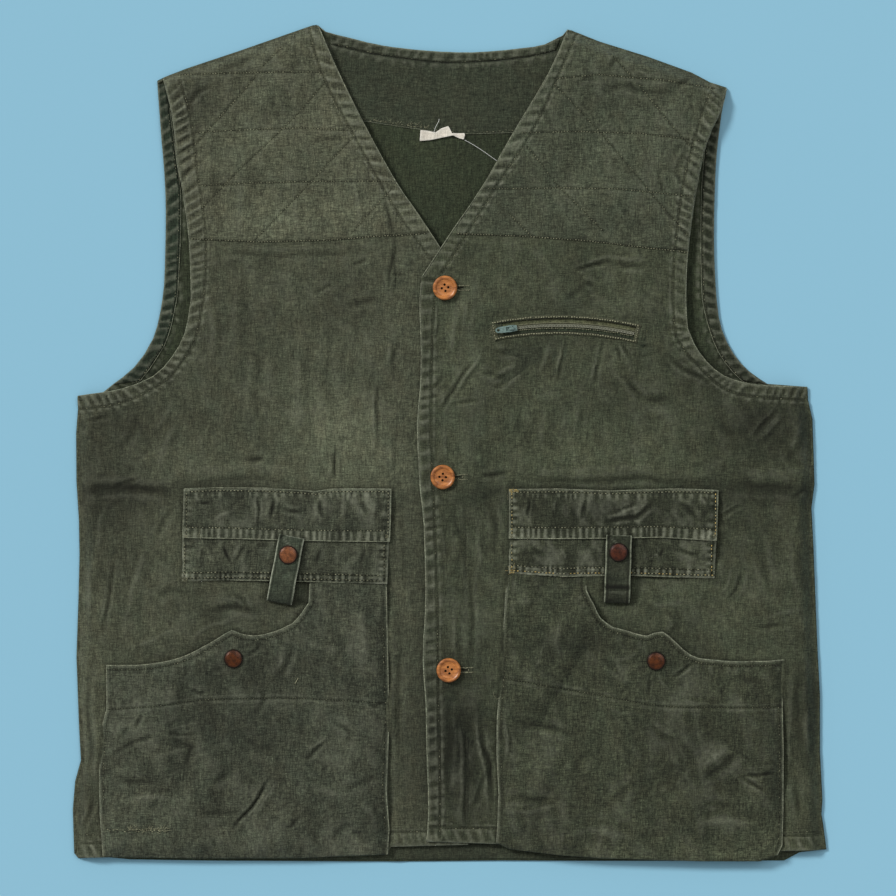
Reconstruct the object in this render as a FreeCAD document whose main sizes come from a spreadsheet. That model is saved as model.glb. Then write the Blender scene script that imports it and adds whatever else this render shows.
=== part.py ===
import FreeCAD, Part
import math
import os
import Sketcher

# Sleeveless utility vest, lying flat on its back, buttoned and zipped.
# Frame: +X towards the wearer's left, +Y towards the neck, +Z up from the
# floor.  The origin is the middle of the underside of the back panel.
# "right" and "left" are the wearer's own sides.  All sizes are millimetres.

V = FreeCAD.Vector
doc = FreeCAD.newDocument("vest")

# ---------------------------------------------------------------- the sheet
sheet = doc.addObject("Spreadsheet::Sheet", "Dims")
CELLS = [
    ("half_width", 309.425, "half the widest width, hem line"),
    ("half_length", 343.58, "half the length, shoulder tip to hem"),
    ("cloth", 1.0, "shell cloth, one layer with its ease"),
    ("facing_cloth", 0.8, "turned facings and hems"),
    ("yoke_cloth", 0.9, "quilted shoulder yoke layer"),
    ("body_gap", 6.0, "room between back and fronts"),
    ("front_step", 2.2, "left front lies this much above the right one"),
    ("pocket_gap", 4.5, "room inside the small pockets"),
    ("pocket_cloth", 0.9, "small pocket cloth"),
    ("band_lift", 0.2, "upper band above the lower patch"),
    ("pouch_gap", 5.0, "room inside the large pockets"),
    ("seam_run", 9.25, "sloping width of the shoulder seams"),
    ("side_run", 11.6, "sloping width of the side seams"),
    ("shoulder_r_len", 132.8, "right shoulder seam"),
    ("shoulder_l_len", 138.0, "left shoulder seam"),
    ("cap_d", 15.5, "snap cap diameter"),
    ("cap_h", 3.0, "snap cap height"),
    ("post_d", 4.0, "snap rivet post"),
    ("socket_d", 12.0, "snap socket diameter"),
    ("socket_bore", 7.5, "snap socket bore"),
    ("socket_h", 1.6, "snap socket height"),
    ("stud_flange_d", 11.0, "snap stud flange"),
    ("stud_flange_h", 0.8, "snap stud flange height"),
    ("stud_knob_d", 6.9, "snap stud knob"),
    ("strap_knob_h", 1.6, "knob above the flange, straps"),
    ("pouch_knob_h", 3.0, "knob above the flange, large pockets"),
    ("button_d", 20.0, "button diameter, 32 ligne"),
    ("button_h", 3.8, "button height"),
    ("button_hole_d", 2.0, "button thread hole"),
    ("button_hole_r", 2.65, "thread holes from the middle"),
    ("strap_w", 21.0, "strap width"),
    ("strap_cloth", 1.2, "strap thickness"),
    ("zip_radius", 287.75, "the zip is sewn along this arc"),
    ("zip_half_window", 6.0, "half height of the zip window"),
    ("zip_half_tape", 9.0, "zip tape width, one side"),
    ("chain_half", 1.1, "half width of the closed chain"),
    ("chain_h", 1.2, "chain height"),
    ("slider_len", 9.0, "slider length"),
    ("slider_w", 6.0, "slider width"),
    ("slider_h", 2.5, "slider height"),
    ("label_len", 36.0, "neck label length"),
    ("label_w", 7.4, "neck label width"),
    ("label_t", 0.6, "folded neck label"),
    ("thread_d", 0.4, "loose thread"),
]
D = {}
for i, (alias, value, note) in enumerate(CELLS, 1):
    sheet.set("A%d" % i, alias)
    sheet.set("B%d" % i, str(value))
    sheet.set("C%d" % i, note)
    sheet.setAlias("B%d" % i, alias)
    D[alias] = value
doc.recompute()

# Levels above the floor, as expressions of the sheet.
Z_BACK = "0"
Z_BACK_TOP = "Dims.cloth"
Z_RFACE = "Dims.cloth + Dims.body_gap - Dims.facing_cloth"
Z_RFRONT = "Dims.cloth + Dims.body_gap"
Z_RTOP = "2 * Dims.cloth + Dims.body_gap"
Z_LFACE = Z_RFACE + " + Dims.front_step"
Z_LFRONT = Z_RFRONT + " + Dims.front_step"
Z_LTOP = Z_RTOP + " + Dims.front_step"
ZV = {"rtop": 2 * D["cloth"] + D["body_gap"], "ltop": 2 * D["cloth"] + D["body_gap"] + D["front_step"]}

# ------------------------------------------------- outlines, plan view (mm)
OUTLINES = {
    "BACK": [(-239.97, 297.66), (-235.06, 300.12), (-216.19, 307.50), (-171.91, 322.26), (-122.72, 339.48), (-109.59, 343.58), (-102.22, 337.84), (-80.08, 332.10), (-68.55, 329.13), (-55.48, 326.36), (-39.17, 324.05), (-21.04, 322.26), (-1.67, 320.98), (18.32, 320.62), (39.19, 321.95), (57.69, 323.90), (78.19, 327.18), (92.94, 334.56), (97.86, 339.48), (123.28, 329.64), (162.65, 317.34), (198.72, 304.22), (214.31, 296.02), (227.43, 291.92), (222.91, 268.96), (221.18, 255.33), (219.22, 237.80), (218.21, 223.24), (217.59, 206.64), (217.24, 191.79), (217.03, 175.12), (217.09, 159.08), (217.88, 136.68), (219.22, 117.26), (223.32, 93.48), (233.16, 72.98), (245.47, 59.04), (261.05, 48.38), (293.85, 45.92), (294.25, 35.26), (297.94, 19.68), (298.76, -8.20), (299.58, -33.62), (297.12, -53.30), (298.76, -86.92), (300.40, -128.74), (302.05, -168.10), (304.10, -207.46), (304.10, -254.20), (306.14, -292.74), (305.32, -305.04), (306.96, -315.70), (309.43, -333.74), (287.29, -336.20), (274.99, -342.76), (205.28, -343.17), (123.28, -343.17), (41.28, -342.76), (-40.72, -343.58), (-122.72, -343.17), (-204.72, -342.76), (-262.12, -341.94), (-284.25, -339.89), (-305.17, -341.12), (-308.29, -337.02), (-309.43, -300.94), (-307.55, -277.98), (-302.79, -260.76), (-304.43, -230.42), (-306.39, -175.48), (-304.75, -128.74), (-303.94, -91.84), (-304.43, -63.14), (-306.39, -31.98), (-306.73, 7.38), (-305.17, 27.88), (-305.57, 38.54), (-284.25, 41.82), (-276.06, 48.38), (-258.83, 62.32), (-250.43, 73.13), (-243.25, 86.10), (-238.72, 101.53), (-235.88, 117.26), (-233.82, 143.50), (-233.38, 158.38), (-233.09, 175.63), (-233.00, 191.06), (-233.37, 207.15), (-234.24, 222.22), (-235.96, 243.85), (-237.51, 261.58)],
    "RFRONT": [(-230.96, 288.64), (-214.56, 296.84), (-170.28, 312.01), (-121.08, 329.23), (-105.50, 334.15), (-93.19, 308.32), (-83.05, 287.23), (-71.06, 263.22), (-57.27, 237.44), (-43.99, 214.02), (-25.95, 187.78), (-7.09, 159.08), (5.21, 141.86), (14.22, 123.82), (15.04, 35.26), (15.04, -46.74), (15.04, -128.74), (15.04, -210.74), (15.04, -329.64), (-19.39, -330.46), (-48.09, -331.28), (-122.72, -335.38), (-204.72, -336.20), (-293.27, -336.20), (-295.12, -276.34), (-292.45, -230.42), (-294.43, -175.48), (-292.79, -128.74), (-292.45, -63.14), (-294.75, 7.38), (-293.69, 38.13), (-287.12, 41.00), (-268.68, 44.28), (-243.25, 54.53), (-227.68, 70.52), (-217.34, 89.38), (-213.41, 109.06), (-212.09, 117.26), (-212.47, 139.19), (-213.74, 165.64), (-216.46, 189.57), (-219.47, 209.92), (-223.57, 229.60), (-225.88, 250.51), (-227.68, 268.96)],
    "LFRONT": [(93.77, 329.64), (121.64, 319.80), (160.19, 306.11), (195.44, 292.99), (211.84, 286.59), (223.32, 281.67), (222.50, 273.88), (211.03, 246.82), (206.21, 228.16), (202.00, 206.64), (198.26, 181.58), (195.44, 156.62), (194.12, 135.30), (193.81, 117.26), (195.44, 93.48), (200.37, 81.18), (211.03, 66.42), (224.97, 54.94), (245.47, 48.38), (261.05, 46.74), (281.95, 46.25), (282.68, 33.62), (286.80, -8.20), (285.15, -53.30), (288.44, -128.74), (290.07, -168.10), (292.12, -207.46), (292.12, -254.20), (294.18, -292.74), (297.12, -333.74), (272.52, -333.74), (205.28, -334.56), (123.28, -332.10), (38.83, -328.82), (16.68, -328.00), (-18.57, -326.77), (-16.93, -300.94), (-18.41, -254.20), (-19.14, -216.48), (-21.52, -175.48), (-19.39, -128.74), (-19.75, -96.14), (-20.70, -66.42), (-23.50, -42.64), (-24.64, -23.78), (-26.20, 15.58), (-23.91, 43.46), (-23.09, 74.62), (-24.32, 117.26), (-23.09, 131.20), (-22.84, 136.12), (-10.63, 154.44), (2.75, 174.66), (14.48, 191.50), (26.52, 209.51), (39.34, 231.42), (52.77, 255.02), (67.98, 280.41), (81.47, 303.40)],
    "RYOKE": [(-229.72, 287.00), (-212.91, 295.61), (-169.46, 310.37), (-121.08, 327.18), (-107.14, 332.10), (-105.50, 328.82), (-94.02, 305.86), (-84.33, 286.18), (-72.69, 263.22), (-58.95, 237.59), (-45.63, 214.02), (-27.59, 187.78), (-17.75, 172.20), (-24.32, 171.38), (-57.12, 169.74), (-98.11, 166.46), (-155.51, 164.82), (-199.79, 166.87), (-212.50, 168.10), (-212.91, 173.02), (-215.12, 190.24), (-217.84, 209.92), (-221.94, 229.60), (-224.25, 250.51), (-226.03, 268.96)],
    "LYOKE": [(93.77, 328.82), (120.83, 317.34), (160.19, 304.63), (194.62, 291.51), (211.03, 283.72), (220.87, 278.80), (220.04, 271.42), (209.38, 246.82), (204.51, 228.22), (200.37, 206.64), (197.34, 179.94), (195.44, 158.26), (156.09, 160.72), (112.62, 165.64), (57.69, 169.74), (7.67, 171.38), (7.67, 179.58), (25.70, 207.46), (38.27, 228.93), (51.95, 252.56), (66.39, 276.60), (79.00, 297.66), (90.48, 318.98)],
    "RNECKF": [(-105.50, 332.10), (-93.19, 308.32), (-83.05, 287.36), (-71.06, 263.22), (-62.06, 246.27), (-52.52, 228.87), (-43.99, 214.02), (-34.35, 199.46), (-25.95, 187.78), (-16.21, 173.02), (-8.73, 161.54), (-16.12, 151.70), (-30.88, 172.20), (-43.99, 191.06), (-51.66, 204.21), (-61.27, 221.09), (-71.27, 238.95), (-80.08, 255.02), (-89.97, 273.67), (-98.69, 290.77), (-105.50, 305.04), (-113.69, 329.64)],
    "LNECKF": [(93.77, 328.82), (81.47, 303.40), (73.03, 288.87), (62.76, 271.78), (52.77, 255.02), (43.74, 239.24), (34.99, 223.78), (26.52, 209.51), (14.55, 191.65), (2.75, 174.66), (-11.24, 153.21), (-22.27, 136.12), (-6.28, 141.04), (1.39, 152.44), (12.18, 168.92), (23.96, 188.11), (37.19, 209.51), (47.16, 224.42), (57.69, 239.88), (67.11, 255.02), (78.16, 277.39), (87.20, 297.66), (95.44, 314.67), (101.14, 326.36)],
    "BNECKF": [(-100.58, 336.20), (-80.08, 331.28), (-55.48, 325.54), (-39.17, 323.23), (-21.04, 321.44), (-1.67, 320.16), (18.32, 319.80), (39.19, 321.13), (57.69, 323.08), (78.19, 326.36), (90.48, 332.10), (87.20, 323.90), (65.89, 317.75), (51.08, 315.60), (33.91, 314.06), (14.89, 312.81), (-6.28, 312.75), (-31.84, 315.27), (-55.48, 318.57), (-80.08, 323.49), (-98.94, 328.00)],
    "RARMF": [(-227.68, 268.96), (-225.88, 250.51), (-223.57, 229.60), (-219.47, 209.92), (-216.46, 189.57), (-213.74, 165.64), (-212.47, 139.19), (-212.09, 117.26), (-213.41, 109.06), (-217.34, 89.38), (-227.68, 70.52), (-243.25, 54.53), (-268.68, 44.28), (-280.98, 31.16), (-258.83, 36.90), (-235.06, 50.02), (-222.75, 62.32), (-208.81, 86.10), (-203.90, 109.06), (-202.25, 117.26), (-200.62, 139.35), (-199.79, 165.64), (-201.90, 188.19), (-204.72, 207.46), (-208.00, 229.60), (-210.66, 250.66), (-212.91, 268.96)],
    "LARMF": [(211.03, 246.82), (206.93, 229.86), (202.00, 206.64), (198.26, 181.58), (195.44, 156.62), (194.12, 135.30), (193.81, 117.26), (195.44, 93.48), (200.37, 81.18), (211.03, 66.42), (224.97, 54.94), (245.47, 48.38), (254.49, 47.15), (257.76, 37.31), (236.44, 40.18), (217.59, 50.02), (205.00, 62.22), (193.81, 74.62), (186.01, 86.10), (184.00, 99.89), (183.15, 117.26), (183.43, 136.22), (184.78, 157.44), (187.15, 181.94), (190.53, 206.64), (195.81, 230.62), (200.37, 248.46)],
    "RBARMF": [(-237.93, 268.96), (-237.51, 261.58), (-235.93, 243.39), (-234.24, 222.22), (-233.37, 207.15), (-233.00, 191.06), (-233.21, 166.97), (-233.82, 143.50), (-235.88, 117.26), (-238.72, 101.53), (-243.25, 86.10), (-258.83, 62.32), (-276.06, 48.38), (-270.31, 38.54), (-253.91, 51.66), (-239.16, 72.16), (-230.96, 88.56), (-224.40, 117.26), (-222.75, 136.12), (-221.84, 154.57), (-221.12, 174.66), (-220.81, 191.47), (-221.12, 206.64), (-224.40, 232.06), (-227.06, 252.10), (-229.31, 268.96)],
    "LBARMF": [(222.50, 266.50), (219.22, 237.80), (218.24, 223.40), (217.59, 206.64), (217.10, 183.53), (217.09, 159.08), (217.88, 136.68), (219.22, 117.26), (223.32, 93.48), (233.16, 72.98), (245.47, 59.04), (260.23, 48.79), (258.58, 39.36), (239.72, 51.66), (220.87, 74.62), (211.03, 101.68), (207.75, 117.26), (206.85, 136.17), (206.44, 159.08), (206.50, 184.04), (206.93, 206.64), (208.56, 229.60), (210.72, 249.48), (212.66, 266.50)],
    "BYOKE": [(-220.29, 273.88), (-105.50, 314.06), (-98.11, 322.26), (-55.48, 315.70), (-6.28, 310.37), (33.91, 311.60), (65.89, 315.29), (88.03, 320.62), (92.94, 318.16), (206.10, 277.16), (205.28, 255.84), (123.28, 255.84), (51.12, 255.02), (13.40, 254.20), (-28.41, 258.30), (-70.23, 264.45), (-122.72, 268.14), (-204.72, 268.14), (-219.47, 268.14)],
    "RSTAND": [(-9.55, 148.42), (5.21, 138.58), (13.40, 122.18), (13.40, 35.26), (13.40, -128.74), (13.40, -328.00), (-19.39, -328.82), (-19.39, -128.74), (-19.39, 35.26), (-21.04, 117.26), (-19.39, 132.02)],
    "LSTAND": [(-21.04, 131.20), (-22.68, 117.26), (-21.86, 74.62), (-22.27, 43.46), (-24.32, 15.58), (-23.09, -23.78), (-21.86, -42.64), (-19.07, -66.42), (-17.75, -128.74), (-19.89, -175.48), (-17.75, -216.48), (-16.77, -254.20), (-15.29, -300.94), (-16.52, -323.90), (23.25, -326.36), (23.25, -210.74), (23.25, -46.74), (23.25, 84.46), (23.25, 136.94), (-3.00, 136.94)],
    "RHEM": [(-290.81, -322.26), (-204.72, -322.26), (-122.72, -322.26), (-48.09, -318.98), (-21.04, -318.16), (-21.04, -328.82), (-48.09, -329.64), (-122.72, -333.74), (-204.72, -334.56), (-290.81, -334.56)],
    "LHEM": [(25.70, -312.42), (123.28, -317.34), (205.28, -319.80), (272.52, -318.98), (292.20, -318.16), (294.67, -332.10), (272.52, -332.10), (205.28, -332.92), (123.28, -330.46), (38.83, -327.18), (25.70, -326.77)],
    "BHEM": [(-303.12, -325.54), (-204.72, -327.18), (-40.72, -328.00), (123.28, -327.59), (270.88, -326.36), (302.05, -323.90), (305.32, -332.92), (287.29, -334.56), (274.99, -341.12), (205.28, -341.53), (123.28, -341.53), (41.28, -341.12), (-40.72, -341.94), (-204.72, -341.12), (-262.12, -340.30), (-284.25, -338.25), (-303.12, -338.66)],
    "SIDER": [(-305.51, 36.90), (-306.73, 7.38), (-304.43, -63.14), (-304.75, -128.74), (-306.39, -175.48), (-304.43, -230.42), (-308.08, -284.54), (-308.38, -333.74)],
    "SIDEL": [(293.90, 44.28), (298.31, 7.38), (297.61, -63.14), (300.40, -128.74), (302.43, -175.48), (304.10, -230.42), (305.70, -284.54), (308.98, -330.46)],
    "RBAND": [(-217.84, -37.72), (-48.09, -37.72), (-49.48, -81.18), (-218.66, -77.90)],
    "LBAND": [(48.66, -38.13), (220.04, -38.54), (218.41, -79.95), (48.66, -77.49)],
    "RPATCH": [(-218.50, -69.70), (-49.48, -72.16), (-51.38, -115.62), (-219.47, -113.16)],
    "LPATCH": [(48.66, -69.29), (218.66, -70.93), (216.76, -110.70), (48.66, -106.60)],
    "RPOUCH": [(-51.87, -118.08), (-51.38, -149.24), (-49.73, -227.14), (-51.38, -285.36), (-49.73, -317.34), (-50.55, -337.43), (-122.72, -340.30), (-204.72, -340.71), (-284.25, -339.48), (-286.38, -305.86), (-287.12, -269.78), (-284.25, -230.42), (-280.98, -218.12), (-281.23, -182.45), (-251.46, -182.04), (-221.12, -176.30), (-196.51, -164.41), (-178.47, -153.75), (-171.91, -156.21), (-160.44, -158.26), (-144.85, -155.39), (-128.46, -148.01), (-122.72, -141.86), (-118.20, -135.30), (-115.33, -131.20), (-114.52, -118.08)],
    "LPOUCH": [(47.02, -109.47), (44.56, -149.24), (41.62, -192.70), (39.08, -227.14), (38.83, -254.20), (40.47, -288.64), (38.83, -328.00), (49.48, -332.92), (123.28, -340.30), (205.28, -343.17), (254.49, -343.17), (268.83, -337.84), (272.52, -329.64), (273.10, -299.30), (273.35, -252.56), (272.52, -215.66), (274.17, -177.94), (244.65, -179.25), (216.76, -177.94), (197.09, -173.84), (174.53, -154.98), (161.82, -158.26), (138.87, -152.52), (133.94, -151.29), (123.28, -143.50), (117.95, -132.84), (111.81, -120.54), (112.22, -112.75)],
    "RPCAV": [(-53.17, -95.94), (-52.69, -149.24), (-51.05, -227.14), (-52.69, -285.36), (-51.05, -317.34), (-51.87, -336.20), (-122.72, -338.99), (-204.72, -339.40), (-282.94, -338.17), (-285.07, -305.86), (-285.81, -269.78), (-282.94, -230.42), (-279.67, -218.12), (-279.90, -180.40), (-279.90, -128.74), (-163.72, -95.94)],
    "LPCAV": [(48.34, -95.94), (45.88, -149.24), (42.92, -192.70), (40.38, -227.14), (40.13, -254.20), (41.77, -288.64), (40.13, -327.18), (49.48, -331.61), (123.28, -338.99), (205.28, -341.86), (254.49, -341.86), (268.01, -336.69), (271.21, -328.82), (271.79, -299.30), (272.04, -252.56), (271.21, -215.66), (272.86, -176.30), (272.86, -128.74), (156.09, -95.94)],
    "RPFAC": [(-53.59, -118.90), (-53.34, -149.24), (-52.20, -211.56), (-122.72, -207.46), (-157.16, -207.46), (-205.53, -209.10), (-235.06, -213.20), (-279.00, -216.97), (-279.00, -184.09), (-251.46, -183.68), (-220.29, -177.94), (-195.69, -166.05), (-178.47, -155.64), (-171.91, -158.10), (-160.44, -160.15), (-144.03, -157.19), (-127.22, -149.65), (-121.08, -143.09), (-116.56, -136.53), (-113.69, -132.02), (-112.88, -118.90)],
    "LPFAC": [(48.66, -110.70), (46.20, -149.24), (43.34, -190.24), (91.80, -199.26), (142.15, -208.28), (180.69, -214.27), (270.88, -214.59), (272.52, -179.58), (244.65, -180.97), (216.76, -179.66), (196.26, -175.48), (173.72, -157.03), (161.82, -160.06), (138.46, -154.32), (133.12, -152.93), (122.06, -144.73), (116.31, -133.66), (110.17, -121.36), (110.58, -113.98)],
}


NODES = []


def plane(body, role):
    for f in body.Origin.OriginFeatures:
        if f.Role == role:
            return f
    raise RuntimeError(role)


def new_body(name, node=True):
    b = doc.addObject("PartDesign::Body", name)
    b.Label = name
    if node:
        NODES.append(b)
    return b


def new_sketch(b, name, role="XY_Plane", offset=0.0):
    sk = b.newObject("Sketcher::SketchObject", name)
    sk.AttachmentSupport = [(plane(b, role), "")]
    sk.MapMode = "FlatFace"
    if offset:
        sk.AttachmentOffset = FreeCAD.Placement(V(0, 0, offset), FreeCAD.Rotation())
    return sk


def loop(sk, pts, exprs=None, plan=False):
    """A closed run of straight lines.  In plan view each corner is a share of
    the half width and half length; otherwise exprs gives (x, y) expressions."""
    n = len(pts)
    g0 = sk.GeometryCount
    sk.addGeometry([Part.LineSegment(V(pts[i][0], pts[i][1], 0), V(pts[(i + 1) % n][0], pts[(i + 1) % n][1], 0))
                    for i in range(n)], False)
    cons = [Sketcher.Constraint("Coincident", g0 + i, 2, g0 + (i + 1) % n, 1) for i in range(n)]
    sk.addConstraint(cons)
    c0 = sk.ConstraintCount
    cons = []
    for i, p in enumerate(pts):
        cons.append(Sketcher.Constraint("DistanceX", -1, 1, g0 + i, 1, p[0]))
        cons.append(Sketcher.Constraint("DistanceY", -1, 1, g0 + i, 1, p[1]))
    sk.addConstraint(cons)
    for i, p in enumerate(pts):
        if plan:
            sk.setExpression("Constraints[%d]" % (c0 + 2 * i), "Dims.half_width * %.6f" % (p[0] / D["half_width"]))
            sk.setExpression("Constraints[%d]" % (c0 + 2 * i + 1), "Dims.half_length * %.6f" % (p[1] / D["half_length"]))
        elif exprs:
            if exprs[i][0]:
                sk.setExpression("Constraints[%d]" % (c0 + 2 * i), exprs[i][0])
            if exprs[i][1]:
                sk.setExpression("Constraints[%d]" % (c0 + 2 * i + 1), exprs[i][1])


def circle(sk, x, y, dia_expr, dia):
    g = sk.addGeometry(Part.Circle(V(x, y, 0), V(0, 0, 1), dia / 2.0), False)
    k = sk.addConstraint(Sketcher.Constraint("Diameter", g, dia))
    sk.setExpression("Constraints[%d]" % k, dia_expr)
    sk.addConstraint(Sketcher.Constraint("DistanceX", -1, 1, g, 3, x))
    sk.addConstraint(Sketcher.Constraint("DistanceY", -1, 1, g, 3, y))


def pad(b, sk, length, name=None, symmetric=False):
    p = b.newObject("PartDesign::Pad", name or (b.Name + "_pad"))
    p.Profile = sk
    if symmetric:
        p.SideType = "Symmetric"
    p.setExpression("Length", length)
    sk.Visibility = False
    return p


def cut(b, sk, length, reverse=True, name=None, through=False):
    doc.recompute()
    before = b.Shape.Volume
    p = b.newObject("PartDesign::Pocket", name or (b.Name + "_cut"))
    p.Profile = sk
    if through:
        p.SideType = "Symmetric"
        p.Length = 60.0
    else:
        p.setExpression("Length", length)
        p.Reversed = reverse
    doc.recompute()
    if not b.Shape.Volume < before - 1e-3:
        raise RuntimeError("cut removed nothing: " + b.Label)
    return p


def sheet_part(name, outline, z_expr, t_expr, holes=(), slots=()):
    """One layer of cloth cut to an outline, with round holes or slots."""
    b = new_body(name)
    sk = new_sketch(b, name + "_outline")
    loop(sk, OUTLINES[outline] if isinstance(outline, str) else outline, plan=True)
    for x, y, e, d in holes:
        circle(sk, x, y, e, d)
    for s in slots:
        loop(sk, s, plan=True)
    pad(b, sk, t_expr)
    b.setExpression("Placement.Base.z", z_expr)
    return b


def tray(name, outline, cavity, z_expr, gap, cloth, holes=()):
    """A patch standing off the front: top layer and the walls it is sewn down by."""
    b = new_body(name)
    sk = new_sketch(b, name + "_outline")
    loop(sk, OUTLINES[outline], plan=True)
    for x, y, e, d in holes:
        circle(sk, x, y, e, d)
    pad(b, sk, "%s + %s" % (gap, cloth))
    sk2 = new_sketch(b, name + "_room")
    loop(sk2, cavity, plan=True)
    cut(b, sk2, gap)
    b.setExpression("Placement.Base.z", z_expr)
    return b


def sector(r0, r1, a0, a1, n=18, cx=None, cy=None):
    cx = ZIP_C[0] if cx is None else cx
    cy = ZIP_C[1] if cy is None else cy
    pts = []
    for i in range(n + 1):
        a = math.radians(a0 + (a1 - a0) * i / n)
        pts.append((cx + r0 * math.cos(a), cy + r0 * math.sin(a)))
    for i in range(n + 1):
        a = math.radians(a1 + (a0 - a1) * i / n)
        pts.append((cx + r1 * math.cos(a), cy + r1 * math.sin(a)))
    return pts


def inset_quad(pts, left=1.6, right=1.6, bottom=1.6, top=1.6, open_top=0.0, open_bottom=0.0):
    """Room inside a four-cornered patch (top-left, top-right, bottom-right, bottom-left)."""
    tl, tr, br, bl = pts
    return [(tl[0] + left, tl[1] - top + open_top), (tr[0] - right, tr[1] - top + open_top),
            (br[0] - right, br[1] + bottom - open_bottom), (bl[0] + left, bl[1] + bottom - open_bottom)]


# --------------------------------------------------------- places of things
BUTTONS = [(-3.81, 127.10), (-5.71, -27.88), (-0.79, -186.14)]
ZIP_C = (89.39, -191.33)
ZIP_R = D["zip_radius"]
ZIP_A0, ZIP_A1 = 97.723, 78.7          # slider at rest (closed) and at the open end
WIN_A0, WIN_A1 = 99.15, 77.01
CAP_POUCH_R = (-177.00, -176.63)
CAP_POUCH_L = (168.96, -178.43)
STRAPS = {"right": (-139.53, -129.56, -11.0, 38.84, "rtop"), "left": (136.81, -129.56, -1.8, 40.20, "ltop")}

# --------------------------------------------------------------- the shell
slots = [[(x - 2.0, y - 0.55), (x + 19.2, y - 0.55), (x + 19.2, y + 0.55), (x - 2.0, y + 0.55)] for x, y in BUTTONS]
window = sector(ZIP_R - D["zip_half_window"], ZIP_R + D["zip_half_window"], WIN_A0, WIN_A1)

sheet_part("back_panel", "BACK", Z_BACK, "Dims.cloth")
sheet_part("right_front_panel", "RFRONT", Z_RFRONT, "Dims.cloth")
sheet_part("left_front_panel", "LFRONT", Z_LFRONT, "Dims.cloth", slots=slots + [window])
sheet_part("back_yoke_lining", "BYOKE", Z_BACK_TOP, "Dims.facing_cloth")
sheet_part("right_shoulder_yoke", "RYOKE", Z_RTOP, "Dims.yoke_cloth")
sheet_part("left_shoulder_yoke", "LYOKE", Z_LTOP, "Dims.yoke_cloth")

# facings turned to the inside of every free edge
sheet_part("back_neck_facing", "BNECKF", Z_BACK_TOP, "Dims.facing_cloth")
sheet_part("right_neck_facing", "RNECKF", Z_RFACE, "Dims.facing_cloth")
sheet_part("left_neck_facing", "LNECKF", Z_LFACE, "Dims.facing_cloth")
sheet_part("right_front_armhole_facing", "RARMF", Z_RFACE, "Dims.facing_cloth")
sheet_part("left_front_armhole_facing", "LARMF", Z_LFACE, "Dims.facing_cloth")
sheet_part("right_back_armhole_facing", "RBARMF", Z_BACK_TOP, "Dims.facing_cloth")
sheet_part("left_back_armhole_facing", "LBARMF", Z_BACK_TOP, "Dims.facing_cloth")
sheet_part("right_button_stand", "RSTAND", Z_RFACE, "Dims.facing_cloth")
sheet_part("left_buttonhole_facing", "LSTAND", Z_LFACE, "Dims.facing_cloth", slots=slots)
sheet_part("right_front_hem", "RHEM", Z_RFACE, "Dims.facing_cloth")
sheet_part("left_front_hem", "LHEM", Z_LFACE, "Dims.facing_cloth")
sheet_part("back_hem", "BHEM", Z_BACK_TOP, "Dims.facing_cloth")


def side_seam(name, table, sign, top_expr, top_val):
    """Felled side seam: slopes from the back's edge up to the front's."""
    b = new_body(name)
    sections = []
    run = D["side_run"]
    for i, (x, y) in enumerate(OUTLINES[table]):
        sk = new_sketch(b, "%s_s%d" % (name, i), "XZ_Plane", -y)
        loop(sk, [(x, 1.0), (x + sign * 2.0, 1.0), (x + sign * run, top_val - 1.0), (x + sign * run, top_val), (x, 2.0)],
             exprs=[("", "Dims.cloth"), ("", "Dims.cloth"),
                    ("%.3f + %d * Dims.side_run" % (x, sign), top_expr + " - Dims.cloth"),
                    ("%.3f + %d * Dims.side_run" % (x, sign), top_expr), ("", "2 * Dims.cloth")])
        sections.append(sk)
    l = b.newObject("PartDesign::AdditiveLoft", name + "_loft")
    l.Profile = sections[0]
    l.Sections = sections[1:]
    l.Ruled = True
    return b


side_seam("right_side_seam", "SIDER", 1, Z_RTOP, ZV["rtop"])
side_seam("left_side_seam", "SIDEL", -1, Z_LTOP, ZV["ltop"])


def shoulder_seam(name, x, y, angle, length, top_expr, top):
    b = new_body(name)
    sk = new_sketch(b, name + "_profile", "YZ_Plane")
    run = D["seam_run"]
    loop(sk, [(0.0, 1.0), (-2.0, 1.0), (-run, top - 1.0), (-run, top), (0.0, 2.0)],
         exprs=[("", "Dims.cloth"), ("", "Dims.cloth"), ("-Dims.seam_run", top_expr + " - Dims.cloth"),
                ("-Dims.seam_run", top_expr), ("", "2 * Dims.cloth")])
    pad(b, sk, length)
    b.Placement = FreeCAD.Placement(V(x, y, 0), FreeCAD.Rotation(V(0, 0, 1), angle))
    return b


shoulder_seam("right_shoulder_seam", -235.06, 300.12, 19.10, "Dims.shoulder_r_len", Z_RTOP, ZV["rtop"])
shoulder_seam("left_shoulder_seam", 97.86, 339.48, -20.16, "Dims.shoulder_l_len", Z_LTOP, ZV["ltop"])

# ----------------------------------------------------------- small pockets
# lower patch: sewn at the sides and the bottom, open at the top under the band;
# upper band: sewn at the top and the sides, free along its lower hem.
for side, ztop in (("right", Z_RTOP), ("left", Z_LTOP)):
    k = side[0].upper()
    tray(side + "_pocket_patch", k + "PATCH", inset_quad(OUTLINES[k + "PATCH"], 1.2, 1.2, 1.4, 0.0, open_top=4.0),
         ztop, "Dims.pocket_gap", "Dims.pocket_cloth")
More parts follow.
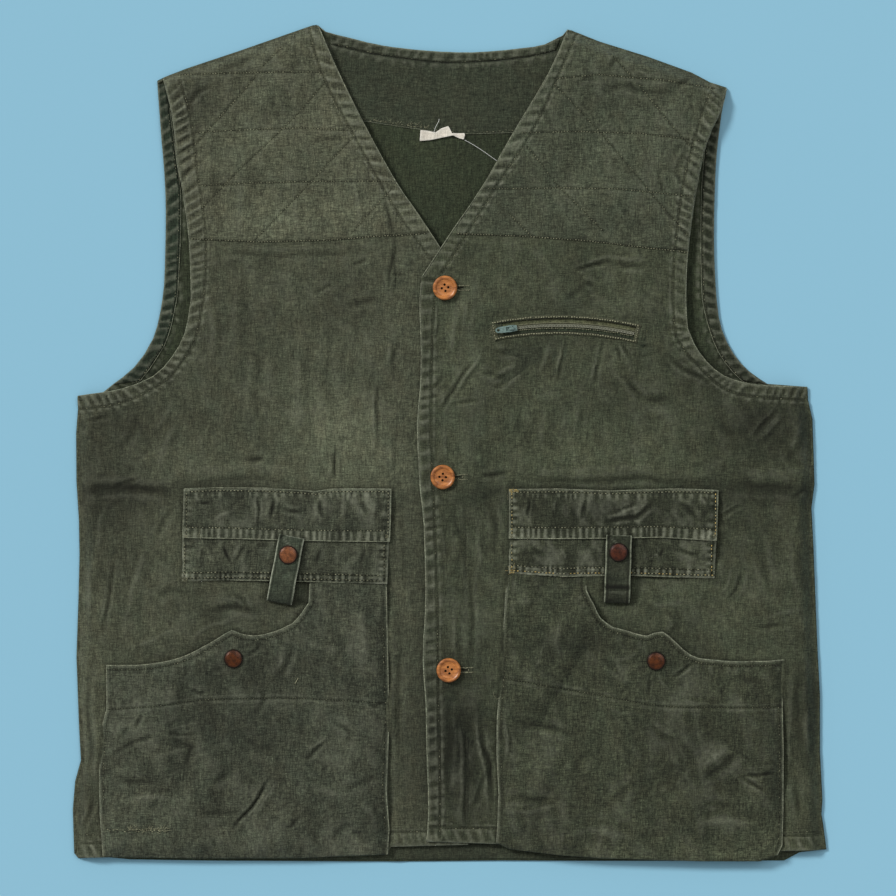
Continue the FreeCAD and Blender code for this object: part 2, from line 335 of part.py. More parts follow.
# bands sit around the patch, so their side walls are cut back where the patch stands
for side, ztop in (("right", Z_RTOP), ("left", Z_LTOP)):
    k = side[0].upper()
    o = OUTLINES[k + "BAND"]
    p = OUTLINES[k + "PATCH"]
    name = side + "_pocket_band"
    b = new_body(name)
    sk = new_sketch(b, name + "_outline")
    loop(sk, o, plan=True)
    pad(b, sk, "Dims.pocket_gap + 2 * Dims.pocket_cloth + Dims.band_lift")
    sk2 = new_sketch(b, name + "_room")
    loop(sk2, inset_quad(o, 1.2, 1.2, 0.0, 1.4, open_bottom=4.0), plan=True)
    cut(b, sk2, "Dims.pocket_gap + Dims.pocket_cloth + Dims.band_lift")
    sk3 = new_sketch(b, name + "_over_patch")
    y0 = max(p[0][1], p[1][1]) + 0.4
    loop(sk3, [(o[0][0] - 5, y0), (o[1][0] + 5, y0), (o[1][0] + 5, y0 - 40), (o[0][0] - 5, y0 - 40)], plan=True)
    cut(b, sk3, "Dims.pocket_gap + Dims.pocket_cloth + Dims.band_lift", name=name + "_cut2")
    b.setExpression("Placement.Base.z", ztop)

# ----------------------------------------------------------- large pockets
tray("right_pouch_pocket", "RPOUCH", OUTLINES["RPCAV"], Z_RTOP, "Dims.pouch_gap", "Dims.cloth",
     holes=[(CAP_POUCH_R[0], CAP_POUCH_R[1], "Dims.post_d", D["post_d"])])
tray("left_pouch_pocket", "LPOUCH", OUTLINES["LPCAV"], Z_LTOP, "Dims.pouch_gap", "Dims.cloth",
     holes=[(CAP_POUCH_L[0], CAP_POUCH_L[1], "Dims.post_d", D["post_d"])])
sheet_part("right_pouch_facing", "RPFAC", Z_RTOP + " + Dims.pouch_gap - Dims.facing_cloth", "Dims.facing_cloth",
           holes=[(CAP_POUCH_R[0], CAP_POUCH_R[1], "Dims.post_d", D["post_d"])])
sheet_part("left_pouch_facing", "LPFAC", Z_LTOP + " + Dims.pouch_gap - Dims.facing_cloth", "Dims.facing_cloth",
           holes=[(CAP_POUCH_L[0], CAP_POUCH_L[1], "Dims.post_d", D["post_d"])])


# ------------------------------------------------------------------ straps
PIVOT_H = 1.9
FLAP_LOW = 6.2
for side in ("right", "left"):
    x, y, tilt, dcap, lv = STRAPS[side]
    ztop = Z_RTOP if side == "right" else Z_LTOP
    rot = FreeCAD.Rotation(V(0, 0, 1), tilt)
    # the back leaf, sewn down under the pocket
    b = new_body(side + "_strap_tab")
    sk = new_sketch(b, b.Name + "_profile", "YZ_Plane")
    loop(sk, [(1.5, -PIVOT_H), (12.2, -PIVOT_H), (12.2, -PIVOT_H + 1.2), (1.5, -PIVOT_H + 1.2)],
         exprs=[("", ""), ("", ""), ("", "%.2f + Dims.strap_cloth" % -PIVOT_H), ("", "%.2f + Dims.strap_cloth" % -PIVOT_H)])
    pad(b, sk, "Dims.strap_w", symmetric=True)
    b.Placement = FreeCAD.Placement(V(x, y, 0), rot)
    b.setExpression("Placement.Base.z", ztop + " + %.2f" % PIVOT_H)
    # the free leaf: fold roll, rise over the pocket's edge, flat run under the snap
    b = new_body(side + "_strap_flap")
    sk = new_sketch(b, b.Name + "_profile", "YZ_Plane")
    end = 54.5
    prof = [(1.0, 0.0), (11.0, 5.5), (13.5, FLAP_LOW), (end, FLAP_LOW), (end, FLAP_LOW + 1.2), (13.2, FLAP_LOW + 1.2),
            (10.5, 6.7), (0.4, 0.95), (-0.3, 0.95), (-0.8, 0.6), (-1.0, 0.0), (-0.8, -0.6), (-0.3, -0.95), (0.3, -0.95), (0.8, -0.6)]
    ex = [("", "")] * len(prof)
    ex[4] = ("", "%.2f + Dims.strap_cloth" % FLAP_LOW)
    ex[5] = ("", "%.2f + Dims.strap_cloth" % FLAP_LOW)
    loop(sk, prof, exprs=ex)
    pad(b, sk, "Dims.strap_w", symmetric=True)
    sk2 = new_sketch(b, b.Name + "_post_hole")
    circle(sk2, 0.0, dcap, "Dims.post_d", D["post_d"])
    cut(b, sk2, None, through=True)
    b.Placement = FreeCAD.Placement(V(x, y, 0), rot)
    b.setExpression("Placement.Base.z", ztop + " + %.2f" % PIVOT_H)


# ----------------------------------------------------------- snap fasteners
def revolve(name, pts, exprs=None):
    b = new_body(name, node=False)
    sk = new_sketch(b, name + "_profile", "XZ_Plane")
    loop(sk, pts, exprs=exprs)
    r = b.newObject("PartDesign::Revolution", name + "_rev")
    r.Profile = sk
    r.ReferenceAxis = (sk, ["V_Axis"])
    r.Angle = 360.0
    return b


def dome(post_len):
    """Domed cap with a rolled rim and a rivet post below it."""
    R, H = D["cap_d"] / 2.0, D["cap_h"]
    pts = [(0.0, H)]
    ex = [("", "Dims.cap_h")]
    for f, g in ((0.28, 0.985), (0.5, 0.93), (0.7, 0.83), (0.86, 0.68), (0.96, 0.47), (1.0, 0.26), (0.985, 0.08), (0.93, 0.0)):
        pts.append((R * f, H * g))
        ex.append(("Dims.cap_d * %.4f" % (f / 2), "Dims.cap_h * %.4f" % g))
    pr = D["post_d"] / 2.0
    pts += [(pr, 0.0), (pr, -post_len), (0.0, -post_len)]
    ex += [("Dims.post_d / 2", ""), ("Dims.post_d / 2", ""), ("", "")]
    return pts, ex


def socket_profile(h):
    ro, ri = D["socket_d"] / 2.0, D["socket_bore"] / 2.0
    return ([(ri, 0.0), (ro - 0.5, 0.0), (ro, 0.4), (ro, h), (ri, h)],
            [("Dims.socket_bore / 2", ""), ("Dims.socket_d / 2 - 0.5", ""), ("Dims.socket_d / 2", ""),
             ("Dims.socket_d / 2", "Dims.socket_h"), ("Dims.socket_bore / 2", "Dims.socket_h")])


def stud_profile(knob, alias):
    rf, hf, rk = D["stud_flange_d"] / 2.0, D["stud_flange_h"], D["stud_knob_d"] / 2.0
    pts = [(0.0, 0.0), (rf, 0.0), (rf, hf * 0.6), (rf - 0.4, hf), (rk - 0.35, hf), (rk - 0.35, hf + knob * 0.4), (rk, hf + knob * 0.55),
           (rk, hf + knob * 0.8), (rk - 0.6, hf + knob), (0.0, hf + knob)]
    ex = [("", ""), ("Dims.stud_flange_d / 2", ""), ("Dims.stud_flange_d / 2", ""), ("", "Dims.stud_flange_h"),
          ("Dims.stud_knob_d / 2 - 0.35", "Dims.stud_flange_h"),
          ("Dims.stud_knob_d / 2 - 0.35", "Dims.stud_flange_h + 0.4 * " + alias),
          ("Dims.stud_knob_d / 2", "Dims.stud_flange_h + 0.55 * " + alias),
          ("Dims.stud_knob_d / 2", "Dims.stud_flange_h + 0.8 * " + alias),
          ("Dims.stud_knob_d / 2 - 0.6", "Dims.stud_flange_h + " + alias), ("", "Dims.stud_flange_h + " + alias)]
    return pts, ex


def put(b, x, y, zexpr, tilt=0.0):
    b.Placement = FreeCAD.Placement(V(x, y, 0), FreeCAD.Rotation(V(0, 0, 1), tilt))
    b.setExpression("Placement.Base.z", zexpr)
    return b


def group(name, parts):
    c = doc.addObject("Part::Compound", name)
    c.Label = name
    c.Links = parts
    NODES.append(c)
    return c


studs, pstuds, pcaps, psockets = [], [], [], []
for side in ("right", "left"):
    x, y, tilt, dcap, lv = STRAPS[side]
    ztop = Z_RTOP if side == "right" else Z_LTOP
    a = math.radians(tilt)
    cx, cy = x - dcap * math.sin(a), y + dcap * math.cos(a)
    cap = revolve(side + "_strap_snap_cap", *dome(D["strap_cloth"]))
    NODES.append(put(cap, cx, cy, ztop + " + %.2f + Dims.strap_cloth" % (PIVOT_H + FLAP_LOW)))
    sock = revolve(side + "_strap_snap_socket", *socket_profile(D["socket_h"]))
    NODES.append(put(sock, cx, cy, ztop + " + %.2f - Dims.socket_h" % (PIVOT_H + FLAP_LOW)))
    st = revolve(side + "_strap_stud", *stud_profile(D["strap_knob_h"], "Dims.strap_knob_h"))
    studs.append(put(st, cx, cy, ztop + " + Dims.pocket_gap + Dims.pocket_cloth"))
    px, py = CAP_POUCH_R if side == "right" else CAP_POUCH_L
    pc = revolve(side + "_pouch_cap", *dome(D["cloth"] + D["facing_cloth"]))
    pcaps.append(put(pc, px, py, ztop + " + Dims.pouch_gap + Dims.cloth"))
    ps = revolve(side + "_pouch_socket", *socket_profile(D["socket_h"]))
    psockets.append(put(ps, px, py, ztop + " + Dims.pouch_gap - Dims.facing_cloth - Dims.socket_h"))
    pst = revolve(side + "_pouch_stud", *stud_profile(D["pouch_knob_h"], "Dims.pouch_knob_h"))
    pstuds.append(put(pst, px, py, ztop))
group("strap_snap_studs", studs)
group("pouch_snap_caps", pcaps)
group("pouch_snap_sockets", psockets)
group("pouch_snap_studs", pstuds)

# ------------------------------------------------------ buttons and threads
# four-hole button, raised round rim, dished middle
buttons, threads = [], []
for i, (x, y) in enumerate(BUTTONS):
    R, H = D["button_d"] / 2.0, D["button_h"]
    prof = [(0.0, 0.6), (6.5, 0.0), (8.6, 0.3), (9.6, 1.1), (10.0, 2.2), (9.7, 3.2), (9.0, 3.75), (8.2, 3.8), (7.4, 3.35), (6.7, 2.7), (5.2, 2.35), (0.0, 2.2)]
    ex = [("", "")]
    for (px, pz) in prof[1:]:
        ex.append(("Dims.button_d * %.4f" % (px / 20.0) if px else "", "Dims.button_h * %.4f" % (pz / 3.8)))
    b = revolve("button_%d" % (i + 1), prof, ex)
    doc.recompute()
    sk = new_sketch(b, b.Name + "_hole")
    sk.AttachmentOffset = FreeCAD.Placement(V(0, 0, 0), FreeCAD.Rotation(V(0, 0, 1), (8.0, -4.0, 14.0)[i]))
    circle(sk, D["button_hole_r"], 0.0, "Dims.button_hole_d", D["button_hole_d"])
    c = cut(b, sk, None, through=True)
    pp = b.newObject("PartDesign::PolarPattern", b.Name + "_holes")
    pp.Originals = [c]
    pp.Axis = (plane(b, "Z_Axis"), [""])
    pp.Angle = 360.0
    pp.Occurrences = 4
    b.Tip = pp
    doc.recompute()
    buttons.append(put(b, x, y, Z_LTOP + " + 0.7"))
    # thread: flat shank through the buttonhole, wrap under the button
    t = new_body("thread_%d" % (i + 1), node=False)
    sk = new_sketch(t, t.Name + "_wrap")
    circle(sk, 0.0, 0.0, "3.2 * Dims.button_hole_d", 3.2 * D["button_hole_d"])
    pad(t, sk, "0.6", name=t.Name + "_wrap_pad")
    sk = new_sketch(t, t.Name + "_shank")
    loop(sk, [(-1.5, -0.35), (1.5, -0.35), (1.5, 0.35), (-1.5, 0.35)])
    p = pad(t, sk, "Dims.front_step", name=t.Name + "_shank_pad")
    p.Reversed = True
    threads.append(put(t, x, y, Z_LTOP))
group("buttons", buttons)
group("button_threads", threads)

# --------------------------------------------------------------------- zip
sheet_part("zip_upper_tape", sector(ZIP_R + 0.05, ZIP_R + D["zip_half_tape"], WIN_A0 + 0.45, WIN_A1 - 0.45), Z_LFACE, "Dims.facing_cloth")
sheet_part("zip_lower_tape", sector(ZIP_R - D["zip_half_tape"], ZIP_R - 0.05, WIN_A0 + 0.45, WIN_A1 - 0.45), Z_LFACE, "Dims.facing_cloth")


def teeth(name, sign, phase):
    """Toothed edge of one zip tape, drawn round the arc's own centre."""
    b = new_body(name)
    w = D["chain_half"]
    sk = new_sketch(b, name + "_rail")
    r0, r1 = (ZIP_R + 0.7, ZIP_R + w) if sign > 0 else (ZIP_R - w, ZIP_R - 0.7)
    loop(sk, sector(r0, r1, 98.25, 77.55, 20, 0.0, 0.0))
    pad(b, sk, "Dims.chain_h", name=name + "_rail_pad")
    sk = new_sketch(b, name + "_tooth")
    ra, rb = (ZIP_R - 0.45, ZIP_R + 0.9) if sign > 0 else (ZIP_R - 0.9, ZIP_R + 0.45)
    a0 = 98.05 - phase
    loop(sk, sector(ra, rb, a0, a0 - 0.17, 1, 0.0, 0.0))
    tp = pad(b, sk, "Dims.chain_h * 0.8", name=name + "_tooth_pad")
    pp = b.newObject("PartDesign::PolarPattern", name + "_pattern")
    pp.Originals = [tp]
    pp.Axis = (plane(b, "Z_Axis"), [""])
    pp.Reversed = True
    pp.Angle = 20.0
    pp.Occurrences = 41
    b.Tip = pp
    b.Placement = FreeCAD.Placement(V(ZIP_C[0], ZIP_C[1], 0), FreeCAD.Rotation())
    b.setExpression("Placement.Base.z", Z_LFRONT)
    return b


teeth("zip_upper_teeth", 1, 0.0)
teeth("zip_lower_teeth", -1, 0.25)

stops = []
for i, a in enumerate((98.87, 77.36)):
    s = new_body("zip_stop_%d" % (i + 1), node=False)
    sk = new_sketch(s, s.Name + "_outline")
    loop(sk, [(-0.5, -1.9), (0.5, -1.9), (0.5, 1.9), (-0.5, 1.9)])
    pad(s, sk, "Dims.chain_h * 0.9")
    ar = math.radians(a)
    s.Placement = FreeCAD.Placement(V(ZIP_C[0] + ZIP_R * math.cos(ar), ZIP_C[1] + ZIP_R * math.sin(ar), 0),
                                    FreeCAD.Rotation(V(0, 0, 1), a - 90.0))
    s.setExpression("Placement.Base.z", Z_LFRONT)
    stops.append(s)
group("zip_stops", stops)

# slider: a saddle over the chain, with the bridge that holds the pull
sa = math.radians(ZIP_A0)
SX, SY = ZIP_C[0] + ZIP_R * math.cos(sa), ZIP_C[1] + ZIP_R * math.sin(sa)
b = new_body("zip_slider")
sk = new_sketch(b, "slider_plan")
hl, hw = D["slider_len"] / 2.0, D["slider_w"] / 2.0
loop(sk, [(-hl, -hw * 0.62), (-hl * 0.55, -hw), (hl * 0.4, -hw * 0.9), (hl, -hw * 0.72), (hl, hw * 0.72), (hl * 0.4, hw * 0.9), (-hl * 0.55, hw), (-hl, hw * 0.62)],
     exprs=[("-Dims.slider_len / 2", ""), ("", "-Dims.slider_w / 2"), ("", ""), ("Dims.slider_len / 2", ""), ("Dims.slider_len / 2", ""),
            ("", ""), ("", "Dims.slider_w / 2"), ("-Dims.slider_len / 2", "")])
pad(b, sk, "Dims.slider_h", name="slider_pad")
sk = new_sketch(b, "slider_groove")
loop(sk, [(-6.0, -1.4), (6.0, -1.4), (6.0, 1.4), (-6.0, 1.4)])
cut(b, sk, "1.2", name="slider_groove_cut")
sk = new_sketch(b, "bridge_profile", "XZ_Plane")
# bridge: two posts and a bar, closed over the pull's rod
loop(sk, [(-2.0, 2.4), (-1.0, 2.4), (-1.0, 4.3), (1.0, 4.3), (1.0, 2.4), (2.0, 2.4), (2.0, 4.7), (1.5, 5.1), (-1.5, 5.1), (-2.0, 4.7)])
pb = pad(b, sk, "Dims.slider_w / 3", name="bridge_pad", symmetric=True)
b.Placement = FreeCAD.Placement(V(SX, SY, 0), FreeCAD.Rotation(V(0, 0, 1), ZIP_A0 - 90.0))
b.setExpression("Placement.Base.z", Z_LFRONT + " + 0.3")

# pull: round rod under the bridge, two arms and a drop-shaped plate with a hole
b = new_body("zip_pull")
sk = new_sketch(b, "pull_plate")
loop(sk, [(-0.6, -2.6), (-5.5, -2.6), (-9.5, -2.5), (-11.6, -2.1), (-13.0, -1.2), (-13.4, 0.0), (-13.0, 1.2), (-11.6, 2.1), (-9.5, 2.5), (-5.5, 2.6), (-0.6, 2.6),
          (-0.6, 1.6), (-4.6, 1.6), (-4.6, -1.6), (-0.6, -1.6)])
circle(sk, -11.0, 0.0, "2.4", 2.4)
pad(b, sk, "1.0", name="pull_pad", symmetric=True)
sk = new_sketch(b, "pull_rod", "XZ_Plane")
circle(sk, 0.0, 0.0, "1.2", 1.2)
pad(b, sk, "5.2", name="rod_pad", symmetric=True)
sk = new_sketch(b, "pull_ears")
loop(sk, [(-0.9, 1.6), (0.0, 1.6), (0.0, 2.6), (-0.9, 2.6)])
loop(sk, [(-0.9, -2.6), (0.0, -2.6), (0.0, -1.6), (-0.9, -1.6)])
pad(b, sk, "1.0", name="ears_pad", symmetric=True)
b.Placement = FreeCAD.Placement(V(SX, SY, 0), FreeCAD.Rotation(V(0, 0, 1), ZIP_A0 - 90.0))
b.setExpression("Placement.Base.z", Z_LFRONT + " + 0.3 + Dims.slider_h + 0.9")

# welt: narrow stitched frame round the zip window
b = new_body("zip_welt")
sk = new_sketch(b, "welt_plan")
loop(sk, sector(ZIP_R - 8.0, ZIP_R + 8.0, WIN_A0 + 0.35, WIN_A1 - 0.35), plan=True)
loop(sk, sector(ZIP_R - 6.0, ZIP_R + 6.0, WIN_A0, WIN_A1), plan=True)
pad(b, sk, "Dims.facing_cloth * 0.6")
b.setExpression("Placement.Base.z", Z_LTOP)

# pocket bag behind the zip, hanging inside the left front
b = new_body("zip_pocket_bag")
sk = new_sketch(b, "bag_outline")
loop(sk, [(26.0, 112.0), (165.0, 108.0), (165.0, 30.0), (150.0, 18.0), (45.0, 18.0), (30.0, 30.0)], plan=True)
pad(b, sk, "5.2")
sk = new_sketch(b, "bag_room", "XY_Plane", 0.6)
loop(sk, [(27.0, 111.0), (164.0, 107.0), (164.0, 30.6), (149.4, 19.0), (45.6, 19.0), (31.0, 30.6)], plan=True)
cut(b, sk, "10.0", name="bag_room_cut")
b.setExpression("Placement.Base.z", Z_LFRONT + " - 5.2")

# ------------------------------------------------------- label and its thread
b = new_body("neck_label")
sk = new_sketch(b, "label_outline")
hl, hw = D["label_len"] / 2.0, D["label_w"] / 2.0
loop(sk, [(-hl, -hw), (hl, -hw), (hl, hw), (-hl, hw)],
     exprs=[("-Dims.label_len / 2", "-Dims.label_w / 2"), ("Dims.label_len / 2", "-Dims.label_w / 2"),
            ("Dims.label_len / 2", "Dims.label_w / 2"), ("-Dims.label_len / 2", "Dims.label_w / 2")])
pad(b, sk, "Dims.label_t")
b.Placement = FreeCAD.Placement(V(-5.8, 252.4, 0), FreeCAD.Rotation(V(0, 0, 1), -1.0))
b.setExpression("Placement.Base.z", "Dims.cloth + Dims.facing_cloth")

t = doc.addObject("Part::Cylinder", "loose_thread")
t.Label = "loose_thread"
t.setExpression("Radius", "Dims.thread_d / 2")
t.Height = 31.5
t.Placement = FreeCAD.Placement(V(12.4, 248.9, 2.05), FreeCAD.Rotation(V(0, 0, 1), V(math.cos(math.radians(-32.9)), math.sin(math.radians(-32.9)), 0)))
NODES.append(t)

# ------------------------------------------------------------ check and write
doc.recompute()
for o in doc.Objects:
    bad = [s for s in o.State if s in ("Invalid", "Error")]
    if bad:
        raise RuntimeError("%s (%s): %s" % (o.Label, o.TypeId, bad))
os.makedirs("parts", exist_ok=True)
assert len(NODES) <= 60, len(NODES)
for b in NODES:
    s = b.Shape
    if s.isNull() or not s.isValid() or not s.Solids:
        raise RuntimeError("bad shape: " + b.Label)
    s.exportStep(os.path.join("parts", b.Label + ".step"))
    print("%-30s solids %2d  volume %10.1f mm3" % (b.Label, len(s.Solids), s.Volume))
print(len(NODES), "nodes")
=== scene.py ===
import bpy, math
import numpy as np
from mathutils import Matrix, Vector
from mathutils.geometry import delaunay_2d_cdt
from mathutils.kdtree import KDTree


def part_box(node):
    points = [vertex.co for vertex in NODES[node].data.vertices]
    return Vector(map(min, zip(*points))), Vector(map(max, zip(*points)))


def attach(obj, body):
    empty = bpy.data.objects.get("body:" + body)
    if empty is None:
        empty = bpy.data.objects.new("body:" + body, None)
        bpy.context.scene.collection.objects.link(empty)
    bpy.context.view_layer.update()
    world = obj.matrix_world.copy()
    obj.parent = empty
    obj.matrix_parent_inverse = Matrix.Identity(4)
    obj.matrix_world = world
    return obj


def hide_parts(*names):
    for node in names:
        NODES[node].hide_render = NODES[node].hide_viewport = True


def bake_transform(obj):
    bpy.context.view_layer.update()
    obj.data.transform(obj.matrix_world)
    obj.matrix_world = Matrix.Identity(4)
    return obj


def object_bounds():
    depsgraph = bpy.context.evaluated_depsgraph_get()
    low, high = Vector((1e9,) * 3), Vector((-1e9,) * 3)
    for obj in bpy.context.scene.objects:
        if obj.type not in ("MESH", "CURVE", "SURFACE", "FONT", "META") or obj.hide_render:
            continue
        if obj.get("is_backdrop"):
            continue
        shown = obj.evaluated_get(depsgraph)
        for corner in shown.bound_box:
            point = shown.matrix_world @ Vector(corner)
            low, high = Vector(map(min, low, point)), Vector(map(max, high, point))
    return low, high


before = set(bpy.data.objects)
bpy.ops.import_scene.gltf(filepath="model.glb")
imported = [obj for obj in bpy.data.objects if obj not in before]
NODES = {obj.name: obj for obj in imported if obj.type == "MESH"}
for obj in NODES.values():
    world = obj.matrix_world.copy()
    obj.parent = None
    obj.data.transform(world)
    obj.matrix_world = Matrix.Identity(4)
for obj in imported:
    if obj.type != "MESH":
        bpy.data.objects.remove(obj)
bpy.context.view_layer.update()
scene = bpy.context.scene
MM = 0.001
scene.view_settings.view_transform = "Standard"
scene.view_settings.look = "None"

# ------------------------------------------------------------------ camera: straight down, +Y up
DIST, FIELD = 3.4, 0.7347
cam = bpy.data.objects.new("camera", bpy.data.cameras.new("camera"))
cam.data.sensor_width = 36.0
cam.data.lens = 36.0 * DIST / FIELD
cam.data.clip_start, cam.data.clip_end = 0.05, 60.0
cam.location = (-0.00136, -0.0041, DIST + 0.009)
scene.collection.objects.link(cam)
scene.camera = cam

# ------------------------------------------------------------------ the loose thread at the label's end
ROUTE = np.array([(12.4, 248.9, 2.05), (17.6, 246.2, 2.15), (23.7, 242.4, 2.15), (30.2, 238.0, 2.15), (34.6, 234.8, 2.15), (38.9, 231.8, 2.15)])


def spline_points(ctrl, n=12):
    """Quadratic B-spline through the ends: the joints are the middles of the inner legs."""
    mids = (ctrl[1:-2] + ctrl[2:-1]) / 2
    a = np.vstack([ctrl[:1], mids])
    c = np.vstack([mids, ctrl[-1:]])
    t = (np.arange(n) / n)[:, None]
    out = [(1 - t) ** 2 * p + 2 * t * (1 - t) * q + t ** 2 * r for p, q, r in zip(a, ctrl[1:-1], c)]
    return np.vstack(out + [ctrl[-1:]])


def tube_mesh(name, pts, radius, sides=8):
    d = np.gradient(pts, axis=0)
    d /= np.linalg.norm(d, axis=1)[:, None]
    u = np.cross(d, [0, 0, 1.0])
    u /= np.linalg.norm(u, axis=1)[:, None]
    v = np.cross(u, d)
    ang = np.arange(sides) * 2 * math.pi / sides
    ring = pts[:, None] + radius * (np.cos(ang)[None, :, None] * u[:, None] + np.sin(ang)[None, :, None] * v[:, None])
    co = np.vstack([ring.reshape(-1, 3), pts[:1], pts[-1:]])
    m, faces = len(pts), []
    for i in range(m - 1):
        for j in range(sides):
            k = (j + 1) % sides
            faces.append((i * sides + j, (i + 1) * sides + j, (i + 1) * sides + k, i * sides + k))
    for j in range(sides):
        k = (j + 1) % sides
        faces.append((m * sides, j, k))
        faces.append((m * sides + 1, (m - 1) * sides + k, (m - 1) * sides + j))
    me = bpy.data.meshes.new(name)
    me.from_pydata([tuple(p * MM) for p in co], [], faces)
    me.polygons.foreach_set("use_smooth", np.full(len(faces), True))
    me.update()
    return me


LINE = spline_points(ROUTE)
thread_cord = bpy.data.objects.new("loose_thread_cord", tube_mesh("loose_thread_cord", LINE, 0.2))
scene.collection.objects.link(thread_cord)
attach(thread_cord, "root")
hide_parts("loose_thread")

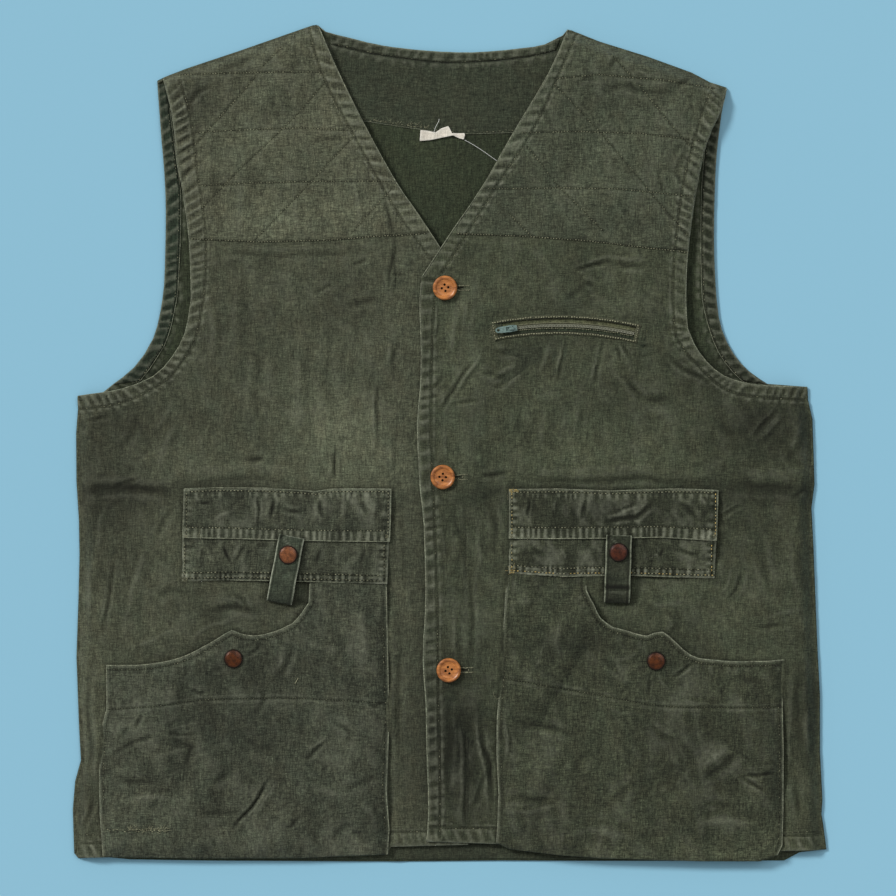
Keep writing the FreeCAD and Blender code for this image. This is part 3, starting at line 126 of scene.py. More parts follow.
# ------------------------------------------------------------------ tables (mm): cut outlines, seam lines, creases
OUTLINES = {
    "BACK": [(-240.0, 297.7), (-235.1, 300.1), (-216.2, 307.5), (-171.9, 322.3), (-122.7, 339.5), (-109.6, 343.6), (-102.2, 337.8), (-92.7, 335.3), (-80.1, 332.1), (-68.5, 329.1), (-55.5, 326.4), (-44.9, 324.8), (-33.2, 323.4), (-21.0, 322.3), (-8.3, 321.3), (5.0, 320.7), (18.3, 320.6), (32.1, 321.3), (46.0, 322.6), (57.7, 323.9), (69.5, 325.3), (78.2, 327.2), (92.9, 334.6), (97.9, 339.5), (123.3, 329.6), (162.6, 317.3), (198.7, 304.2), (214.3, 296.0), (227.4, 291.9), (222.9, 269.0), (221.9, 260.9), (220.4, 249.3), (219.2, 237.8), (218.5, 228.0), (218.0, 218.2), (217.6, 206.6), (217.3, 195.8), (217.1, 183.5), (217.0, 171.0), (217.1, 159.1), (217.4, 147.8), (217.9, 136.7), (218.5, 126.3), (219.2, 117.3), (220.8, 104.0), (223.3, 93.5), (227.7, 82.6), (233.2, 73.0), (239.0, 65.4), (245.5, 59.0), (254.0, 52.8), (261.0, 48.4), (293.8, 45.9), (294.3, 35.3), (297.9, 19.7), (298.8, -8.2), (299.6, -33.6), (297.1, -53.3), (298.8, -86.9), (300.4, -128.7), (302.0, -168.1), (304.1, -207.5), (304.1, -254.2), (306.1, -292.7), (305.3, -305.0), (307.0, -315.7), (309.4, -333.7), (287.3, -336.2), (275.0, -342.8), (205.3, -343.2), (123.3, -343.2), (41.3, -342.8), (-40.7, -343.6), (-122.7, -343.2), (-204.7, -342.8), (-262.1, -341.9), (-284.3, -339.9), (-305.2, -341.1), (-308.3, -337.0), (-309.4, -300.9), (-307.5, -278.0), (-302.8, -260.8), (-304.4, -230.4), (-306.4, -175.5), (-304.8, -128.7), (-303.9, -91.8), (-304.4, -63.1), (-306.4, -32.0), (-306.7, 7.4), (-305.2, 27.9), (-284.3, 41.8), (-276.1, 48.4), (-267.9, 54.3), (-258.8, 62.3), (-250.4, 73.1), (-243.3, 86.1), (-240.0, 96.1), (-237.6, 107.0), (-235.9, 117.3), (-234.4, 129.4), (-233.8, 143.5), (-233.5, 154.3), (-233.2, 167.0), (-233.0, 179.8), (-233.0, 191.1), (-233.2, 202.4), (-233.6, 211.8), (-234.2, 222.2), (-235.2, 234.9), (-236.4, 248.5), (-237.5, 261.6), (-238.5, 274.7), (-239.4, 287.3), (-240.0, 296.0)],
    "RFRONT": [(-235.1, 300.1), (-216.2, 307.5), (-171.9, 322.3), (-122.7, 339.5), (-112.1, 343.1), (-108.0, 342.8), (-104.4, 334.2), (-99.2, 321.9), (-93.2, 308.3), (-88.3, 297.9), (-82.9, 286.7), (-77.1, 275.0), (-71.1, 263.2), (-65.8, 253.3), (-60.2, 242.7), (-54.4, 232.2), (-48.9, 222.5), (-44.0, 214.0), (-37.3, 203.7), (-31.7, 195.9), (-26.0, 187.8), (-19.0, 177.3), (-12.0, 166.6), (-7.1, 159.1), (5.2, 141.9), (14.2, 123.8), (15.0, 35.3), (15.0, -128.7), (15.0, -329.6), (-19.4, -330.5), (-48.1, -331.3), (-50.6, -334.6), (-122.7, -339.1), (-204.7, -339.5), (-284.3, -339.9), (-305.2, -340.3), (-308.3, -337.0), (-309.4, -300.9), (-307.5, -278.0), (-302.8, -260.8), (-304.4, -230.4), (-306.4, -175.5), (-304.8, -128.7), (-303.9, -91.8), (-304.4, -63.1), (-306.4, -32.0), (-306.7, 7.4), (-305.2, 27.9), (-305.6, 38.5), (-287.1, 41.0), (-279.5, 42.0), (-268.7, 44.3), (-255.8, 48.6), (-243.3, 54.5), (-234.5, 62.0), (-227.7, 70.5), (-221.8, 79.7), (-217.3, 89.4), (-214.8, 99.9), (-213.4, 109.1), (-212.1, 117.3), (-212.2, 126.6), (-212.5, 139.2), (-213.0, 152.9), (-213.7, 165.6), (-214.9, 177.6), (-216.5, 189.6), (-218.1, 200.7), (-219.5, 209.9), (-221.6, 220.1), (-223.6, 229.6), (-224.8, 241.6), (-226.1, 255.8), (-227.7, 269.0), (-230.2, 280.9), (-233.0, 291.8)],
    "LFRONT": [(100.3, 338.7), (123.3, 329.6), (162.6, 317.3), (198.7, 304.2), (214.3, 296.0), (227.4, 291.9), (222.9, 273.9), (219.7, 267.4), (215.2, 257.8), (211.0, 246.8), (208.5, 237.9), (206.2, 228.2), (204.0, 217.7), (202.0, 206.6), (200.1, 194.6), (198.3, 181.6), (196.7, 168.6), (195.4, 156.6), (194.4, 142.1), (193.9, 128.8), (193.8, 117.3), (194.2, 103.7), (195.4, 93.5), (200.4, 81.2), (205.1, 73.7), (211.0, 66.4), (217.4, 60.2), (225.0, 54.9), (235.1, 51.0), (245.5, 48.4), (261.0, 46.7), (293.8, 45.9), (294.3, 35.3), (297.9, 19.7), (298.8, -8.2), (299.6, -33.6), (297.1, -53.3), (298.8, -86.9), (300.4, -128.7), (302.0, -168.1), (304.1, -207.5), (304.1, -254.2), (306.1, -292.7), (305.3, -305.0), (307.0, -315.7), (309.4, -333.7), (272.5, -334.6), (205.3, -335.4), (123.3, -332.9), (38.8, -328.8), (16.7, -328.0), (-18.6, -326.8), (-17.7, -316.6), (-16.9, -300.9), (-17.1, -290.5), (-17.5, -278.3), (-18.0, -265.8), (-18.4, -254.2), (-18.7, -241.1), (-18.8, -229.0), (-19.1, -216.5), (-19.7, -206.6), (-20.5, -196.5), (-21.2, -186.2), (-21.5, -175.5), (-21.2, -164.6), (-20.5, -153.4), (-19.8, -141.7), (-19.4, -128.7), (-19.4, -116.7), (-19.6, -103.1), (-19.9, -89.3), (-20.3, -76.7), (-20.7, -66.4), (-22.1, -51.8), (-23.5, -42.6), (-24.1, -34.2), (-24.6, -23.8), (-25.3, -11.8), (-26.0, 2.6), (-26.2, 15.6), (-25.2, 30.0), (-23.9, 43.5), (-23.4, 53.2), (-23.2, 63.3), (-23.1, 74.6), (-23.3, 85.1), (-23.7, 97.0), (-24.1, 108.3), (-24.3, 117.3), (-23.1, 131.2), (-23.0, 134.5), (-22.7, 136.1), (-18.1, 143.1), (-11.5, 153.2), (-4.1, 164.4), (2.7, 174.7), (8.7, 183.4), (14.6, 191.6), (20.4, 200.1), (26.5, 209.5), (31.6, 217.9), (36.7, 226.8), (42.0, 236.1), (47.3, 245.6), (52.8, 255.0), (58.6, 264.7), (64.7, 274.8), (70.8, 284.8), (76.5, 294.5), (81.5, 303.4), (88.2, 317.7), (93.5, 330.6), (97.0, 339.5)],
    "RYOKE": [(-233.8, 297.7), (-215.4, 305.4), (-171.1, 320.6), (-121.9, 337.8), (-112.1, 341.1), (-107.1, 339.5), (-103.7, 331.6), (-98.6, 320.0), (-92.8, 307.1), (-88.0, 296.8), (-82.7, 285.6), (-77.0, 273.8), (-71.1, 262.0), (-65.9, 252.1), (-60.3, 241.6), (-54.7, 231.2), (-49.2, 221.5), (-44.4, 213.2), (-37.6, 202.7), (-31.7, 194.9), (-26.8, 188.2), (-20.8, 179.2), (-16.9, 173.4), (-24.3, 171.4), (-57.1, 169.7), (-98.1, 166.5), (-155.5, 164.8), (-199.8, 166.9), (-212.9, 167.7), (-213.3, 174.7), (-214.8, 184.4), (-216.8, 198.0), (-218.7, 209.9), (-220.8, 219.5), (-222.8, 229.6), (-224.3, 242.7), (-225.9, 258.0), (-227.0, 269.0)],
    "LYOKE": [(100.3, 336.6), (122.9, 328.0), (162.2, 315.7), (198.3, 302.2), (214.3, 294.0), (226.6, 289.5), (222.5, 273.1), (219.3, 266.8), (214.8, 257.6), (210.5, 246.8), (208.0, 237.9), (205.6, 228.1), (203.4, 217.6), (201.4, 206.6), (199.6, 194.0), (197.9, 179.9), (196.4, 167.1), (195.4, 158.3), (156.1, 160.7), (112.6, 165.6), (57.7, 169.7), (7.7, 171.4), (6.0, 171.5), (6.8, 177.9), (11.7, 185.2), (18.8, 195.9), (26.5, 208.3), (31.3, 216.4), (36.4, 225.3), (41.8, 234.7), (47.3, 244.3), (52.8, 253.8), (58.6, 263.5), (64.7, 273.6), (70.9, 283.7), (76.6, 293.3), (81.5, 302.2), (88.0, 316.1), (92.9, 328.5), (96.2, 337.0)],
    "RNECKF": [(-108.0, 342.8), (-104.4, 334.2), (-99.2, 321.9), (-93.2, 308.3), (-88.3, 297.9), (-82.9, 286.7), (-77.1, 275.0), (-71.1, 263.2), (-65.8, 253.3), (-60.2, 242.7), (-54.4, 232.2), (-48.9, 222.5), (-44.0, 214.0), (-37.3, 203.7), (-31.7, 195.9), (-26.0, 187.8), (-19.0, 177.3), (-12.0, 166.6), (-7.1, 159.1), (-14.5, 149.2), (-20.9, 158.2), (-29.2, 169.7), (-35.3, 177.7), (-44.0, 191.1), (-48.9, 199.4), (-54.8, 209.7), (-61.4, 221.2), (-68.0, 233.2), (-74.4, 244.7), (-80.1, 255.0), (-86.1, 266.1), (-91.8, 276.7), (-97.0, 286.7), (-101.6, 296.2), (-105.5, 305.0), (-110.3, 319.4), (-113.4, 332.3), (-115.3, 341.1)],
    "LNECKF": [(97.0, 339.5), (93.5, 330.6), (88.2, 317.7), (81.5, 303.4), (76.5, 294.5), (70.8, 284.8), (64.7, 274.8), (58.6, 264.7), (52.8, 255.0), (47.3, 245.6), (42.0, 236.1), (36.7, 226.8), (31.6, 217.9), (26.5, 209.5), (20.4, 200.1), (14.6, 191.6), (8.7, 183.4), (2.7, 174.7), (-4.1, 164.4), (-11.5, 153.2), (-18.1, 143.1), (-22.7, 136.1), (-6.6, 140.2), (-2.0, 147.2), (4.8, 157.4), (12.2, 168.9), (17.9, 178.1), (24.0, 188.2), (30.4, 198.7), (37.2, 209.5), (43.0, 218.3), (49.3, 227.5), (55.6, 236.8), (61.7, 246.0), (67.1, 255.0), (72.9, 266.0), (78.0, 276.7), (82.6, 287.3), (87.2, 297.7), (92.0, 308.7), (96.9, 320.0), (101.1, 330.0), (104.0, 337.0)],
    "BNECKF": [(-98.1, 335.8), (-90.6, 334.1), (-80.1, 331.6), (-68.8, 328.7), (-55.5, 325.9), (-44.9, 324.3), (-33.2, 322.9), (-21.0, 321.8), (-8.3, 320.9), (5.0, 320.2), (18.3, 320.1), (32.1, 320.9), (46.0, 322.1), (57.7, 323.4), (69.6, 324.9), (78.2, 326.7), (90.5, 332.4), (87.2, 323.1), (78.5, 320.6), (65.9, 317.8), (56.3, 316.3), (45.6, 315.1), (33.9, 314.1), (24.6, 313.4), (14.9, 312.8), (4.6, 312.5), (-6.3, 312.7), (-18.5, 313.7), (-31.8, 315.3), (-44.7, 317.0), (-55.5, 318.6), (-69.8, 321.1), (-80.1, 323.5), (-90.2, 326.1), (-97.3, 328.0)],
    "RARMF": [(-235.1, 299.3), (-233.0, 291.8), (-230.2, 280.9), (-227.7, 269.0), (-226.1, 255.8), (-224.8, 241.6), (-223.6, 229.6), (-221.6, 220.1), (-219.5, 209.9), (-218.1, 200.7), (-216.5, 189.6), (-214.9, 177.6), (-213.7, 165.6), (-213.0, 152.9), (-212.5, 139.2), (-212.2, 126.6), (-212.1, 117.3), (-213.4, 109.1), (-214.8, 99.9), (-217.3, 89.4), (-221.8, 79.7), (-227.7, 70.5), (-234.5, 62.0), (-243.3, 54.5), (-255.8, 48.6), (-268.7, 44.3), (-279.5, 42.0), (-287.1, 41.0), (-281.0, 30.3), (-271.4, 32.8), (-258.8, 36.9), (-246.3, 43.1), (-235.1, 50.0), (-228.3, 55.5), (-222.8, 62.3), (-215.3, 73.5), (-208.8, 86.1), (-205.6, 98.6), (-203.9, 109.1), (-202.3, 117.3), (-201.5, 126.7), (-200.6, 139.3), (-199.9, 153.1), (-199.8, 165.6), (-200.5, 177.0), (-201.9, 188.2), (-203.4, 198.5), (-204.7, 207.5), (-206.4, 218.7), (-208.0, 229.6), (-209.4, 241.8), (-210.9, 256.0), (-212.9, 269.0), (-216.0, 280.4), (-219.4, 290.6), (-221.9, 297.7)],
    "LARMF": [(227.4, 291.1), (225.9, 284.2), (222.9, 273.9), (219.4, 266.1), (215.0, 257.2), (211.0, 246.8), (208.5, 237.9), (206.2, 228.2), (204.0, 217.7), (202.0, 206.6), (200.1, 194.6), (198.3, 181.6), (196.7, 168.6), (195.4, 156.6), (194.4, 142.1), (193.9, 128.8), (193.8, 117.3), (194.2, 103.7), (195.4, 93.5), (200.4, 81.2), (205.1, 73.7), (211.0, 66.4), (217.4, 60.2), (225.0, 54.9), (235.1, 51.0), (245.5, 48.4), (261.0, 46.7), (264.3, 36.9), (251.6, 37.9), (236.4, 40.2), (226.8, 43.8), (217.6, 50.0), (209.4, 57.6), (200.7, 66.8), (193.8, 74.6), (186.0, 86.1), (184.5, 94.7), (183.6, 105.5), (183.1, 117.3), (183.1, 126.5), (183.4, 136.2), (184.0, 146.5), (184.8, 157.4), (185.8, 169.3), (187.1, 181.9), (188.7, 194.6), (190.5, 206.6), (192.7, 218.0), (195.3, 228.9), (197.9, 239.2), (200.4, 248.5), (204.6, 263.6), (208.6, 275.5), (212.8, 285.0), (215.9, 291.1)],
    "RBARMF": [(-239.2, 294.4), (-238.8, 286.1), (-238.2, 274.2), (-237.5, 261.6), (-236.5, 248.6), (-235.2, 235.0), (-234.2, 222.2), (-233.6, 211.8), (-233.2, 202.4), (-233.0, 191.1), (-233.0, 179.8), (-233.2, 167.0), (-233.5, 154.3), (-233.8, 143.5), (-234.4, 129.4), (-235.9, 117.3), (-237.6, 107.0), (-240.0, 96.1), (-243.3, 86.1), (-250.4, 73.1), (-258.8, 62.3), (-268.4, 53.9), (-276.1, 48.4), (-253.9, 51.7), (-247.0, 60.9), (-239.2, 72.2), (-234.5, 79.8), (-231.0, 88.6), (-228.5, 97.6), (-226.2, 108.0), (-224.4, 117.3), (-223.3, 126.1), (-222.8, 136.1), (-222.1, 147.8), (-221.5, 161.6), (-221.1, 174.7), (-220.9, 186.0), (-220.8, 196.7), (-221.1, 206.6), (-222.4, 218.6), (-224.4, 232.1), (-225.7, 242.2), (-227.3, 254.2), (-228.9, 266.0), (-230.1, 275.5), (-231.7, 287.7), (-232.6, 294.4)],
    "LBARMF": [(222.9, 269.0), (221.9, 260.9), (220.4, 249.3), (219.2, 237.8), (218.5, 228.0), (218.0, 218.2), (217.6, 206.6), (217.3, 195.8), (217.1, 183.5), (217.0, 171.0), (217.1, 159.1), (217.4, 147.8), (217.9, 136.7), (218.5, 126.3), (219.2, 117.3), (220.8, 104.0), (223.3, 93.5), (227.7, 82.6), (233.2, 73.0), (239.0, 65.4), (245.5, 59.0), (254.0, 52.8), (261.0, 48.4), (239.7, 51.7), (234.5, 57.5), (227.2, 65.8), (220.9, 74.6), (216.7, 83.8), (213.5, 93.4), (211.0, 101.7), (207.7, 117.3), (207.2, 125.7), (206.9, 136.2), (206.6, 147.6), (206.4, 159.1), (206.4, 171.1), (206.5, 184.0), (206.7, 196.3), (206.9, 206.6), (207.6, 219.1), (208.6, 229.6), (209.5, 239.8), (210.6, 250.9), (211.8, 260.8), (214.1, 273.0), (215.9, 281.3)],
    "BYOKE": [(-220.3, 273.9), (-105.5, 314.1), (-98.1, 327.2), (-80.1, 322.7), (-55.5, 317.8), (-6.3, 311.9), (33.9, 313.2), (65.9, 316.9), (88.0, 322.3), (92.9, 318.2), (206.1, 277.2), (205.3, 255.8), (123.3, 255.8), (51.1, 255.0), (13.4, 254.2), (-28.4, 258.3), (-70.2, 264.4), (-122.7, 268.1), (-219.5, 268.1)],
    "RSTAND": [(-7.1, 148.4), (5.2, 138.6), (13.4, 122.2), (13.4, 35.3), (13.4, -128.7), (13.4, -328.0), (-17.8, -328.8), (-17.8, -128.7), (-17.8, 35.3), (-17.8, 117.3), (-17.8, 132.0)],
    "LSTAND": [(-21.0, 131.2), (-21.9, 117.3), (-21.0, 74.6), (-21.4, 43.5), (-23.5, 15.6), (-22.3, -23.8), (-21.0, -42.6), (-18.2, -66.4), (-16.9, -128.7), (-19.1, -175.5), (-16.9, -216.5), (-16.0, -254.2), (-14.5, -300.9), (-15.7, -323.9), (21.6, -325.5), (21.6, -210.7), (21.6, -46.7), (21.6, 84.5), (21.6, 136.9), (-3.0, 136.9)],
    "RHEM": [(-303.1, -323.9), (-204.7, -323.9), (-122.7, -323.9), (-48.1, -319.8), (-21.0, -319.0), (-21.0, -328.8), (-48.1, -329.6), (-122.7, -337.0), (-204.7, -337.8), (-303.1, -337.8)],
    "LHEM": [(25.7, -312.4), (123.3, -317.3), (205.3, -319.8), (272.5, -319.0), (305.3, -318.2), (307.0, -331.3), (272.5, -332.9), (205.3, -333.7), (123.3, -331.3), (38.8, -327.2), (25.7, -326.4)],
    "BHEM": [(-303.1, -325.5), (-204.7, -327.2), (-40.7, -328.0), (123.3, -327.6), (270.9, -326.4), (302.0, -323.9), (305.3, -332.9), (287.3, -334.6), (275.0, -341.1), (205.3, -341.5), (123.3, -341.5), (41.3, -341.1), (-40.7, -341.9), (-204.7, -341.1), (-262.1, -340.3), (-284.3, -338.2), (-303.1, -338.7)],
    "RPATCH": [(-218.5, -68.9), (-134.2, -70.1), (-49.5, -71.3), (-50.6, -95.9), (-51.4, -115.6), (-85.8, -114.4), (-130.9, -113.2), (-180.1, -112.3), (-219.5, -113.2), (-219.1, -91.8)],
    "LPATCH": [(48.7, -68.9), (133.1, -69.3), (218.7, -70.9), (217.6, -91.8), (216.8, -110.7), (188.9, -109.9), (139.7, -108.2), (90.5, -109.5), (48.7, -106.6), (48.3, -87.7)],
    "RBAND": [(-217.8, -37.7), (-192.4, -36.7), (-151.4, -37.1), (-122.7, -38.9), (-110.4, -39.8), (-94.0, -37.6), (-48.1, -37.7), (-48.4, -59.0), (-49.2, -80.8), (-89.9, -80.4), (-130.9, -79.5), (-171.9, -78.3), (-218.7, -77.5), (-218.2, -56.6)],
    "LBAND": [(48.7, -38.1), (90.5, -37.7), (133.1, -39.4), (164.3, -38.1), (188.9, -37.7), (220.0, -38.9), (219.2, -59.0), (218.4, -79.9), (172.5, -77.1), (133.1, -77.9), (90.5, -78.3), (48.7, -77.9), (49.1, -56.6)],
    "RPOUCH": [(-51.9, -109.1), (-51.4, -149.2), (-49.7, -227.1), (-51.4, -285.4), (-49.7, -317.3), (-50.6, -337.4), (-122.7, -340.3), (-204.7, -340.7), (-284.3, -339.5), (-286.4, -305.9), (-287.1, -269.8), (-284.3, -230.4), (-281.0, -218.1), (-281.2, -182.4), (-277.2, -182.5), (-271.5, -182.6), (-264.8, -182.6), (-257.9, -182.5), (-251.5, -182.0), (-245.3, -181.3), (-239.1, -180.4), (-232.9, -179.3), (-226.8, -177.9), (-221.1, -176.3), (-214.4, -173.7), (-208.0, -170.7), (-202.1, -167.4), (-196.5, -164.4), (-189.6, -160.3), (-183.4, -156.3), (-178.5, -153.8), (-171.9, -156.2), (-166.7, -157.6), (-160.4, -158.3), (-153.0, -157.4), (-144.9, -155.4), (-139.1, -153.2), (-133.2, -150.5), (-128.5, -148.0), (-122.7, -141.9), (-118.2, -135.3), (-115.3, -131.2), (-114.7, -123.2), (-114.5, -115.6), (-114.5, -109.1)],
    "LPOUCH": [(47.0, -102.5), (44.6, -149.2), (41.6, -192.7), (39.1, -227.1), (38.8, -254.2), (40.5, -288.6), (38.8, -328.0), (49.5, -332.9), (90.5, -337.8), (123.3, -340.3), (205.3, -342.8), (254.5, -342.8), (268.8, -337.8), (272.5, -329.6), (273.1, -299.3), (273.3, -252.6), (272.5, -215.7), (274.2, -177.9), (270.1, -178.2), (264.4, -178.5), (257.8, -178.9), (250.9, -179.1), (244.6, -179.3), (237.4, -179.2), (230.1, -178.9), (223.1, -178.5), (216.8, -177.9), (209.7, -177.3), (203.6, -176.4), (197.1, -173.8), (191.4, -169.6), (185.4, -163.9), (179.5, -158.5), (174.5, -155.0), (168.2, -155.8), (161.8, -158.3), (156.4, -157.4), (149.9, -155.7), (143.6, -153.8), (138.9, -152.5), (133.9, -151.3), (128.6, -148.0), (123.3, -143.5), (120.3, -138.5), (118.0, -132.8), (114.5, -126.6), (111.8, -120.5), (111.6, -114.9), (112.2, -109.1), (112.2, -102.5)],
    "RPFAC": [(-53.6, -118.9), (-53.3, -149.2), (-52.2, -211.6), (-122.7, -207.5), (-157.2, -207.5), (-205.5, -209.1), (-235.1, -213.2), (-279.0, -217.0), (-279.0, -184.1), (-251.5, -183.7), (-220.3, -177.9), (-195.7, -166.0), (-178.5, -155.6), (-171.9, -158.1), (-160.4, -160.1), (-144.0, -157.2), (-127.2, -149.6), (-121.1, -143.1), (-116.6, -136.5), (-113.7, -132.0), (-112.9, -118.9)],
    "LPFAC": [(48.7, -110.7), (46.2, -149.2), (43.3, -190.2), (91.8, -199.3), (142.1, -208.3), (180.7, -214.3), (270.9, -214.6), (272.5, -179.6), (244.6, -181.0), (216.8, -179.7), (196.3, -175.5), (173.7, -157.0), (161.8, -160.1), (138.5, -154.3), (133.1, -152.9), (122.1, -144.7), (116.3, -133.7), (110.2, -121.4), (110.6, -114.0)],
}
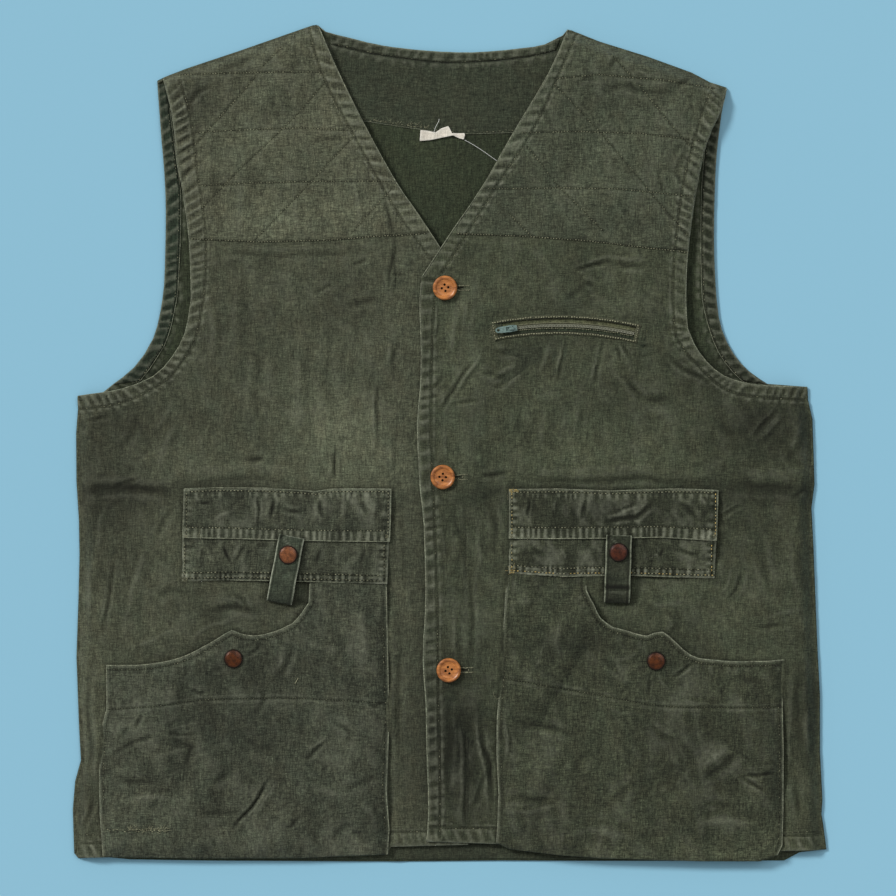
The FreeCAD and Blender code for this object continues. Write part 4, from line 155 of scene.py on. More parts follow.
LINES = {
    "NECK_R": [(-108.0, 342.8), (-104.4, 334.2), (-99.2, 321.9), (-93.2, 308.3), (-88.3, 297.9), (-82.9, 286.7), (-77.1, 275.0), (-71.1, 263.2), (-65.8, 253.3), (-60.2, 242.7), (-54.4, 232.2), (-48.9, 222.5), (-44.0, 214.0), (-37.3, 203.7), (-31.7, 195.9), (-26.0, 187.8), (-19.0, 177.3), (-12.0, 166.6), (-7.1, 159.1)],
    "NECK_R_ST": [(-115.3, 341.1), (-113.4, 332.3), (-110.3, 319.4), (-105.5, 305.0), (-101.6, 296.2), (-97.0, 286.7), (-91.8, 276.7), (-86.1, 266.1), (-80.1, 255.0), (-74.4, 244.7), (-68.0, 233.2), (-61.4, 221.2), (-54.8, 209.7), (-48.9, 199.4), (-44.0, 191.1), (-35.3, 177.7), (-29.2, 169.7), (-20.9, 158.2), (-14.5, 149.2)],
    "NECK_L": [(97.0, 339.5), (93.5, 330.6), (88.2, 317.7), (81.5, 303.4), (76.5, 294.5), (70.8, 284.8), (64.7, 274.8), (58.6, 264.7), (52.8, 255.0), (47.3, 245.6), (42.0, 236.1), (36.7, 226.8), (31.6, 217.9), (26.5, 209.5), (20.4, 200.1), (14.6, 191.6), (8.7, 183.4), (2.7, 174.7), (-4.1, 164.4), (-11.5, 153.2), (-18.1, 143.1), (-22.7, 136.1)],
    "NECK_L_ST": [(104.0, 337.0), (101.1, 330.0), (96.9, 320.0), (92.0, 308.7), (87.2, 297.7), (82.6, 287.3), (78.0, 276.7), (72.9, 266.0), (67.1, 255.0), (61.7, 246.0), (55.6, 236.8), (49.3, 227.5), (43.0, 218.3), (37.2, 209.5), (30.4, 198.7), (24.0, 188.2), (17.9, 178.1), (12.2, 168.9), (4.8, 157.4), (-2.0, 147.2), (-6.6, 140.2)],
    "BACKNECK": [(-108.0, 342.8), (-102.2, 337.8), (-92.3, 335.0), (-80.1, 332.1), (-68.5, 329.1), (-55.5, 326.4), (-44.9, 324.8), (-33.2, 323.4), (-21.0, 322.3), (-8.3, 321.3), (5.0, 320.7), (18.3, 320.6), (32.1, 321.3), (46.0, 322.6), (57.7, 323.9), (69.5, 325.3), (78.2, 327.2), (92.9, 334.6), (97.0, 339.5)],
    "BACKNECK_ST": [(-94.8, 327.2), (-88.0, 325.6), (-78.2, 323.2), (-66.9, 320.7), (-55.5, 318.6), (-43.7, 316.8), (-30.9, 315.0), (-18.2, 313.6), (-6.3, 312.7), (4.6, 312.5), (14.9, 312.8), (24.6, 313.4), (33.9, 314.1), (45.6, 315.1), (56.3, 316.4), (65.9, 317.8), (78.5, 320.2), (87.2, 322.3)],
    "YOKELINE": [(-122.7, 271.4), (-115.4, 270.5), (-105.0, 269.1), (-93.0, 267.5), (-80.9, 265.9), (-70.2, 264.4), (-59.0, 262.8), (-48.7, 261.2), (-38.6, 259.7), (-28.4, 258.3), (-17.9, 257.0), (-7.2, 255.8), (3.2, 254.8), (13.4, 254.2), (25.0, 254.1), (36.2, 254.6), (51.1, 255.0), (62.0, 255.2), (75.3, 255.3), (89.6, 255.5), (103.3, 255.6), (115.0, 255.8), (123.3, 255.8)],
    "PLACK": [(-23.1, 131.2), (-24.3, 117.3), (-24.1, 108.3), (-23.7, 97.0), (-23.3, 85.1), (-23.1, 74.6), (-23.2, 63.3), (-23.4, 53.2), (-23.9, 43.5), (-25.2, 30.0), (-26.2, 15.6), (-26.0, 2.6), (-25.3, -11.8), (-24.6, -23.8), (-24.1, -34.2), (-23.5, -42.6), (-22.1, -51.8), (-20.7, -66.4), (-20.3, -76.7), (-19.9, -89.3), (-19.6, -103.1), (-19.4, -116.7), (-19.4, -128.7), (-19.8, -141.7), (-20.5, -153.4), (-21.2, -164.6), (-21.5, -175.5), (-21.2, -186.2), (-20.5, -196.5), (-19.7, -206.6), (-19.1, -216.5), (-18.8, -229.0), (-18.7, -241.1), (-18.4, -254.2), (-18.0, -265.8), (-17.5, -278.3), (-17.1, -290.5), (-16.9, -300.9), (-17.7, -316.6), (-18.6, -326.4)],
    "PLACK_ST": [(-6.6, 140.2), (-11.2, 125.5), (-12.5, 115.6), (-13.6, 103.0), (-14.5, 86.1), (-14.7, 76.8), (-15.0, 66.0), (-15.2, 54.3), (-15.3, 42.0), (-15.4, 29.8), (-15.4, 18.1), (-15.3, 7.4), (-15.0, -5.9), (-14.5, -18.2), (-14.0, -30.0), (-13.4, -42.0), (-12.8, -54.9), (-12.4, -66.5), (-12.0, -78.5), (-11.5, -90.8), (-11.1, -103.4), (-10.7, -116.0), (-10.4, -128.7), (-10.2, -139.7), (-10.0, -150.9), (-10.0, -162.2), (-9.9, -173.5), (-9.8, -184.9), (-9.7, -196.2), (-9.6, -207.5), (-9.3, -219.0), (-9.1, -230.9), (-8.8, -243.0), (-8.5, -254.8), (-8.2, -266.1), (-8.0, -276.3), (-7.9, -285.4), (-8.0, -302.3), (-8.4, -314.8), (-8.7, -323.1)],
    "ARM_R": [(-235.1, 299.3), (-233.0, 291.8), (-230.2, 280.9), (-227.7, 269.0), (-226.1, 255.8), (-224.8, 241.6), (-223.6, 229.6), (-221.6, 220.1), (-219.5, 209.9), (-218.1, 200.7), (-216.5, 189.6), (-214.9, 177.6), (-213.7, 165.6), (-213.0, 152.9), (-212.5, 139.2), (-212.2, 126.6), (-212.1, 117.3), (-213.4, 109.1), (-214.8, 99.9), (-217.3, 89.4), (-221.8, 79.7), (-227.7, 70.5), (-234.5, 62.0), (-243.3, 54.5), (-255.8, 48.6), (-268.7, 44.3), (-278.3, 42.2), (-287.1, 41.0), (-297.5, 39.6), (-305.6, 38.5)],
    "ARM_R_ST": [(-221.9, 297.7), (-219.4, 290.6), (-216.0, 280.4), (-212.9, 269.0), (-210.9, 256.0), (-209.4, 241.8), (-208.0, 229.6), (-206.4, 218.7), (-204.7, 207.5), (-203.4, 198.5), (-201.9, 188.2), (-200.5, 177.0), (-199.8, 165.6), (-199.9, 153.1), (-200.6, 139.3), (-201.5, 126.7), (-202.3, 117.3), (-203.9, 109.1), (-205.6, 98.6), (-208.8, 86.1), (-215.3, 73.5), (-222.8, 62.3), (-228.3, 55.5), (-235.1, 50.0), (-246.3, 43.1), (-258.8, 36.9), (-269.9, 33.0), (-281.0, 30.3), (-294.5, 28.7), (-305.2, 27.9)],
    "ARM_L": [(227.4, 291.1), (225.9, 284.2), (222.9, 273.9), (219.4, 266.1), (215.0, 257.2), (211.0, 246.8), (208.5, 237.9), (206.2, 228.2), (204.0, 217.7), (202.0, 206.6), (200.1, 194.6), (198.3, 181.6), (196.7, 168.6), (195.4, 156.6), (194.4, 142.1), (193.9, 128.8), (193.8, 117.3), (194.2, 103.7), (195.4, 93.5), (200.4, 81.2), (205.1, 73.7), (211.0, 66.4), (217.4, 60.2), (225.0, 54.9), (235.1, 51.0), (245.5, 48.4), (261.0, 46.7), (271.9, 46.4), (284.7, 46.1), (293.8, 45.9)],
    "ARM_L_ST": [(215.9, 291.1), (212.8, 285.0), (208.6, 275.5), (204.6, 263.6), (200.4, 248.5), (197.9, 239.2), (195.3, 228.9), (192.7, 218.0), (190.5, 206.6), (188.7, 194.6), (187.1, 181.9), (185.8, 169.3), (184.8, 157.4), (184.0, 146.5), (183.4, 136.2), (183.1, 126.5), (183.1, 117.3), (183.6, 105.5), (184.5, 94.7), (186.0, 86.1), (193.8, 74.6), (200.7, 66.8), (209.4, 57.6), (217.6, 50.0), (226.8, 43.8), (236.4, 40.2), (249.7, 38.0), (264.3, 36.9), (275.1, 36.2), (286.1, 35.6), (293.8, 35.3)],
    "BARM_R": [(-240.0, 296.0), (-239.4, 287.3), (-238.5, 274.7), (-237.5, 261.6), (-236.4, 248.5), (-235.2, 234.9), (-234.2, 222.2), (-233.6, 211.8), (-233.2, 202.4), (-233.0, 191.1), (-233.0, 179.8), (-233.2, 167.0), (-233.5, 154.3), (-233.8, 143.5), (-234.4, 129.4), (-235.9, 117.3), (-237.6, 107.0), (-240.0, 96.1), (-243.3, 86.1), (-250.4, 73.1), (-258.8, 62.3), (-267.9, 54.3), (-276.1, 48.4), (-284.3, 41.8), (-295.4, 39.8), (-305.6, 38.5)],
    "BARM_R_ST": [(-232.6, 294.4), (-231.7, 287.7), (-230.1, 275.5), (-228.9, 266.0), (-227.3, 254.2), (-225.7, 242.2), (-224.4, 232.1), (-222.4, 218.6), (-221.1, 206.6), (-220.8, 196.7), (-220.9, 186.0), (-221.1, 174.7), (-221.5, 161.6), (-222.1, 147.8), (-222.8, 136.1), (-223.3, 126.1), (-224.4, 117.3), (-226.2, 108.0), (-228.5, 97.6), (-231.0, 88.6), (-234.5, 79.8), (-239.2, 72.2), (-245.9, 61.8), (-253.9, 51.7), (-261.8, 43.6), (-272.0, 36.9), (-283.1, 32.9), (-296.0, 29.4), (-305.2, 27.1)],
    "BARM_L": [(227.4, 291.1), (225.4, 282.0), (222.9, 269.0), (221.5, 259.2), (220.3, 248.5), (219.2, 237.8), (218.5, 228.0), (218.0, 218.2), (217.6, 206.6), (217.3, 195.8), (217.1, 183.5), (217.0, 171.0), (217.1, 159.1), (217.4, 147.8), (217.9, 136.7), (218.5, 126.3), (219.2, 117.3), (220.8, 104.0), (223.3, 93.5), (227.7, 82.6), (233.2, 73.0), (239.0, 65.4), (245.5, 59.0), (252.0, 53.0), (261.0, 48.4), (271.9, 46.9), (284.7, 46.3), (293.8, 45.9)],
    "BARM_L_ST": [(216.8, 287.8), (214.5, 276.2), (211.8, 260.8), (210.6, 250.4), (209.5, 239.5), (208.6, 229.6), (207.6, 219.1), (206.9, 206.6), (206.7, 196.3), (206.5, 184.0), (206.4, 171.1), (206.4, 159.1), (206.6, 147.6), (206.9, 136.2), (207.2, 125.7), (207.7, 117.3), (211.0, 101.7), (213.5, 93.4), (216.7, 83.8), (220.9, 74.6), (226.2, 66.4), (232.5, 58.6), (239.7, 51.7), (248.1, 45.4), (257.5, 40.0), (266.8, 36.1), (282.0, 34.3), (293.8, 34.4)],
    "SIDE_R": [(-305.6, 38.5), (-305.2, 27.9), (-306.7, 7.4), (-306.4, -32.0), (-304.4, -63.1), (-303.9, -91.8), (-304.8, -128.7), (-306.4, -175.5), (-304.4, -230.4), (-302.8, -260.8), (-307.5, -278.0), (-309.4, -300.9), (-308.3, -337.0)],
    "SIDE_L": [(293.8, 45.9), (294.3, 35.3), (297.9, 19.7), (298.8, -8.2), (299.6, -33.6), (297.1, -53.3), (298.8, -86.9), (300.4, -128.7), (302.0, -168.1), (304.1, -207.5), (304.1, -254.2), (306.1, -292.7), (305.3, -305.0), (307.0, -315.7), (309.4, -333.7)],
    "SH_R": [(-240.0, 297.7), (-235.1, 300.1), (-216.2, 307.5), (-171.9, 322.3), (-122.7, 339.5), (-109.6, 343.6)],
    "SH_L": [(97.9, 339.5), (123.3, 329.6), (162.6, 317.3), (198.7, 304.2), (214.3, 296.0), (227.4, 291.9)],
    "YLOW_R": [(-212.5, 167.7), (-199.8, 166.9), (-155.5, 164.8), (-98.1, 166.5), (-57.1, 169.7), (-24.3, 171.4), (-17.8, 172.2)],
    "YLOW_L": [(6.0, 171.5), (57.7, 169.7), (112.6, 165.6), (156.1, 160.7), (197.1, 156.2)],
    "PMOUTH_R": [(-114.5, -115.6), (-114.7, -123.2), (-115.3, -131.2), (-118.2, -135.3), (-122.7, -141.9), (-128.5, -148.0), (-133.2, -150.5), (-139.1, -153.2), (-144.9, -155.4), (-153.0, -157.4), (-160.4, -158.3), (-166.7, -157.6), (-171.9, -156.2), (-178.5, -153.8), (-183.4, -156.3), (-189.6, -160.3), (-196.5, -164.4), (-202.1, -167.4), (-208.0, -170.7), (-214.4, -173.7), (-221.1, -176.3), (-226.8, -177.9), (-232.9, -179.3), (-239.1, -180.4), (-245.3, -181.3), (-251.5, -182.0), (-257.9, -182.5), (-264.8, -182.6), (-271.5, -182.6), (-277.2, -182.5), (-281.2, -182.4)],
    "PMOUTH_L": [(112.2, -110.7), (111.6, -114.9), (111.8, -120.5), (114.5, -126.6), (118.0, -132.8), (120.3, -138.5), (123.3, -143.5), (128.6, -148.0), (133.9, -151.3), (138.9, -152.5), (143.6, -153.8), (149.9, -155.7), (156.4, -157.4), (161.8, -158.3), (168.2, -155.8), (174.5, -155.0), (179.5, -158.5), (185.4, -163.9), (191.4, -169.6), (197.1, -173.8), (203.6, -176.4), (209.7, -177.3), (216.8, -177.9), (223.1, -178.5), (230.1, -178.9), (237.4, -179.2), (244.6, -179.3), (250.9, -179.1), (257.8, -178.9), (264.4, -178.5), (270.1, -178.2), (274.2, -177.9)],
    "POUT_R": [(-281.2, -182.4), (-281.0, -218.1), (-284.3, -230.4), (-287.1, -269.8), (-286.4, -305.9), (-284.3, -339.5)],
    "PIN_R": [(-51.9, -118.1), (-51.4, -149.2), (-49.7, -227.1), (-52.2, -285.4), (-49.7, -317.3), (-51.4, -337.8)],
    "POUT_L": [(274.2, -177.9), (272.5, -215.7), (273.3, -252.6), (273.1, -299.3), (272.5, -329.6), (268.8, -337.8)],
    "PIN_L": [(47.0, -109.1), (44.6, -149.2), (41.6, -192.7), (39.1, -227.1), (38.8, -254.2), (40.5, -288.6), (38.8, -328.0)],
    "PBOT_L": [(38.8, -328.0), (49.5, -332.9), (123.3, -340.3), (205.3, -343.2), (254.5, -343.2), (268.8, -337.8)],
    "PBOT_R": [(-284.3, -339.5), (-204.7, -340.7), (-122.7, -340.3), (-50.6, -337.4)],
    "PFAC_R": [(-281.0, -218.6), (-268.5, -217.6), (-250.8, -216.3), (-235.1, -214.8), (-220.4, -212.7), (-205.5, -210.7), (-190.3, -210.0), (-172.9, -209.4), (-157.2, -209.1), (-141.4, -208.7), (-122.7, -209.1), (-105.6, -209.9), (-84.3, -211.1), (-64.1, -212.4), (-50.1, -213.2)],
    "PFAC_L": [(41.7, -191.9), (54.7, -194.2), (73.2, -197.6), (91.8, -200.9), (109.0, -204.0), (126.2, -207.1), (142.1, -209.9), (158.8, -213.5), (180.7, -215.9), (194.0, -216.3), (210.8, -216.4), (229.0, -216.4), (246.7, -216.4), (261.9, -216.3), (272.5, -216.2)],
    "HEM_R": [(-308.3, -337.0), (-305.2, -340.3), (-284.3, -339.9), (-204.7, -339.5), (-122.7, -339.1), (-50.6, -334.6), (-48.1, -331.3), (-19.4, -330.5), (15.0, -329.6)],
    "HEM_L": [(-18.6, -326.8), (16.7, -328.0), (38.8, -328.8), (123.3, -332.9), (205.3, -335.4), (272.5, -334.6), (309.4, -333.7)],
    "BACKHEM": [(-308.3, -337.0), (-305.2, -341.1), (-284.3, -339.9), (-262.1, -341.9), (-204.7, -342.8), (-122.7, -343.2), (-40.7, -343.6), (41.3, -342.8), (123.3, -343.2), (205.3, -343.2), (275.0, -342.8), (287.3, -336.2), (309.4, -333.7)],
    "QUILT_R": [[(-222.8, 302.2), (-180.1, 303.4), (-139.1, 304.2), (-102.2, 304.2)], [(-208.0, 254.6), (-171.9, 256.7), (-122.7, 258.7), (-75.2, 255.8)], [(-203.9, 211.1), (-163.7, 213.2), (-106.3, 214.8), (-42.4, 214.8)], [(-133.4, 328.8), (-153.9, 308.3)], [(-158.8, 300.9), (-196.5, 258.3), (-215.4, 237.8)], [(-102.2, 296.0), (-122.7, 272.2), (-139.9, 255.0), (-174.4, 222.2), (-203.9, 191.9)], [(-80.1, 250.1), (-122.7, 205.0), (-160.4, 165.6)], [(-44.0, 212.4), (-80.1, 172.6)]],
    "QUILT_L": [[(84.7, 298.5), (123.3, 301.8), (172.5, 297.7), (218.4, 291.1)], [(58.5, 254.2), (106.9, 255.4), (156.1, 253.4), (212.7, 247.2)], [(30.6, 208.3), (90.5, 209.1), (139.7, 207.9), (202.8, 202.1)], [(132.3, 318.2), (149.5, 300.1)], [(155.3, 293.6), (183.1, 258.3), (211.8, 228.0)], [(85.6, 294.4), (123.3, 255.0), (171.7, 196.8), (197.1, 168.1)], [(62.6, 244.4), (88.8, 210.7), (126.6, 173.0)], [(47.8, 189.4), (68.3, 168.1)]],
}
CREASES_R = [
    ([(-303.1, 16.4), (-290.8, 19.7), (-278.5, 23.8)], 2.2, -1.30),
    ([(-304.8, -38.5), (-270.3, -36.9), (-245.7, -38.5), (-219.5, -41.8)], 6.0, -1.50),
    ([(-278.5, -37.7), (-267.0, -33.6), (-253.1, -29.5)], 2.4, -1.20),
    ([(-284.3, -161.5), (-280.2, -128.7), (-274.4, -91.0)], 2.4, -1.60),
    ([(-290.0, -95.9), (-286.7, -63.1), (-280.2, -46.7)], 4.0, 0.90),
    ([(-267.0, -161.5), (-260.5, -120.5), (-245.7, -79.5)], 5.0, 1.00),
    ([(-245.7, -83.6), (-233.4, -63.1), (-224.4, -50.8)], 4.0, -0.80),
    ([(-216.2, -33.6), (-170.3, -28.7), (-122.7, -33.6)], 5.0, -0.90),
    ([(-216.2, -23.8), (-170.3, -18.9), (-114.5, -23.8)], 6.0, 0.45),
    ([(-44.0, 164.8), (-47.3, 141.9), (-52.2, 123.8)], 2.4, -1.30),
    ([(-37.4, 164.8), (-40.7, 148.4)], 2.0, 0.90),
    ([(-29.2, 147.6), (-34.2, 139.4)], 2.0, -0.90),
    ([(-48.1, 84.5), (-51.4, 64.8)], 2.2, 1.00),
    ([(-39.9, 88.6), (-44.8, 76.3), (-48.9, 58.2)], 2.4, -1.10),
    ([(-35.0, 79.5), (-36.6, 69.7), (-36.6, 59.0)], 2.2, -1.80),
    ([(-30.9, 60.7), (-30.1, 33.6), (-26.0, 10.7)], 2.6, -1.70),
    ([(-60.4, 54.9), (-63.7, 31.2), (-61.2, 4.9), (-64.5, -20.5)], 2.6, 1.30),
    ([(-57.9, 51.7), (-60.4, 31.2), (-57.9, 4.9)], 2.4, -0.90),
    ([(-93.2, 4.1), (-94.8, -13.9), (-94.8, -32.0)], 2.6, -1.60),
    ([(-93.2, 2.5), (-85.8, 4.1), (-78.4, 3.3)], 2.0, -0.80),
    ([(-112.1, 123.8), (-102.2, 127.9), (-90.7, 130.4)], 2.4, -1.20),
    ([(-81.7, 146.0), (-73.5, 148.4), (-65.3, 151.7)], 2.0, -1.10),
    ([(-85.8, 114.0), (-73.5, 115.6), (-57.1, 118.1)], 5.0, -0.90),
    ([(-169.5, -12.3), (-160.4, -13.1), (-150.6, -11.5)], 4.0, -1.50),
    ([(-48.9, 136.9), (-42.4, 137.8), (-33.3, 136.9)], 2.2, -1.00),
    ([(-153.1, 131.2), (-145.7, 132.0), (-139.1, 131.2)], 2.0, -0.80),
    ([(-227.7, 92.7), (-232.6, 74.6), (-245.7, 58.2), (-263.8, 48.4)], 5.0, 1.20),
    ([(-204.7, 92.7), (-212.9, 74.6), (-224.4, 59.9)], 4.0, -0.90),
    ([(-222.8, 18.9), (-233.4, -1.6), (-237.5, -22.1)], 6.0, 1.00),
    ([(-227.7, 35.3), (-235.9, 18.9), (-245.7, 9.0)], 4.0, 0.80),
    ([(-253.9, 27.1), (-260.5, 9.0), (-270.3, -7.4)], 5.0, -0.90),
    ([(-199.8, 117.3), (-193.2, 92.7), (-194.9, 68.1)], 6.0, 0.80),
    ([(-173.6, 141.9), (-178.5, 100.9), (-175.2, 51.7)], 8.0, 0.70),
    ([(-153.9, 92.7), (-158.8, 43.5), (-153.9, -5.7)], 7.0, -0.60),
    ([(-122.7, 92.7), (-126.0, 43.5), (-122.7, -5.7)], 8.0, 0.60),
    ([(-98.1, 100.9), (-101.4, 51.7), (-96.5, 10.7)], 6.0, -0.50),
    ([(-194.9, 156.6), (-139.1, 154.2), (-48.9, 158.3)], 4.0, -0.70),
    ([(-196.5, 161.5), (-139.1, 159.9), (-48.9, 163.2)], 3.0, 0.35),
    ([(-108.0, -33.6), (-98.1, -22.1), (-93.2, 2.5)], 4.0, 0.80),
    ([(-44.0, -128.7), (-40.7, -177.9), (-43.2, -227.1), (-39.1, -284.5)], 4.0, -1.40),
    ([(-34.2, -95.9), (-31.7, -161.5), (-35.0, -227.1)], 3.0, 1.10),
    ([(-27.6, -210.7), (-29.2, -259.9), (-25.1, -309.1)], 3.0, -1.50),
    ([(-37.4, -46.7), (-39.1, -95.9), (-36.6, -120.5)], 3.0, -1.10),
    ([(-30.1, 2.5), (-33.3, -30.3), (-30.9, -63.1)], 3.0, 1.00),
    ([(-294.9, -177.9), (-296.6, -227.1), (-293.3, -284.5)], 4.0, -1.30),
    ([(-298.2, -95.9), (-296.6, -145.1)], 5.0, 0.90),
    ([(-293.3, -292.7), (-299.8, -317.3)], 3.0, -1.20),
    ([(-245.7, -128.7), (-229.3, -120.5), (-204.7, -123.8)], 5.0, -0.70),
    ([(-270.3, -169.7), (-245.7, -161.5), (-217.0, -149.2)], 5.0, 0.90),
    ([(-200.6, -138.6), (-176.0, -133.7), (-153.9, -138.6)], 5.0, -1.60),
    ([(-212.9, -161.5), (-194.9, -148.4), (-171.9, -141.9)], 4.0, 1.10),
    ([(-137.5, -138.6), (-122.7, -130.4), (-104.7, -133.7)], 4.0, -1.20),
    ([(-180.1, -120.5), (-168.6, -128.7), (-163.7, -140.2)], 3.0, -1.10),
]
CREASES_L = [
    ([(21.6, 68.9), (10.1, 53.3), (-2.2, 38.5), (-8.7, 23.0)], 3.0, -2.00),
    ([(28.2, 74.6), (16.7, 58.2), (4.4, 41.8)], 3.0, 1.40),
    ([(-6.3, 57.4), (-10.4, 50.8), (-15.3, 44.3)], 2.2, -1.30),
    ([(-9.6, 112.3), (-11.2, 96.8), (-12.8, 81.2)], 2.4, 1.10),
    ([(-0.5, 32.0), (10.9, 34.4), (25.7, 36.1)], 2.4, -1.20),
    ([(-17.8, 36.1), (-14.5, 43.5)], 2.0, 1.20),
    ([(6.0, 117.3), (2.7, 84.5), (-1.4, 66.4)], 4.0, 0.80),
    ([(16.7, 117.3), (13.4, 92.7)], 3.0, -0.70),
    ([(-11.2, 2.5), (-12.8, -15.6), (-11.2, -38.5)], 3.0, -1.10),
    ([(-3.0, 9.0), (-4.6, -15.6)], 3.0, 1.00),
    ([(23.2, 59.9), (41.3, 54.9), (57.7, 58.2)], 4.0, -1.00),
    ([(34.7, 76.3), (49.5, 74.6), (67.5, 77.1)], 4.0, -1.20),
    ([(36.4, 45.1), (47.8, 53.3), (60.1, 61.5)], 4.0, -1.70),
    ([(31.4, 51.7), (38.0, 56.6), (54.4, 64.8)], 3.0, 1.20),
    ([(70.0, 54.9), (78.2, 66.4), (83.9, 84.5)], 4.0, 1.10),
    ([(92.1, 84.5), (90.5, 72.2), (84.7, 47.6)], 2.2, 1.30),
    ([(94.6, 83.6), (92.9, 70.5), (88.0, 45.9)], 2.0, -1.20),
    ([(121.6, 84.5), (120.0, 68.1), (115.1, 41.8)], 2.4, 1.00),
    ([(124.9, 84.5), (123.3, 68.1), (119.2, 43.5)], 2.2, -0.80),
    ([(133.1, 83.6), (138.0, 74.6), (140.5, 64.8)], 2.0, -1.30),
    ([(139.7, 85.3), (143.8, 77.1), (148.7, 67.2)], 2.2, -1.80),
    ([(138.0, 84.5), (141.3, 76.3), (144.6, 67.2)], 2.0, 1.20),
    ([(147.1, 80.4), (156.1, 78.7), (168.4, 80.4)], 2.0, -1.10),
    ([(147.9, 71.3), (159.4, 70.5), (170.8, 73.8)], 2.0, -0.90),
    ([(100.3, 138.6), (111.0, 143.5), (123.3, 146.8), (133.9, 148.4)], 3.0, -1.80),
    ([(106.9, 145.1), (123.3, 151.7), (156.1, 150.1)], 4.0, 1.10),
    ([(133.9, 147.6), (143.8, 145.1), (164.3, 146.0)], 4.0, -1.50),
    ([(109.3, 129.6), (115.1, 130.4), (120.8, 127.1)], 3.0, -1.50),
    ([(100.3, 117.3), (105.2, 125.5)], 4.0, -0.80),
    ([(175.8, 74.6), (188.9, 63.1), (206.9, 53.3), (218.4, 46.7)], 3.0, -1.60),
    ([(182.3, 79.5), (197.1, 66.4), (213.5, 58.2)], 3.0, 1.20),
    ([(146.2, 50.0), (154.4, 40.2), (156.9, 33.6)], 4.0, -1.60),
    ([(136.4, 54.9), (147.9, 45.1)], 4.0, 1.00),
    ([(156.1, 36.9), (168.4, 33.6), (182.3, 38.5)], 6.0, -1.30),
    ([(270.1, 29.5), (258.6, 15.6), (246.3, 2.5)], 2.6, -1.50),
    ([(274.2, 25.4), (262.7, 12.3), (250.4, -0.8)], 3.0, 1.00),
    ([(221.7, 18.9), (228.2, 9.0), (238.1, 5.7)], 6.0, -1.00),
    ([(287.3, 18.9), (283.2, 2.5), (270.9, -15.6)], 5.0, 0.90),
    ([(275.0, 2.5), (279.1, -13.9), (290.6, -22.1)], 5.0, -1.00),
    ([(105.2, 31.2), (103.6, 18.9), (102.0, 4.1)], 3.0, 0.90),
    ([(109.3, 31.2), (107.7, 14.8)], 3.0, -0.80),
    ([(78.2, 35.3), (74.1, 10.7), (78.2, -13.9)], 7.0, 0.80),
    ([(57.7, 27.1), (54.4, 2.5)], 6.0, -0.70),
    ([(24.9, -27.1), (36.4, -26.2), (48.7, -23.8)], 3.0, -1.80),
    ([(48.7, -28.7), (116.7, -32.0), (156.1, -29.5), (220.0, -33.6)], 4.0, -1.30),
    ([(33.1, -18.9), (57.7, -22.1), (106.9, -22.1), (156.1, -20.5), (213.5, -23.8)], 5.0, 0.40),
    ([(225.0, -32.0), (254.5, -35.3), (297.1, -36.9)], 7.0, -1.30),
    ([(226.6, -22.1), (262.7, -23.8), (295.5, -23.8)], 6.0, 0.50),
    ([(279.1, -44.3), (285.6, -40.2), (293.0, -36.1)], 2.6, -1.30),
    ([(222.5, -61.5), (231.5, -55.8), (241.4, -50.8)], 2.4, -1.30),
    ([(226.6, -130.4), (234.8, -120.5), (238.9, -104.1)], 2.4, -1.80),
    ([(231.5, -133.7), (240.5, -122.2), (244.6, -102.5)], 3.0, 1.10),
    ([(221.7, -125.5), (227.4, -115.6), (229.9, -100.9)], 3.0, 1.00),
    ([(247.9, -153.3), (262.7, -150.1), (282.4, -146.0)], 3.0, -1.00),
    ([(254.5, -145.1), (270.9, -138.6), (292.2, -136.9)], 4.0, 0.90),
    ([(156.1, -128.7), (172.5, -132.0), (197.1, -128.7)], 6.0, 0.80),
    ([(176.6, -138.6), (182.3, -149.2), (175.8, -155.0)], 4.0, 1.20),
    ([(185.6, -138.6), (192.2, -150.1)], 4.0, -0.90),
    ([(254.5, -79.5), (257.8, -104.1), (264.3, -128.7)], 6.0, -0.80),
    ([(279.1, -71.3), (280.7, -104.1), (287.3, -128.7)], 6.0, 0.80),
    ([(26.5, -228.8), (28.2, -248.5), (33.9, -263.2), (34.7, -303.4)], 3.0, -2.00),
    ([(21.6, -210.7), (23.2, -243.5), (29.0, -268.1), (29.8, -309.1)], 3.0, 1.50),
    ([(16.7, -95.9), (18.3, -145.1), (15.0, -194.3)], 4.0, -1.00),
    ([(23.2, -63.1), (24.9, -104.1)], 4.0, 0.90),
    ([(4.4, -128.7), (1.9, -161.5), (6.8, -202.5)], 4.0, 0.90),
    ([(-1.4, -210.7), (0.3, -243.5), (-3.0, -292.7)], 4.0, -1.40),
    ([(8.5, -227.1), (10.1, -268.1), (6.8, -309.1)], 4.0, 1.20),
    ([(16.7, -300.9), (24.9, -284.5), (29.8, -268.1)], 3.0, -1.00),
    ([(0.3, -46.7), (8.5, -79.5), (5.2, -112.3)], 5.0, -0.80),
    ([(-7.9, -63.1), (-4.6, -95.9)], 3.0, 0.80),
    ([(33.1, -46.7), (38.0, -71.3), (36.4, -95.9)], 4.0, -1.10),
    ([(287.3, -177.9), (284.0, -210.7), (288.9, -251.7)], 5.0, -1.20),
    ([(293.8, -210.7), (292.2, -259.9)], 4.0, 0.90),
    ([(284.0, -276.3), (287.3, -309.1)], 4.0, -1.10),
    ([(278.3, -210.7), (279.1, -276.3)], 3.0, 0.70),
]
